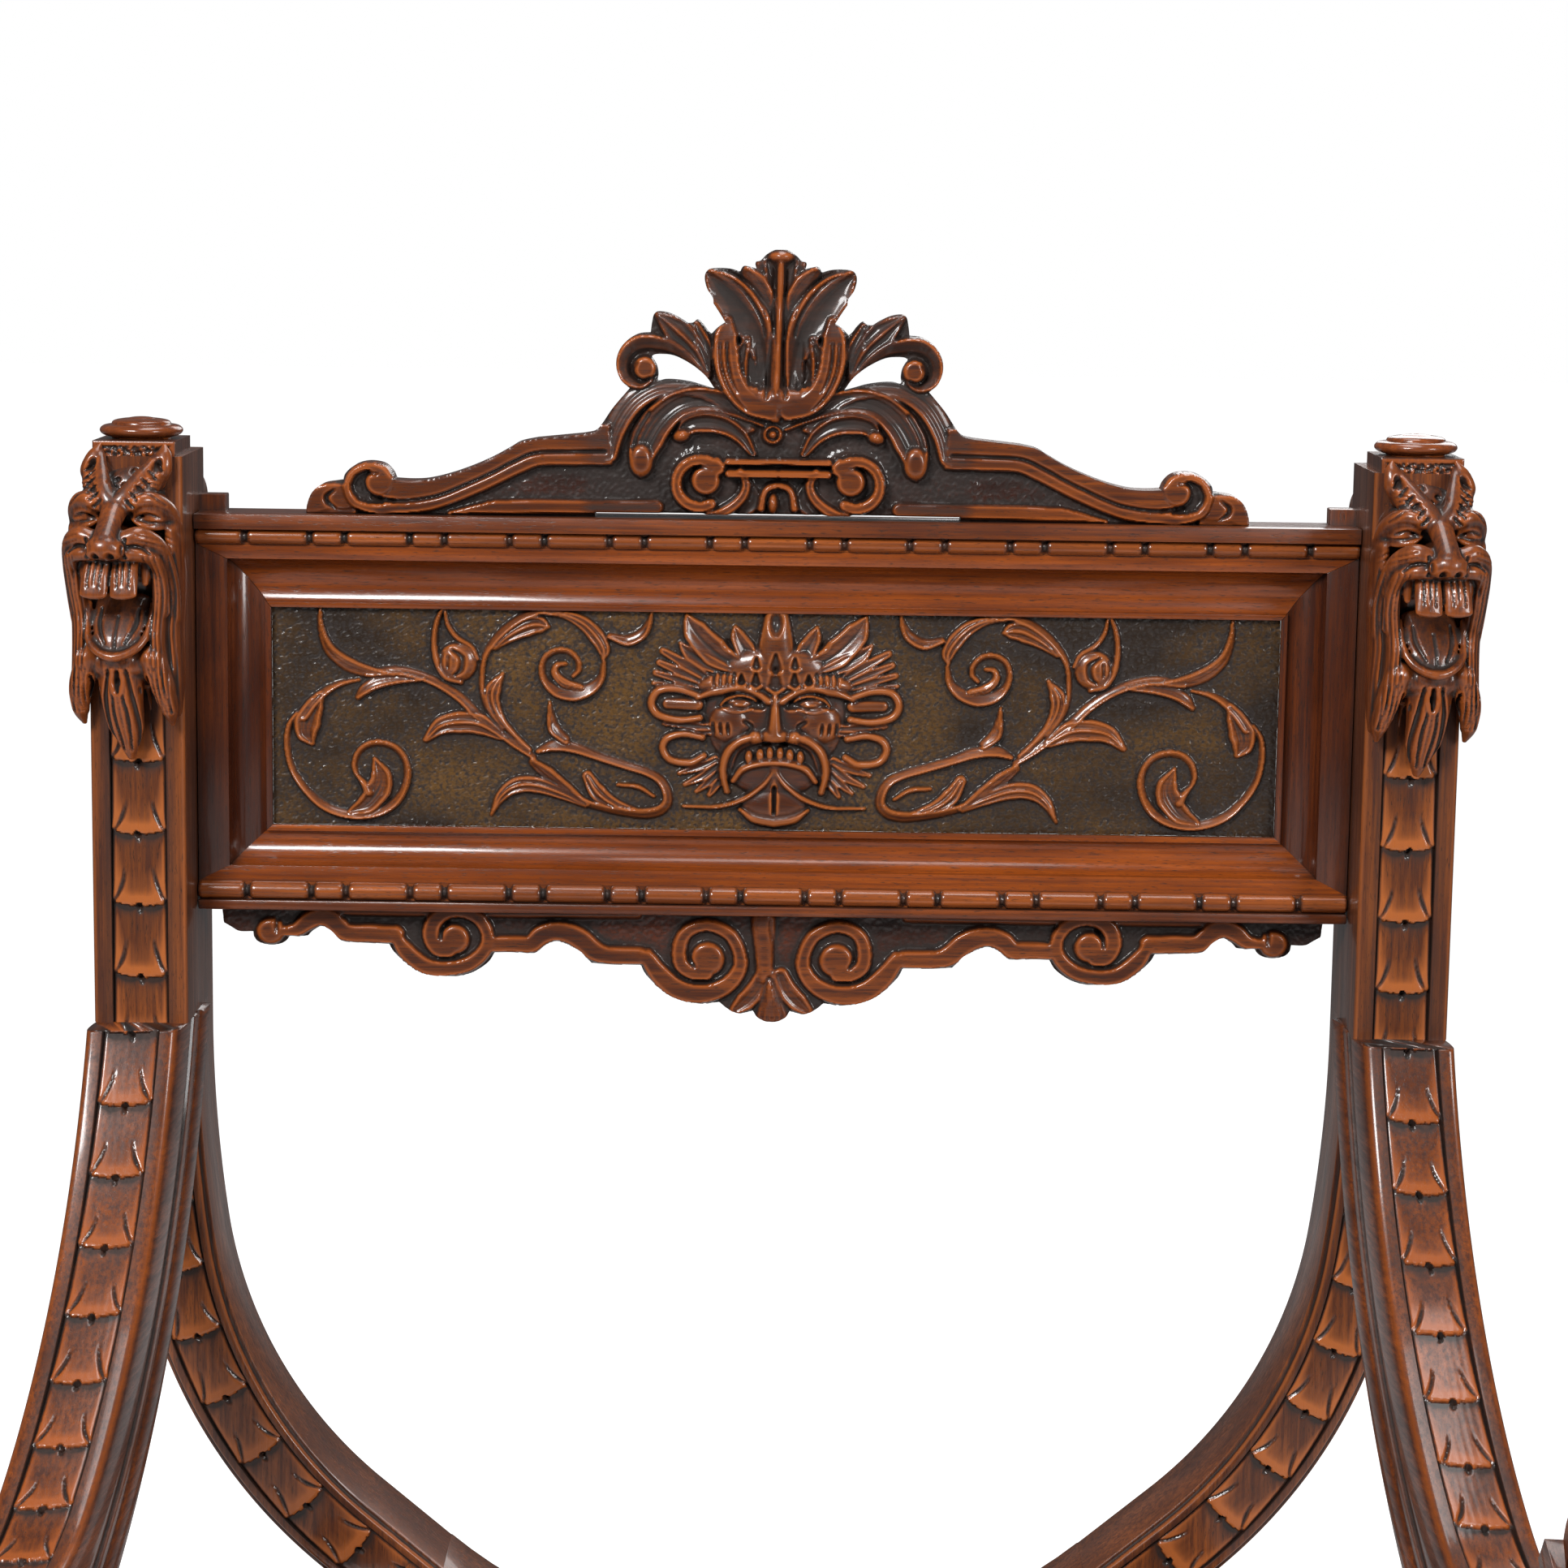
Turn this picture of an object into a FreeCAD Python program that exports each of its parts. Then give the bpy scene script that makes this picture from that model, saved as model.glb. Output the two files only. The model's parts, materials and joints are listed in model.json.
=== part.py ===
import FreeCAD, Part
import math
import os

# Carved walnut X-frame armchair. Lengths are millimetres and angles are degrees.
# The front faces -Y, +X is the viewer's right, +Z is up, and the origin lies on the
# floor under the middle of the chair. Left and right are the viewer's.

# Overall sizes and fits
half_depth = 270.0
cut_overrun = 3.0
joint_clearance = 0.1
slide_clearance = 0.5
tongue_clearance = 1.2

# S-shaped bars of the two X-frames
bar_width = 37.0
rear_bar_depth = 50.0
front_bar_depth = 45.0
rear_bar_front_y = 180.0
front_bar_reach = 240.0
post_centre_x = 268.5
post_top_z = 945.0
post_bend_z = 740.0
post_upper_radius = 1048.5
post_upper_turn = 7.0
post_middle_radius = 378.5
post_middle_turn = 18.0
post_lower_radius = 248.5
post_scaled_turn = 22.0
post_plain_turn = 15.0
lower_straight = 124.5
lower_turn = 54.0
front_straight = 268.0
front_upper_radius = 152.0
front_upper_turn = 42.0
front_top_run = 14.0
bar_ledge = 3.0
bar_border = 3.2
channel_depth = 2.4

# Scale carving in the channels
scale_pitch = 32.0
scale_margin = 0.8
scale_thin = 0.5
scale_thick = 1.9

# Foot rails
foot_rail_height = 62.0
foot_rail_width = 54.0
foot_arch_rise = 16.0
foot_pad_length = 74.0
foot_end_radius = 30.0
foot_scroll_radius = 15.0
foot_scroll_proud = 2.5
foot_tenon_width = 20.0
foot_tenon_margin = 9.0
foot_tenon_depth = 26.0

# Stretcher and rosettes at the crossing
stretcher_radius = 21.0
stretcher_neck_radius = 12.5
stretcher_ring_radius = 17.0
stretcher_tenon_radius = 9.0
rosette_radius = 41.0
rosette_rim = 5.0
rosette_depth = 20.0
rosette_dish = 4.0
rosette_boss_radius = 12.0
rosette_petal_radius = 7.0
rosette_petal_ring = 24.0
rosette_petals = 8
rosette_bore_depth = 8.0

# Seat
seat_top_z = 425.0
seat_board_thickness = 20.0
seat_half_width = 225.0
seat_boards = 4
seat_board_gap = 0.6
seat_front_gap = 2.0
seat_edge_radius = 4.0
seat_rail_centre_x = 148.0
seat_rail_width = 26.0
seat_rail_height = 27.0
seat_rail_tenon = 14.0
seat_rail_shoulder = 6.0
cross_rail_thickness = 22.0
cross_rail_height = 32.0
cross_rail_inset = 12.0
cross_rail_arch = 12.0
cross_rail_tongue = 6.0
seat_peg_radius = 4.0
seat_peg_head_radius = 6.0
seat_peg_head = 2.0
seat_peg_length = 34.0

# Arms
arm_centre_x = 278.0
arm_width = 41.5
arm_front_y = 118.0
arm_seam_z = 702.0
arm_thickness = 56.0
arm_lead = 25.0
arm_start_angle = 20.0
arm_sweep_radius = 305.0
arm_sweep_turn = 42.0
arm_dip_radius = 125.0
arm_dip_turn = 88.0
arm_toe_angle = 5.5
arm_scroll_radius = 42.0
arm_scroll_seat = 34.0
arm_scroll_boss = 14.0
arm_scroll_ring = 28.0
arm_scroll_groove = 4.0
arm_boss_proud = 3.0
arm_border = 8.5
arm_groove_drop = 36.0
arm_groove_width = 4.0
arm_groove_depth = 2.2
arm_dowel_radius = 6.0
arm_dowel_length = 36.0

# Upper arm pieces with the beast heads
head_top_z = 935.0
head_block_width = 36.0
head_block_depth = 42.0
head_block_top_z = 958.5
head_brow_z = 952.0
head_nose_z = 912.0
head_mouth_z = 900.0
head_jaw_z = 876.0
head_chin_z = 864.0
head_beard_z = 828.0
head_half_width = 27.0
head_snout_half = 13.0
head_nose_half = 11.0
head_reach = 38.0
head_jaw_reach = 26.0
head_brow_reach = 15.0
head_beard_reach = 16.0
head_beard_tip_reach = 7.0
head_ear_rise = 12.0
head_ear_radius = 7.5
head_ear_spread = 15.0
head_cheek_radius = 9.0
head_whisker_radius = 6.0
head_tooth_radius = 2.2
head_tooth_root_share = 1.5
head_eye_radius = 4.5
post_dowel_radius = 5.0
post_dowel_length = 60.0
post_dowel_rise = 55.0
post_dowel_spacing = 130.0

# Finials
finial_ring_radius = 18.0
finial_ring_height = 5.0
finial_neck_radius = 13.0
finial_neck_height = 1.2
finial_button_radius = 12.5
finial_button_height = 3.2
finial_spigot_radius = 5.0
finial_spigot_length = 14.0

# Back panel, from its foot upwards
back_foot_z = 748.0
base_fillet_height = 4.5
bottom_bead_height = 8.0
bottom_flat = 7.0
bottom_cove = 17.5
field_height = 98.0
top_cove = 22.0
top_flat = 6.5
top_bead_height = 7.0
fascia_height = 6.5
side_cove = 18.5
side_flat = 13.75
back_front_y = 150.0
back_rear_y = 178.0
cove_step = 1.5
cove_depth = 8.5
cove_rise = 2.2
cove_deep_share = 0.36
inner_fillet = 2.6
field_sink = 10.0
board_thickness = 9.0
board_lap = 6.0
fascia_overhang = 5.0
base_overhang = 4.0
bead_neck_ratio_share = 0.55
bead_neck = 2.4
bead_chamfer = 1.4
bead_long = 26.5
bead_short = 13.0
tongue_width = 25.0
tongue_reach = 14.0
tongue_thickness = 11.5
tongue_rise = 7.0
tongue_foot = 2.0

# Relief on the field
relief_height = 4.5
scroll_band = 6.0
mask_half_width = 46.0
mask_half_height = 46.0
mask_height = 9.0
mask_core_share = 0.62
mask_petals = 16
mask_petal_width = 12.0
mask_nose_width = 9.0
mask_nose_height = 20.0
mask_nose_proud = 1.0
mask_brow_length = 24.0
mask_brow_width = 6.0

# Crest
crest_half_width = 209.0
crest_height = 118.0
crest_front_y = 152.0
crest_rear_y = 171.0
crest_plate = 11.0
crest_slit = 2.0
crest_slit_half_width = 81.0
crest_void_radius = 7.0
crest_void_half_run = 8.0
crest_band = 6.0
crest_relief = 4.0
crest_disc_radius = 10.0
crest_volute_radius = 16.0
crest_volute_eye = 7.0
crest_volute_proud = 7.5
crest_bar_half = 19.0
crest_bar_height = 8.5
crest_knob_radius = 5.0
crest_leaf_proud = 8.0
crest_dowel_radius = 3.0
crest_dowel_length = 14.5
crest_dowel_x = 150.0
leaf_widest_share = 0.55
leaf_ridge_share = 0.3

# Apron
apron_end_setback = 8.75
apron_drop = 50.0
apron_front_y = 156.0
apron_rear_y = 174.0
apron_fillet = 4.0
apron_ground = 3.0
apron_band = 7.0
apron_outer_scroll_radius = 14.4
apron_inner_scroll_radius = 16.5
apron_scroll_eye_share = 0.42
apron_scroll_groove = 4.0
apron_pendant_width = 9.0

# Half outline of the crest from its tip outwards: shares of half width and height.
# Four numbers are an arc through the first pair to the second.
crest_edge_shares = [
    (0.0, 1.0),
    (0.034, 0.99, 0.057, 0.949),
    (0.075, 0.955, 0.09, 0.937),
    (0.13, 0.935, 0.159, 0.894),
    (0.155, 0.84, 0.141, 0.792),
    (0.127, 0.765, 0.122, 0.731),
    (0.138, 0.705, 0.152, 0.686),
    (0.163, 0.727, 0.186, 0.743),
    (0.23, 0.778, 0.269, 0.764),
    (0.272, 0.69),
    (0.352, 0.58, 0.314, 0.483),
    (0.36, 0.4, 0.383, 0.305),
    (0.521, 0.284),
    (0.6, 0.215, 0.66, 0.14),
    (0.74, 0.108, 0.819, 0.118),
    (0.866, 0.21, 0.913, 0.121),
    (0.97, 0.095, 1.0, 0.0),
]

# Raised leaves of the crest: foot, tip (shares) and widest half width (share of height).
crest_leaf_shares = [
    (0.0, 0.42, 0.0, 0.97, 0.085),
    (0.03, 0.42, 0.15, 0.87, 0.07),
    (0.06, 0.40, 0.145, 0.70, 0.06),
    (0.13, 0.52, 0.26, 0.745, 0.05),
    (0.10, 0.43, 0.22, 0.30, 0.055),
    (0.16, 0.46, 0.335, 0.24, 0.055),
]

# Half outline of the apron from its end to its middle: shares of half width and drop.
apron_edge_shares = [
    (1.0, 0.0),
    (1.0, 0.16),
    (0.974, 0.236),
    (0.955, 0.25),
    (0.915, 0.378, 0.88, 0.25),
    (0.845, 0.264),
    (0.817, 0.176, 0.784, 0.312),
    (0.702, 0.342),
    (0.697, 0.394),
    (0.655, 0.535, 0.575, 0.61),
    (0.534, 0.55, 0.511, 0.396),
    (0.453, 0.4),
    (0.391, 0.296, 0.346, 0.372),
    (0.331, 0.488),
    (0.244, 0.496),
    (0.23, 0.596),
    (0.185, 0.755, 0.105, 0.84),
    (0.081, 0.906),
    (0.06, 0.93, 0.04, 0.924),
    (0.02, 0.98, 0.0, 1.0),
]

# Places on the crest and the apron: shares of half width, then of height or drop.
crest_void_spot_share = (0.197, 0.54)
crest_disc_spot_share = (0.864, 0.118)
crest_volute_spot_share = (0.143, 0.148)
crest_bar_foot_share = 0.17
crest_knob_share = 0.32
crest_wing_shares = [(0.383, 0.305), (0.521, 0.284), (0.6, 0.215, 0.66, 0.14), (0.74, 0.108, 0.819, 0.118)]
apron_outer_scroll_share = (0.575, 0.25)
apron_inner_scroll_share = (0.115, 0.418)

# Stretcher profile from one shoulder to the middle: shares of its half length, and
# which radius it has there.
stretcher_shares = [
    (0.0, 1), (0.08, 1), (0.1, 0), (0.2, 0), (0.24, 1), (0.3, 1), (0.34, 0), (0.62, 2), (1.0, 2),
]

# Scroll work of the field, left half: shares of the field's half width and height,
# both from its middle. Each list is one smooth stem.
scroll_stem_shares = [
    [(-0.83, 0.12), (-0.93, 0.0), (-0.955, -0.14), (-0.93, -0.3), (-0.85, -0.43), (-0.77, -0.42),
     (-0.725, -0.28), (-0.745, -0.16), (-0.815, -0.17), (-0.82, -0.27)],
    [(-0.89, 0.46), (-0.87, 0.24), (-0.78, 0.16), (-0.67, 0.16), (-0.57, 0.05), (-0.47, -0.1),
     (-0.32, -0.22), (-0.225, -0.32), (-0.31, -0.39), (-0.42, -0.28)],
    [(-0.56, 0.12), (-0.55, 0.3), (-0.45, 0.42), (-0.35, 0.34), (-0.34, 0.2), (-0.41, 0.13), (-0.44, 0.22)],
]

# Values worked out from the sizes above
diagonal_share = math.sqrt(1 / 2)
front_bar_front_y = -front_bar_reach
arm_inner_x = arm_centre_x - arm_width / 2
back_half_width = arm_inner_x - slide_clearance
bottom_bead_z = back_foot_z + base_fillet_height
bottom_rail_z = bottom_bead_z + bottom_bead_height
field_foot_z = bottom_rail_z + bottom_flat + bottom_cove
field_top_z = field_foot_z + field_height
top_bead_z = field_top_z + top_cove + top_flat
fascia_z = top_bead_z + top_bead_height
crest_foot_z = fascia_z + fascia_height
field_half_width = back_half_width - side_flat - side_cove
apron_half_width = back_half_width - apron_end_setback
crossing_angle = post_upper_turn + post_middle_turn + post_scaled_turn + post_plain_turn
arm_rear_y = rear_bar_front_y
seat_foot_z = seat_top_z - seat_board_thickness
head_centre_x = arm_centre_x
bar_channel_half = bar_width / 2 - bar_ledge - bar_border
arm_channel_half = arm_width / 2 - arm_border
tongue_front_y = back_rear_y - tongue_thickness
tongue_outer_x = back_half_width + tongue_reach


def unit(heading):
    """Direction of a heading, in degrees from the first axis towards the second."""
    return math.cos(math.radians(heading)), math.sin(math.radians(heading))


def shifted(station, offset):
    """The point at an offset to the left of a station."""
    point, heading = station
    side = unit(heading + 90)
    return point[0] + side[0] * offset, point[1] + side[1] * offset


def walk_line(station, length):
    """A straight piece of a path: whether bent, then its start, middle and end stations."""
    point, heading = station
    along = unit(heading)
    middle = (point[0] + along[0] * length / 2, point[1] + along[1] * length / 2)
    end = (point[0] + along[0] * length, point[1] + along[1] * length)
    return False, station, (middle, heading), (end, heading)


def walk_arc(station, radius, turn):
    """A bent piece of a path; a positive turn goes to the left."""
    sign = math.copysign(1, turn)
    centre = shifted(station, sign * radius)
    heading = station[1]
    middle = shifted((centre, heading + turn / 2), -sign * radius)
    end = shifted((centre, heading + turn), -sign * radius)
    return True, station, (middle, heading + turn / 2), (end, heading + turn)


def walk(station, steps):
    """A path of tangent lines (length) and arcs (radius, turn)."""
    path = []
    for step in steps:
        piece = walk_line(station, step[0]) if len(step) == 1 else walk_arc(station, step[0], step[1])
        path.append(piece)
        station = piece[3]
    return path


def turned_round(path):
    """The same path walked the other way."""
    back = []
    for bent, start, middle, end in reversed(path):
        stations = [(point, heading + 180) for point, heading in (end, middle, start)]
        back.append((bent, *stations))
    return back


def side_edges(path, offset):
    """Edges that run beside a path."""
    edges = []
    for bent, start, middle, end in path:
        stations = (start, middle, end) if bent else (start, end)
        edges.append(tuple(shifted(station, offset) for station in stations))
    return edges


def band(path, left, right):
    """Closed outline between two offsets of a path."""
    far = side_edges(path, right)
    edges = side_edges(path, left)
    edges.append((edges[-1][-1], far[-1][-1]))
    edges += [tuple(reversed(edge)) for edge in reversed(far)]
    edges.append((far[0][0], edges[0][0]))
    return edges


def path_length(piece):
    """Length of one piece of a path."""
    bent, start, middle, end = piece
    chord = math.dist(start[0], end[0])
    turn = math.radians(abs(end[1] - start[1]))
    return chord / math.sin(turn / 2) * turn / 2 if bent else chord


def station_at(path, distance):
    """The station at a distance along a path."""
    for piece in path:
        length = path_length(piece)
        if distance <= length or piece is path[-1]:
            return point_in_piece(piece, length, distance)
        distance -= length


def point_in_piece(piece, length, distance):
    """The station at a distance along one piece of a path."""
    bent, start, middle, end = piece
    if not bent:
        return walk_line(start, distance)[3]
    turn = end[1] - start[1]
    return walk_arc(start, length / math.radians(abs(turn)), turn * distance / length)[3]


def front_place(y):
    """Puts outline points in a plane that faces the front."""
    return lambda point: FreeCAD.Vector(point[0], y, point[1])


def side_place(x):
    """Puts outline points (y, z) in a plane that faces sideways."""
    return lambda point: FreeCAD.Vector(x, point[0], point[1])


def arm_place(across):
    """Puts arm points (reach forward, z) in the left arm's toed-out plane."""
    toe = math.radians(arm_toe_angle)
    x0 = -arm_centre_x + across * math.cos(toe)
    y0 = arm_front_y + across * math.sin(toe)
    reach = FreeCAD.Vector(-math.sin(toe), -math.cos(toe), 0)
    return lambda point: FreeCAD.Vector(x0, y0, point[1]) + reach * point[0]


def plate(edges, place, push):
    """Closed outline pushed out into a solid."""
    lines = []
    for edge in edges:
        points = [place(point) for point in edge]
        lines.append(Part.LineSegment(*points).toShape() if len(points) == 2 else Part.Arc(*points).toShape())
    return Part.Face(Part.Wire(lines)).extrude(push)


def front_plate(edges, front_y, rear_y):
    """Outline in x and z that reaches from one y to another."""
    return plate(edges, front_place(front_y), FreeCAD.Vector(0, rear_y - front_y, 0))


def closed(points):
    """Edges of a closed outline; a point of four numbers is an arc to its second pair."""
    edges = []
    last = points[0]
    for point in points[1:] + points[:1]:
        if len(point) == 4:
            edges.append((last, point[:2], point[2:]))
        elif math.dist(last, point) > 0:
            edges.append((last, point))
        last = point[-2:]
    return edges


def box(x0, x1, y0, y1, z0, z1):
    """Box between two corners."""
    return Part.makeBox(x1 - x0, y1 - y0, z1 - z0, FreeCAD.Vector(x0, y0, z0))


def rod(radius, start, end):
    """Cylinder from one point to another."""
    run = end - start
    return Part.makeCylinder(radius, run.Length, start, run)


def turned(profile, start, direction):
    """Solid turned from (distance, radius) points about an axis."""
    points = [FreeCAD.Vector(radius, 0, along) for along, radius in profile]
    points = [FreeCAD.Vector(0, 0, profile[0][0])] + points + [FreeCAD.Vector(0, 0, profile[-1][0])]
    face = Part.Face(Part.makePolygon(points + points[:1]))
    solid = face.revolve(FreeCAD.Vector(0, 0, 0), FreeCAD.Vector(0, 0, 1), 360)
    turn = FreeCAD.Rotation(FreeCAD.Vector(0, 0, 1), direction)
    solid.Placement = FreeCAD.Placement(start, turn)
    return solid


def hull_loft(sections):
    """Solid through flat sections with straight sides."""
    wires = [Part.makePolygon(section + section[:1]) for section in sections]
    return Part.makeLoft(wires, True, True)


def mirrored(shape):
    """The shape on the other side of the chair."""
    return shape.mirror(FreeCAD.Vector(0, 0, 0), FreeCAD.Vector(1, 0, 0))


def save(name, shape):
    """Writes one piece; a solid that came out as a list is unwrapped first."""
    if shape.ShapeType == "Compound" and len(shape.Solids) == 1:
        shape = shape.Solids[0]
    shape.exportStep("parts/" + name + ".step")
    print(name, len(shape.Solids), "solids", round(shape.Volume), "mm3")


# Paths of the bars. The left bar runs from its top at the left to its foot at the right.

def upper_rear_path():
    """Straight post, then the U-shaped sweep down to the crossing."""
    start = ((-post_centre_x, post_top_z - bar_width / 2), -90)
    steps = [
        (post_top_z - bar_width / 2 - post_bend_z,),
        (post_upper_radius, post_upper_turn),
        (post_middle_radius, post_middle_turn),
        (post_lower_radius, post_scaled_turn),
        (post_lower_radius, post_plain_turn),
    ]
    path = walk(start, steps)
    end = path[-1][3]
    path.append(walk_line(end, -end[0][0] / unit(end[1])[0]))
    return path


def crossing():
    """Where the two bars of an X cross."""
    return upper_rear_path()[-1][3]


def lower_path():
    """From the crossing to the top of the foot rail, with a run for the shoulder cut."""
    straight = walk_line(crossing(), lower_straight)
    drop = straight[3][0][1] - foot_rail_height
    end_angle = crossing_angle - lower_turn
    rise = math.sin(math.radians(crossing_angle)) - math.sin(math.radians(end_angle))
    bend = walk_arc(straight[3], drop / rise, -lower_turn)
    return [straight, bend, walk_line(bend[3], bar_border)]


def upper_front_path():
    """Front bar from its top under the arm scroll down to the crossing."""
    point, heading = crossing()
    upwards = walk((point, heading + 180), [(front_straight,), (front_upper_radius, -front_upper_turn),
                                            (front_top_run,)])
    return turned_round(upwards)


def foot_centre_x():
    """Middle of a foot rail."""
    return lower_path()[1][3][0][0]


def scale_tiles(path, half_width, place, push):
    """Overlapping scales along a path, each thicker at its lower edge."""
    tiles = []
    room = sum(path_length(piece) for piece in path)
    for index in range(int(room / scale_pitch)):
        upper = station_at(path, index * scale_pitch)
        lower = station_at(path, (index + 1) * scale_pitch - scale_margin)
        tiles.append(hull_loft([scale_end(upper, half_width, scale_thin, place, push),
                                scale_end(lower, half_width, scale_thick, place, push)]))
    return tiles


def scale_end(station, half_width, thickness, place, push):
    """One end of a scale, sunk into the channel's floor."""
    left = place(shifted(station, half_width))
    right = place(shifted(station, -half_width))
    under = push * scale_margin
    over = push * (-thickness)
    return [left + under, right + under, right + over, left + over]


def bar_blank(path, front_y, depth):
    """Moulded bar: full width behind, with a narrower face layer in front."""
    half = bar_width / 2
    face = half - bar_ledge
    back = front_plate(band(path, half, -half), front_y + bar_ledge, front_y + depth)
    front = front_plate(band(path, face, -face), front_y, front_y + bar_ledge)
    return back.fuse(front)


def bar_channel(path, front_y):
    """Sunk channel for the scales."""
    return front_plate(band(path, bar_channel_half, -bar_channel_half), front_y - cut_overrun,
                       front_y + channel_depth)


def carved(blank, path, front_y):
    """Cuts the channel and lays the scales in it."""
    floor = front_place(front_y + channel_depth)
    tiles = scale_tiles(path, bar_channel_half - scale_margin, floor, FreeCAD.Vector(0, 1, 0))
    return blank.cut(bar_channel(path, front_y)).multiFuse(tiles)


def foot_shoulder(shape, front_y, depth):
    """Cuts the bar level on the foot rail and adds its tenon."""
    x = foot_centre_x()
    wide = bar_width * 2
    below = box(x - wide, x + wide, front_y - cut_overrun, front_y + depth + cut_overrun,
                foot_rail_height - bar_width, foot_rail_height)
    tenon = foot_tenon(front_y, depth, 0.0)
    return shape.cut(below).fuse(tenon).removeSplitter()


def foot_tenon(front_y, depth, clearance):
    """Tenon of a bar in its foot rail, or its mortise with a clearance."""
    x = foot_centre_x()
    half = foot_tenon_width / 2 + clearance
    return box(x - half, x + half, front_y + foot_tenon_margin - clearance,
               front_y + depth - foot_tenon_margin + clearance,
               foot_rail_height - foot_tenon_depth - clearance, foot_rail_height + clearance)


def crossing_bore(front_y, depth):
    """Hole for the stretcher's tenon."""
    centre = crossing()[0]
    radius = stretcher_tenon_radius + joint_clearance
    return rod(radius, FreeCAD.Vector(centre[0], front_y - cut_overrun, centre[1]),
               FreeCAD.Vector(centre[0], front_y + depth + cut_overrun, centre[1]))


def lap(path, front_y, rear_y):
    """Room for the other bar in a half-lap."""
    half = bar_width / 2 + joint_clearance
    return mirrored(front_plate(band(path, half, -half), front_y, rear_y))


def lapped_pair(blank, path, front_y, depth):
    """The left bar and the right bar of an X, half-lapped where they cross."""
    middle = front_y + depth / 2
    reach = path[-5:-2]
    left = blank.cut(lap(reach, middle, front_y + depth + cut_overrun))
    right = mirrored(blank).cut(mirrored(lap(reach, front_y - cut_overrun, middle + joint_clearance)))
    bore = crossing_bore(front_y, depth)
    mortises = seat_rail_core(joint_clearance)
    cuts = bore.multiFuse([mortises, mirrored(mortises)])
    return left.cut(cuts), right.cut(cuts)


def rear_bars():
    """Both bars of the rear X, with rounded tops and scaled fronts."""
    upper = upper_rear_path()
    path = upper + lower_path()
    front_y = rear_bar_front_y
    top = path[0][1][0]
    rounds = []
    for radius, y0, y1 in ((bar_width / 2, front_y + bar_ledge, front_y + rear_bar_depth),
                           (bar_width / 2 - bar_ledge, front_y, front_y + bar_ledge)):
        rounds.append(rod(radius, FreeCAD.Vector(top[0], y0, top[1]), FreeCAD.Vector(top[0], y1, top[1])))
    blank = bar_blank(path, front_y, rear_bar_depth).multiFuse(rounds)
    blank = carved(blank, upper[:4], front_y)
    blank = foot_shoulder(blank, front_y, rear_bar_depth)
    blank = blank.cut(post_dowels(-1, joint_clearance))
    return lapped_pair(blank, path, front_y, rear_bar_depth)


def front_bars():
    """Both bars of the front X, whose tops carry the arm scrolls."""
    upper = upper_front_path()
    path = upper + lower_path()
    front_y = front_bar_front_y
    blank = carved(bar_blank(path, front_y, front_bar_depth), upper[1:3], front_y)
    blank = foot_shoulder(blank, front_y, front_bar_depth)
    top = scroll_centre()[1] - arm_scroll_seat
    reach = upper[0][1][0][0]
    above = box(reach - bar_width * 2, reach + bar_width * 2, front_y - cut_overrun,
                front_y + front_bar_depth + cut_overrun, top, top + bar_width * 2)
    blank = blank.cut(above).cut(arm_dowel_front(joint_clearance))
    return lapped_pair(blank, path, front_y, front_bar_depth)


# Foot rails, stretcher and rosettes

def foot_rail():
    """Left foot rail: two pads with an arch between, and scrolled ends."""
    x = -foot_centre_x()
    half_width = foot_rail_width / 2
    end = half_depth
    pad = end - foot_end_radius / 2
    shoulder = end - foot_end_radius
    heel = pad - foot_pad_length
    mid_z = foot_rail_height / 2
    bend = foot_end_radius * (1 - diagonal_share)
    side = [(pad, 0.0), (end, mid_z / 2, end, mid_z),
            (end - bend, foot_rail_height - bend, shoulder, foot_rail_height)]
    front = [(-shoulder, foot_rail_height), (bend - end, foot_rail_height - bend, -end, mid_z),
             (-end, mid_z / 2, -pad, 0.0), (-heel, 0.0), (0.0, foot_arch_rise, heel, 0.0)]
    body = plate(closed(side + front), side_place(x - half_width), FreeCAD.Vector(foot_rail_width, 0, 0))
    scrolls = []
    for y in (end - foot_end_radius, -end + foot_end_radius):
        scrolls.append(rod(foot_scroll_radius, FreeCAD.Vector(x - half_width - foot_scroll_proud, y, mid_z),
                           FreeCAD.Vector(x + half_width + foot_scroll_proud, y, mid_z)))
    body = body.multiFuse(scrolls)
    for front_y, depth in ((rear_bar_front_y, rear_bar_depth), (front_bar_front_y, front_bar_depth)):
        body = body.cut(mirrored(foot_tenon(front_y, depth, joint_clearance)))
    return body


def stretcher():
    """Turned stretcher between the two crossings, with a tenon at each end."""
    z = crossing()[0][1]
    start_y = front_bar_front_y + front_bar_depth
    end_y = rear_bar_front_y
    half = (end_y - start_y) / 2
    radii = (stretcher_neck_radius, stretcher_ring_radius, stretcher_radius)
    profile = [(half * share, radii[kind]) for share, kind in stretcher_shares]
    profile += [(2 * half - along, radius) for along, radius in reversed(profile[:-1])]
    body = turned(profile, FreeCAD.Vector(0, start_y, z), FreeCAD.Vector(0, 1, 0))
    tenon = rod(stretcher_tenon_radius, FreeCAD.Vector(0, front_bar_front_y - rosette_bore_depth, z),
                FreeCAD.Vector(0, rear_bar_front_y + rear_bar_depth + rosette_bore_depth, z))
    return body.fuse(tenon)


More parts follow.
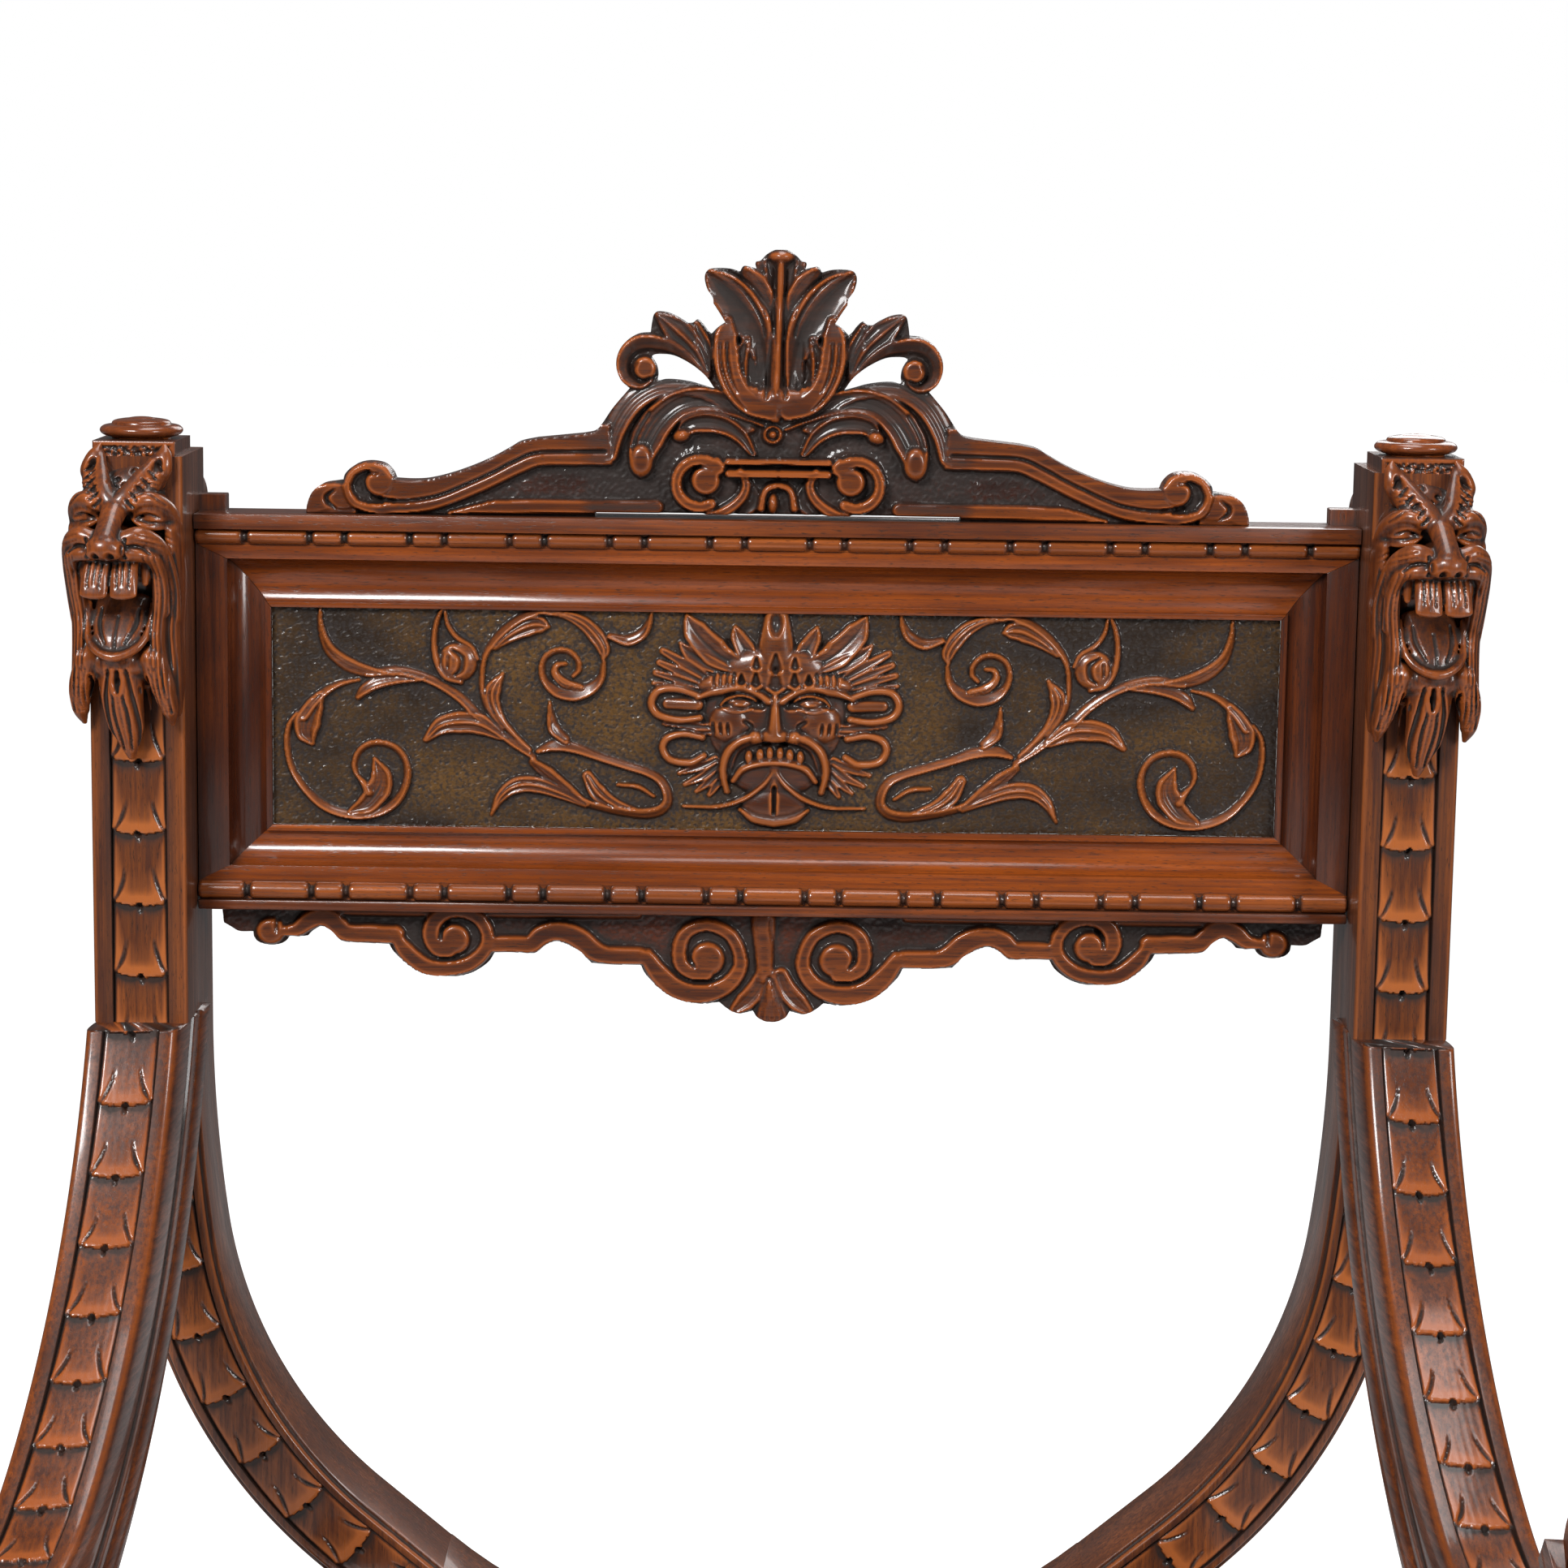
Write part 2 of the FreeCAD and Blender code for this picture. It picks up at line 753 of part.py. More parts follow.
def rosette(y, facing):
    """Round boss with petals on the outer face of a crossing."""
    z = crossing()[0][1]
    start = FreeCAD.Vector(0, y, z)
    outwards = FreeCAD.Vector(0, facing, 0)
    rim = rosette_radius - rosette_rim
    deck = rosette_depth - rosette_dish * 2
    floor = deck - rosette_dish
    profile = [(0, rosette_radius), (floor, rosette_radius), (deck, rosette_radius - rosette_dish),
               (deck, rim), (floor, rim - rosette_dish), (floor, rosette_boss_radius),
               (rosette_depth - rosette_dish, rosette_boss_radius), (rosette_depth, rosette_boss_radius / 2)]
    body = turned(profile, start, outwards)
    petals = []
    for index in range(rosette_petals):
        along = unit(360 * index / rosette_petals)
        foot = FreeCAD.Vector(along[0] * rosette_petal_ring, y, z + along[1] * rosette_petal_ring)
        petals.append(Part.makeCone(rosette_petal_radius, rosette_petal_radius / 2, deck + rosette_dish / 2,
                                    foot, outwards))
    bore = rod(stretcher_tenon_radius + joint_clearance, start - outwards * cut_overrun,
               start + outwards * (rosette_bore_depth + joint_clearance))
    return body.multiFuse(petals).cut(bore)


# Seat

def seat_rail_core(clearance):
    """Left seat rail's tenon run through both frames, or its mortises with a clearance."""
    half = seat_rail_width / 2 - seat_rail_shoulder + clearance
    foot = seat_foot_z - seat_rail_height + seat_rail_shoulder - clearance
    top = seat_foot_z - seat_rail_shoulder + clearance
    start = front_bar_front_y + front_bar_depth - seat_rail_tenon - clearance
    end = rear_bar_front_y + seat_rail_tenon + clearance
    return box(-seat_rail_centre_x - half, -seat_rail_centre_x + half, start, end, foot, top)


def seat_rail():
    """Left seat rail, tenoned into the front and rear bars."""
    half = seat_rail_width / 2
    body = box(-seat_rail_centre_x - half, -seat_rail_centre_x + half, front_bar_front_y + front_bar_depth,
               rear_bar_front_y, seat_foot_z - seat_rail_height, seat_foot_z)
    body = body.fuse(seat_rail_core(0.0))
    for rail_y in cross_rail_places():
        body = body.cut(cross_rail_tongue_box(rail_y, joint_clearance))
    return body.cut(seat_pegs(joint_clearance))


def cross_rail_places():
    """Front faces of the two cross rails."""
    front = front_bar_front_y + front_bar_depth + cross_rail_inset
    rear = rear_bar_front_y - cross_rail_inset - cross_rail_thickness
    return front, rear


def cross_rail_tongue_box(y, clearance):
    """Tongue of a cross rail in both seat rails."""
    reach = seat_rail_centre_x - seat_rail_width / 2 + cross_rail_tongue + clearance
    inset = cross_rail_thickness / 4
    foot = seat_foot_z - seat_rail_height + seat_rail_shoulder
    return box(-reach, reach, y + inset - clearance, y + cross_rail_thickness - inset + clearance,
               foot - clearance, seat_foot_z - seat_rail_shoulder + clearance)


def cross_rail(y):
    """Cross rail with an arched lower edge."""
    half = seat_rail_centre_x - seat_rail_width / 2
    foot = seat_foot_z - cross_rail_height
    outline = [(-half, seat_foot_z), (-half, foot), (-half + cross_rail_height, foot),
               (0.0, foot + cross_rail_arch, half - cross_rail_height, foot), (half, foot),
               (half, seat_foot_z)]
    body = front_plate(closed(outline), y, y + cross_rail_thickness)
    return body.fuse(cross_rail_tongue_box(y, 0.0))


def seat_span():
    """Front and rear edge of the seat boards."""
    return front_bar_front_y + front_bar_depth + seat_front_gap, rear_bar_front_y - seat_front_gap


def seat_board(index):
    """One of the seat boards, with rounded ends."""
    front, rear = seat_span()
    width = (rear - front - seat_board_gap * (seat_boards - 1)) / seat_boards
    start = front + index * (width + seat_board_gap)
    r = seat_edge_radius
    bulge = r * diagonal_share
    w = seat_half_width
    z = seat_top_z
    outline = [(-w, seat_foot_z), (w, seat_foot_z), (w, z - r), (w - r + bulge, z - r + bulge, w - r, z),
               (r - w, z), (r - w - bulge, z - r + bulge, -w, z - r)]
    return front_plate(closed(outline), start, start + width).cut(seat_pegs(joint_clearance))


def seat_peg(x, y, clearance):
    """Peg with a low domed head that holds a board to its rail."""
    head = seat_peg_head
    foot = seat_top_z - seat_peg_length
    shank = rod(seat_peg_radius + clearance, FreeCAD.Vector(x, y, foot - clearance),
                FreeCAD.Vector(x, y, seat_top_z - head))
    cap = rod(seat_peg_head_radius + clearance, FreeCAD.Vector(x, y, seat_top_z - head - clearance),
              FreeCAD.Vector(x, y, seat_top_z + clearance))
    return shank.fuse(cap)


def seat_pegs(clearance):
    """Pegs through every board into both seat rails."""
    front, rear = seat_span()
    step = (rear - front) / seat_boards
    pegs = []
    for index in range(seat_boards):
        for x in (-seat_rail_centre_x, seat_rail_centre_x):
            pegs.append(seat_peg(x, front + step * (index + 0.5), clearance))
    return Part.makeCompound(pegs)


# Arms

def arm_path():
    """Top face of the left arm: forward reach and height."""
    start = ((0.0, arm_seam_z), arm_start_angle - 90)
    back = walk_line((start[0], start[1] + 180), arm_lead)
    steps = [(arm_lead,), (arm_sweep_radius, arm_sweep_turn), (arm_dip_radius, arm_dip_turn)]
    return walk((back[3][0], start[1]), steps)


def scroll_centre():
    """Middle of the scroll at the arm's front end."""
    return shifted(arm_path()[-1][3], -arm_scroll_radius)


def across():
    """Sideways direction of the left arm, towards the middle of the chair."""
    toe = math.radians(arm_toe_angle)
    return FreeCAD.Vector(math.cos(toe), math.sin(toe), 0)


def arm_disc(radius, proud):
    """Round of the front scroll, across the arm's width."""
    half = arm_width / 2 + proud
    start = arm_place(-half)(scroll_centre())
    return rod(radius, start, start + across() * (half * 2))


def arm():
    """Left arm: swept from the post, dipping and rising to a scroll on the front bar."""
    path = arm_path()
    half = arm_width / 2
    body = plate(band(path, 0.0, -arm_thickness), arm_place(-half), across() * arm_width)
    body = body.fuse(arm_disc(arm_scroll_radius, 0.0))
    body = body.cut(arm_trims())
    body = body.cut(arm_channel(path[1:]))
    body = body.multiFuse(arm_tiles(path[1:]))
    body = body.multiFuse([arm_disc(arm_scroll_boss, arm_boss_proud)])
    for side in (-1, 1):
        body = body.cut(arm_side_cuts(path, side))
    return body.cut(arm_dowel_rear(joint_clearance)).cut(arm_dowel_front(joint_clearance))


def arm_trims():
    """Level seam on top, flat back at the post, and the scroll's seat on the front bar."""
    far = half_depth * 2
    over = box(-far, far, -far, far, arm_seam_z, post_top_z)
    behind = box(-far, far, arm_rear_y, far, 0, post_top_z)
    seat = scroll_centre()[1] - arm_scroll_seat
    under = box(-far, far, -half_depth - cut_overrun, front_bar_front_y + front_bar_depth + cut_overrun,
                seat - arm_scroll_radius * 2, seat)
    return over.multiFuse([behind, under])


def arm_channel(path):
    """Sunk channel for the scales on the arm's top face."""
    return plate(band(path, cut_overrun, -channel_depth), arm_place(-arm_channel_half),
                 across() * (arm_channel_half * 2))


def arm_tiles(path):
    """Scales on the arm's top face."""
    tiles = []
    half = arm_channel_half - scale_margin
    room = sum(path_length(piece) for piece in path)
    for index in range(int(room / scale_pitch)):
        ends = []
        for distance, thickness in ((index * scale_pitch, scale_thin),
                                    ((index + 1) * scale_pitch - scale_margin, scale_thick)):
            station = station_at(path, distance)
            low = shifted(station, -channel_depth - scale_margin)
            high = shifted(station, thickness - channel_depth)
            ends.append([arm_place(-half)(low), arm_place(half)(low), arm_place(half)(high),
                         arm_place(-half)(high)])
        tiles.append(hull_loft(ends))
    return tiles


def arm_side_cuts(path, side):
    """Groove along one side of the arm and round its scroll."""
    start = side * (arm_width / 2 + cut_overrun)
    push = across() * (-side * (arm_groove_depth + cut_overrun))
    groove = plate(band(path, -arm_groove_drop, -arm_groove_drop - arm_groove_width), arm_place(start), push)
    centre = arm_place(start)(scroll_centre())
    ring = rod(arm_scroll_ring, centre, centre + push)
    return groove.fuse(ring.cut(rod(arm_scroll_ring - arm_scroll_groove, centre, centre + push)))


def arm_dowel_rear(clearance):
    """Dowel between the left arm and its upper piece."""
    y = arm_front_y + (arm_rear_y - arm_front_y) / 2
    half = arm_dowel_length / 2 + clearance
    return rod(arm_dowel_radius + clearance, FreeCAD.Vector(-arm_centre_x, y, arm_seam_z - half),
               FreeCAD.Vector(-arm_centre_x, y, arm_seam_z + half))


def arm_dowel_front(clearance):
    """Dowel between the front bar and the arm's scroll."""
    x = arm_place(0.0)(scroll_centre()).x
    z = scroll_centre()[1] - arm_scroll_seat
    y = front_bar_front_y + front_bar_depth / 2
    half = arm_dowel_length / 2 + clearance
    return rod(arm_dowel_radius + clearance, FreeCAD.Vector(x, y, z - half), FreeCAD.Vector(x, y, z + half))


def arm_dowels():
    """All four arm dowels."""
    left = [arm_dowel_rear(0.0), arm_dowel_front(0.0)]
    return Part.makeCompound(left + [mirrored(dowel) for dowel in left])


def post_dowels(side, clearance):
    """Dowels that hold an upper arm piece to the rear bar behind it."""
    dowels = []
    half = post_dowel_length / 2 + clearance
    for index in (0, 1):
        z = arm_seam_z + post_dowel_rise + index * post_dowel_spacing
        dowels.append(rod(post_dowel_radius + clearance,
                          FreeCAD.Vector(side * arm_centre_x, rear_bar_front_y - half, z),
                          FreeCAD.Vector(side * arm_centre_x, rear_bar_front_y + half, z)))
    return Part.makeCompound(dowels)


# Upper arm pieces with beast heads. Points are (across, reach forward, z).

def head_point(across_x, reach, z):
    """A point on the left head."""
    return FreeCAD.Vector(-head_centre_x + across_x, arm_front_y - reach, z)


def level_section(half_front, half_back, front, back, z):
    """Flat four-sided section at one height."""
    return [head_point(-half_back, back, z), head_point(half_back, back, z), head_point(half_front, front, z),
            head_point(-half_front, front, z)]


def skull():
    """Brow, cheeks and throat behind the open mouth."""
    half = head_half_width
    back = -head_block_depth
    narrow = head_snout_half + head_whisker_radius
    top_half = head_block_width / 2
    sections = [
        level_section(head_block_width / 3, top_half, head_whisker_radius / 2, back, head_block_top_z),
        level_section(head_snout_half, half, head_brow_reach, back, head_brow_z - head_whisker_radius),
        level_section(narrow, half, head_brow_reach, back, head_nose_z + head_cheek_radius),
        level_section(narrow, half - head_tooth_radius, head_whisker_radius, back, head_mouth_z),
        level_section(head_snout_half, half - head_eye_radius, head_whisker_radius, back, head_chin_z),
        level_section(head_nose_half, arm_width / 2, head_tooth_radius, back,
                      head_beard_z + head_beard_reach),
    ]
    return hull_loft(sections)


def upright_section(half, reach, foot, top):
    """Flat six-sided section that faces forwards."""
    slope = half / 2
    corners = [(-half, foot), (half, foot), (half, top - slope), (slope, top), (-slope, top),
               (-half, top - slope)]
    return [head_point(x, reach, z) for x, z in corners]


def snout():
    """Upper jaw, from the brow out to the nose."""
    return hull_loft([
        upright_section(head_snout_half + head_tooth_radius, 0.0, head_mouth_z,
                        head_brow_z - head_eye_radius),
        upright_section(head_snout_half, head_brow_reach, head_mouth_z, head_brow_z - head_cheek_radius * 2),
        upright_section(head_nose_half, head_reach - head_whisker_radius, head_mouth_z + head_tooth_radius,
                        head_nose_z + head_whisker_radius),
        upright_section(head_nose_half - head_tooth_radius, head_reach, head_mouth_z + head_whisker_radius,
                        head_nose_z + head_tooth_radius),
    ])


def jaw():
    """Lower jaw and the beard under it."""
    lower = hull_loft([
        upright_section(head_snout_half, 0.0, head_chin_z, head_jaw_z + head_tooth_radius),
        upright_section(head_nose_half, head_jaw_reach - head_whisker_radius, head_chin_z, head_jaw_z),
        upright_section(head_nose_half / 2, head_jaw_reach, head_chin_z + head_tooth_radius,
                        head_jaw_z - head_tooth_radius),
    ])
    beard = []
    for place in (-1, 0, 1):
        x = place * head_nose_half
        tip = head_beard_z + abs(place) * head_cheek_radius
        root = beard_section(x, head_beard_reach, head_chin_z + head_tooth_radius, head_whisker_radius)
        end = beard_section(x, head_beard_tip_reach, tip, head_tooth_radius)
        beard.append(Part.makeLoft([root, end], True, True))
    return lower.multiFuse(beard)


def beard_section(x, reach, z, half):
    """Four-sided section of one lock of the beard."""
    corners = [(x - half, reach), (x, reach + half / 2), (x + half, reach), (x + half, -head_tooth_radius),
               (x - half, -head_tooth_radius)]
    points = [head_point(across_x, forward, z) for across_x, forward in corners]
    return Part.makePolygon(points + points[:1])


def features():
    """Ears, cheeks, whisker bulbs, eyes and the long upper teeth."""
    shapes = []
    for side in (-1, 1):
        ear = head_point(side * head_ear_spread, head_tooth_radius - head_ear_radius,
                         head_brow_z - head_ear_radius)
        shapes.append(Part.makeCone(head_ear_radius, head_tooth_radius, head_ear_rise, ear,
                                    FreeCAD.Vector(side * head_tooth_radius, 0, head_ear_rise)))
        bulb = head_point(side * head_snout_half, head_reach - head_whisker_radius * 2, head_nose_z)
        shapes.append(Part.makeSphere(head_whisker_radius, bulb))
        eye = head_point(side * (head_snout_half + head_tooth_radius), head_brow_reach - head_tooth_radius,
                         head_brow_z - head_ear_rise - head_eye_radius)
        shapes.append(Part.makeSphere(head_eye_radius, eye))
        tooth = head_point(side * head_nose_half / 2, head_reach - head_whisker_radius,
                           head_mouth_z + head_whisker_radius)
        length = head_mouth_z - head_jaw_z - head_whisker_radius + head_tooth_radius
        root = head_tooth_radius * head_tooth_root_share
        shapes.append(Part.makeCone(root, head_tooth_radius / 2, length, tooth, FreeCAD.Vector(0, 0, -1)))
    return shapes


def arm_head():
    """Left upper arm piece: scaled post, beast head and square block, rebated for the back."""
    half = arm_width / 2
    post = box(-arm_centre_x - half, -arm_centre_x + half, arm_front_y, arm_rear_y, arm_seam_z, head_top_z)
    cap_half = head_block_width / 2
    block = box(-arm_centre_x - cap_half, -arm_centre_x + cap_half, arm_front_y,
                arm_front_y + head_block_depth, head_top_z, head_block_top_z)
    channel = box(-arm_centre_x - arm_channel_half, -arm_centre_x + arm_channel_half,
                  arm_front_y - cut_overrun, arm_front_y + channel_depth, arm_seam_z - cut_overrun,
                  head_chin_z)
    top = ((-arm_centre_x, head_chin_z), -90)
    run = walk(top, [(head_chin_z - arm_seam_z,)])
    tiles = scale_tiles(run, arm_channel_half - scale_margin, front_place(arm_front_y + channel_depth),
                        FreeCAD.Vector(0, 1, 0))
    body = post.fuse(block).cut(channel).multiFuse(tiles + [skull(), snout(), jaw()] + features())
    body = body.cut(back_rebate())
    return body.cut(post_dowels(-1, joint_clearance)).cut(arm_dowel_rear(joint_clearance)).cut(finial_bore())


def back_rebate():
    """Groove at the inner rear corner for the back's tongue, open at the top."""
    inner = -arm_inner_x
    foot = back_foot_z + tongue_foot
    far = inner + head_half_width
    groove = box(-tongue_outer_x - tongue_clearance, far, tongue_front_y - tongue_clearance,
                 arm_rear_y + cut_overrun, foot, head_block_top_z + cut_overrun)
    clear = box(inner, far, back_front_y - fascia_overhang - head_ear_radius, arm_rear_y + cut_overrun,
                head_beard_z - field_height, head_block_top_z + cut_overrun)
    return groove.fuse(clear)


def finial_start():
    """Middle of the block's top face."""
    return FreeCAD.Vector(-arm_centre_x, arm_front_y + head_block_depth / 2, head_block_top_z)


def finial_bore():
    """Hole for the finial's spigot."""
    up = FreeCAD.Vector(0, 0, 1)
    start = finial_start()
    return rod(finial_spigot_radius + joint_clearance, start - up * (finial_spigot_length + joint_clearance),
               start + up * cut_overrun)


def finial():
    """Turned button on the left block."""
    neck = finial_neck_height
    ring = neck + finial_ring_height
    top = ring + finial_button_height
    profile = [(0, finial_neck_radius), (neck, finial_neck_radius), (neck + finial_ring_height / 4,
               finial_ring_radius), (ring - finial_ring_height / 4, finial_ring_radius),
               (ring, finial_button_radius), (top - neck / 2, finial_button_radius),
               (top, finial_button_radius - neck / 2)]
    up = FreeCAD.Vector(0, 0, 1)
    spigot = rod(finial_spigot_radius, finial_start() - up * finial_spigot_length, finial_start() + up * neck)
    return turned(profile, finial_start(), up).fuse(spigot)


# Back

def back_tongue(clearance):
    """Left tongue, glued behind the stile, that slides in the arm piece's rebate."""
    inner = back_half_width + tongue_reach - tongue_width
    return box(-tongue_outer_x, -inner + clearance, tongue_front_y - clearance, back_rear_y + clearance,
               back_foot_z + tongue_foot - clearance, crest_foot_z + tongue_rise + clearance)


def tongue_pockets():
    """Room for both tongues in the pieces of the back."""
    left = back_tongue(joint_clearance)
    return left.fuse(mirrored(left))


def moulding(cove, flat, place, push):
    """Coved rail: across measured inwards from its outer edge, depth from the front."""
    inner = flat + cove
    low = cove_step + cove_depth
    lip = low - cove_rise - inner_fillet / 2
    deep = flat + cove * cove_deep_share
    thick = back_rear_y - back_front_y
    step = inner - inner_fillet
    lap_edge = inner - board_lap
    outline = [(0.0, 0.0), (flat, 0.0), (flat, cove_step), (deep, low, step, low - cove_rise), (step, lip),
               (inner, lip), (inner, field_sink), (lap_edge, field_sink), (lap_edge, thick), (0.0, thick)]
    return plate(closed(outline), place, push)


def frame_corners():
    """Corner points of the mitres at the upper right, from the outside in."""
    outer_x = back_half_width
    return [(outer_x, top_bead_z), (outer_x - side_flat, top_bead_z - top_flat),
            (field_half_width, field_top_z)]


def lower_corners():
    """Corner points of the mitres at the lower right, from the outside in."""
    outer_x = back_half_width
    return [(outer_x, bottom_rail_z), (outer_x - side_flat, bottom_rail_z + bottom_flat),
            (field_half_width, field_foot_z)]


def mitred(blank, points):
    """Cuts a rail to its mitres, leaving it wider behind the lip."""
    front = back_front_y - cut_overrun
    return blank.common(front_plate(closed(points), front, back_rear_y + cut_overrun))


def frame_rails():
    """Coved frame round the field: top, bottom, left and right pieces."""
    x0 = -back_half_width
    length = FreeCAD.Vector(back_half_width * 2, 0, 0)
    top = moulding(top_cove, top_flat,
                   lambda p: FreeCAD.Vector(x0, back_front_y + p[1], top_bead_z - p[0]), length)
    bottom = moulding(bottom_cove, bottom_flat,
                      lambda p: FreeCAD.Vector(x0, back_front_y + p[1], bottom_rail_z + p[0]), length)
    height = FreeCAD.Vector(0, 0, top_bead_z - bottom_rail_z)
    side = moulding(side_cove, side_flat,
                    lambda p: FreeCAD.Vector(x0 + p[0], back_front_y + p[1], bottom_rail_z), height)
    upper = frame_corners()
    lower = lower_corners()
    flip = [(-x, z) for x, z in upper]
    top = mitred(top, upper + flip[::-1])
    bottom = mitred(bottom, lower + [(-x, z) for x, z in lower][::-1])
    left = mitred(side, flip + [(-x, z) for x, z in lower][::-1])
    pockets = tongue_pockets()
    return top.cut(pockets), bottom.cut(pockets), left.cut(pockets)


def smooth_band(points, width, front_y, rear_y):
    """Raised band along a smooth stem."""
    half = width / 2
    stations = []
    for index, point in enumerate(points):
        before = points[max(index - 1, 0)]
        after = points[min(index + 1, len(points) - 1)]
        heading = math.degrees(math.atan2(after[1] - before[1], after[0] - before[0]))
        stations.append((point, heading))
    pieces = []
    for start, end in zip(stations, stations[1:]):
        corners = [shifted(start, half), shifted(end, half), shifted(end, -half), shifted(start, -half)]
        pieces.append(front_plate(closed(corners), front_y, rear_y))
    return pieces


def field_point(share):
    """A place on the field from its shares."""
    return share[0] * field_half_width, (field_foot_z + field_top_z) / 2 + share[1] * field_height


def mask():
    """Grotesque mask: ring of leaf petals, domed face, nose and brows."""
    centre_z = (field_foot_z + field_top_z) / 2
    ground_y = back_front_y + field_sink
    rear_y = ground_y + relief_height
    shapes = []
    for index in range(mask_petals):
        angle = 360 * (index + 0.5) / mask_petals
        along = unit(angle)
        side = unit(angle + 90)
        tip = (along[0] * mask_half_width, centre_z + along[1] * mask_half_height)
        half = mask_petal_width / 2
        core = mask_core_share
        left = (tip[0] * core + side[0] * half, centre_z + (tip[1] - centre_z) * core + side[1] * half)
        right = (tip[0] * core - side[0] * half, centre_z + (tip[1] - centre_z) * core - side[1] * half)
        petal = closed([(0.0, centre_z), left, tip, right])
        shapes.append(front_plate(petal, ground_y - relief_height, rear_y))
    start = FreeCAD.Vector(0, rear_y, centre_z)
    face = Part.makeCone(mask_half_width * mask_core_share, mask_half_width * mask_core_share / 2,
                         mask_height + relief_height, start, FreeCAD.Vector(0, -1, 0))
    shapes.append(face)
    nose = [(-mask_nose_width / 4, centre_z + mask_nose_height / 2), (mask_nose_width / 4,
            centre_z + mask_nose_height / 2), (mask_nose_width / 2, centre_z - mask_nose_height / 2),
            (-mask_nose_width / 2, centre_z - mask_nose_height / 2)]
    shapes.append(front_plate(closed(nose), ground_y - mask_height - mask_nose_proud, rear_y))
    for side in (-1, 1):
        brow_z = centre_z + mask_nose_height / 2
        brow = [(0.0, brow_z), (side * mask_brow_length, brow_z + mask_brow_width),
                (side * mask_brow_length, brow_z), (0.0, brow_z - mask_brow_width)]
        shapes.append(front_plate(closed(brow), ground_y - mask_height, rear_y))
    return shapes


def field_board():
    """Board of the field with its raised scroll work and mask."""
    front = back_front_y + field_sink + joint_clearance
    lap_width = board_lap - joint_clearance
    half = field_half_width + lap_width
    board = box(-half, half, front, front + board_thickness, field_foot_z - lap_width,
                field_top_z + lap_width)
    raised = []
    for stem in scroll_stem_shares:
        points = [field_point(share) for share in stem]
        raised += smooth_band(points, scroll_band, front - relief_height, front + relief_height)
    raised += [mirrored(shape) for shape in raised]
    return board.multiFuse(raised + mask())


def bead_lengths(room):
    """Long and short beads in turn that fill a length between two end beads."""
    pair = bead_long + bead_short + bead_neck * 2
    count = int((room - bead_long) / pair)
    slack = (room - bead_neck - count * pair - bead_long) / 2
    return [slack] + [bead_long, bead_short] * count + [bead_long, slack]


def bead_profile(radius):
    """Profile of the strung beads: distance and radius."""
    neck = radius * bead_neck_ratio_share
    points = []
    along = 0.0
    for length in bead_lengths(back_half_width * 2):
        points += [(along, radius - bead_chamfer), (along + bead_chamfer, radius),
                   (along + length - bead_chamfer, radius), (along + length, radius - bead_chamfer),
                   (along + length, neck), (along + length + bead_neck, neck)]
        along += length + bead_neck
    points = points[:-2]
    return [(distance * back_half_width * 2 / points[-1][0], size) for distance, size in points]


def bead_strip(foot_z, height):
    """Moulding with strung beads on its front edge."""
    radius = height / 2
    strip = box(-back_half_width, back_half_width, back_front_y, back_rear_y, foot_z, foot_z + height)
    start = FreeCAD.Vector(-back_half_width, back_front_y, foot_z + radius)
    beads = turned(bead_profile(radius), start, FreeCAD.Vector(1, 0, 0))
    reach = back_half_width + cut_overrun
    front = box(-reach, reach, back_front_y - radius - cut_overrun, back_front_y, foot_z - cut_overrun,
                foot_z + height + cut_overrun)
    return strip.fuse(beads.common(front)).cut(tongue_pockets())


def back_strip(foot_z, height, overhang):
    """Plain strip across the back."""
    return box(-back_half_width, back_half_width, back_front_y - overhang, back_rear_y, foot_z,
               foot_z + height).cut(tongue_pockets())


def crest_point(x_share, z_share):
    """A place on the crest from its shares."""
    return x_share * crest_half_width, crest_foot_z + z_share * crest_height


def crest_outline():
    """Whole edge of the crest, right half and then its mirror image."""
    right = []
    for share in crest_edge_shares:
        point = crest_point(share[0], share[1])
        right.append(point if len(share) == 2 else point + crest_point(share[2], share[3]))
    left = []
    ends = [point[-2:] for point in right]
    for index in range(len(right) - 1, 0, -1):
        end = (-ends[index - 1][0], ends[index - 1][1])
        middle = right[index][:2]
        left.append(end if len(right[index]) == 2 else (-middle[0], middle[1]) + end)
    return closed(right + [(-ends[-1][0], ends[-1][1])] + left)


def leaf(foot, tip, half_width, front_y, rear_y):
    """Pointed raised leaf, ridged along its middle."""
    heading = math.degrees(math.atan2(tip[1] - foot[1], tip[0] - foot[0]))
    middle = between(foot, tip, leaf_widest_share)
    left = shifted((middle, heading), half_width)
    right = shifted((middle, heading), -half_width)
    outer = [foot, left, tip, right]
    inner = [between(middle, corner, leaf_ridge_share) for corner in outer]
    return hull_loft([[front_place(rear_y)(point) for point in outer],
                      [front_place(front_y)(point) for point in inner]])


def between(start, end, share):
    """The point at a share of the way from one point to another."""
    return start[0] + (end[0] - start[0]) * share, start[1] + (end[1] - start[1]) * share


def crest_void():
    """Pierced gap under an outer curl."""
    x, z = crest_point(*crest_void_spot_share)
    slot = []
    run = crest_void_half_run
    radius = crest_void_radius
    for along in (-run, run):
        slot.append(rod(radius, FreeCAD.Vector(x + along, crest_front_y - cut_overrun, z),
                        FreeCAD.Vector(x + along, crest_rear_y + cut_overrun, z)))
    slot.append(box(x - run, x + run, crest_front_y - cut_overrun, crest_rear_y + cut_overrun, z - radius,
                    z + radius))
    return slot[0].multiFuse(slot[1:])


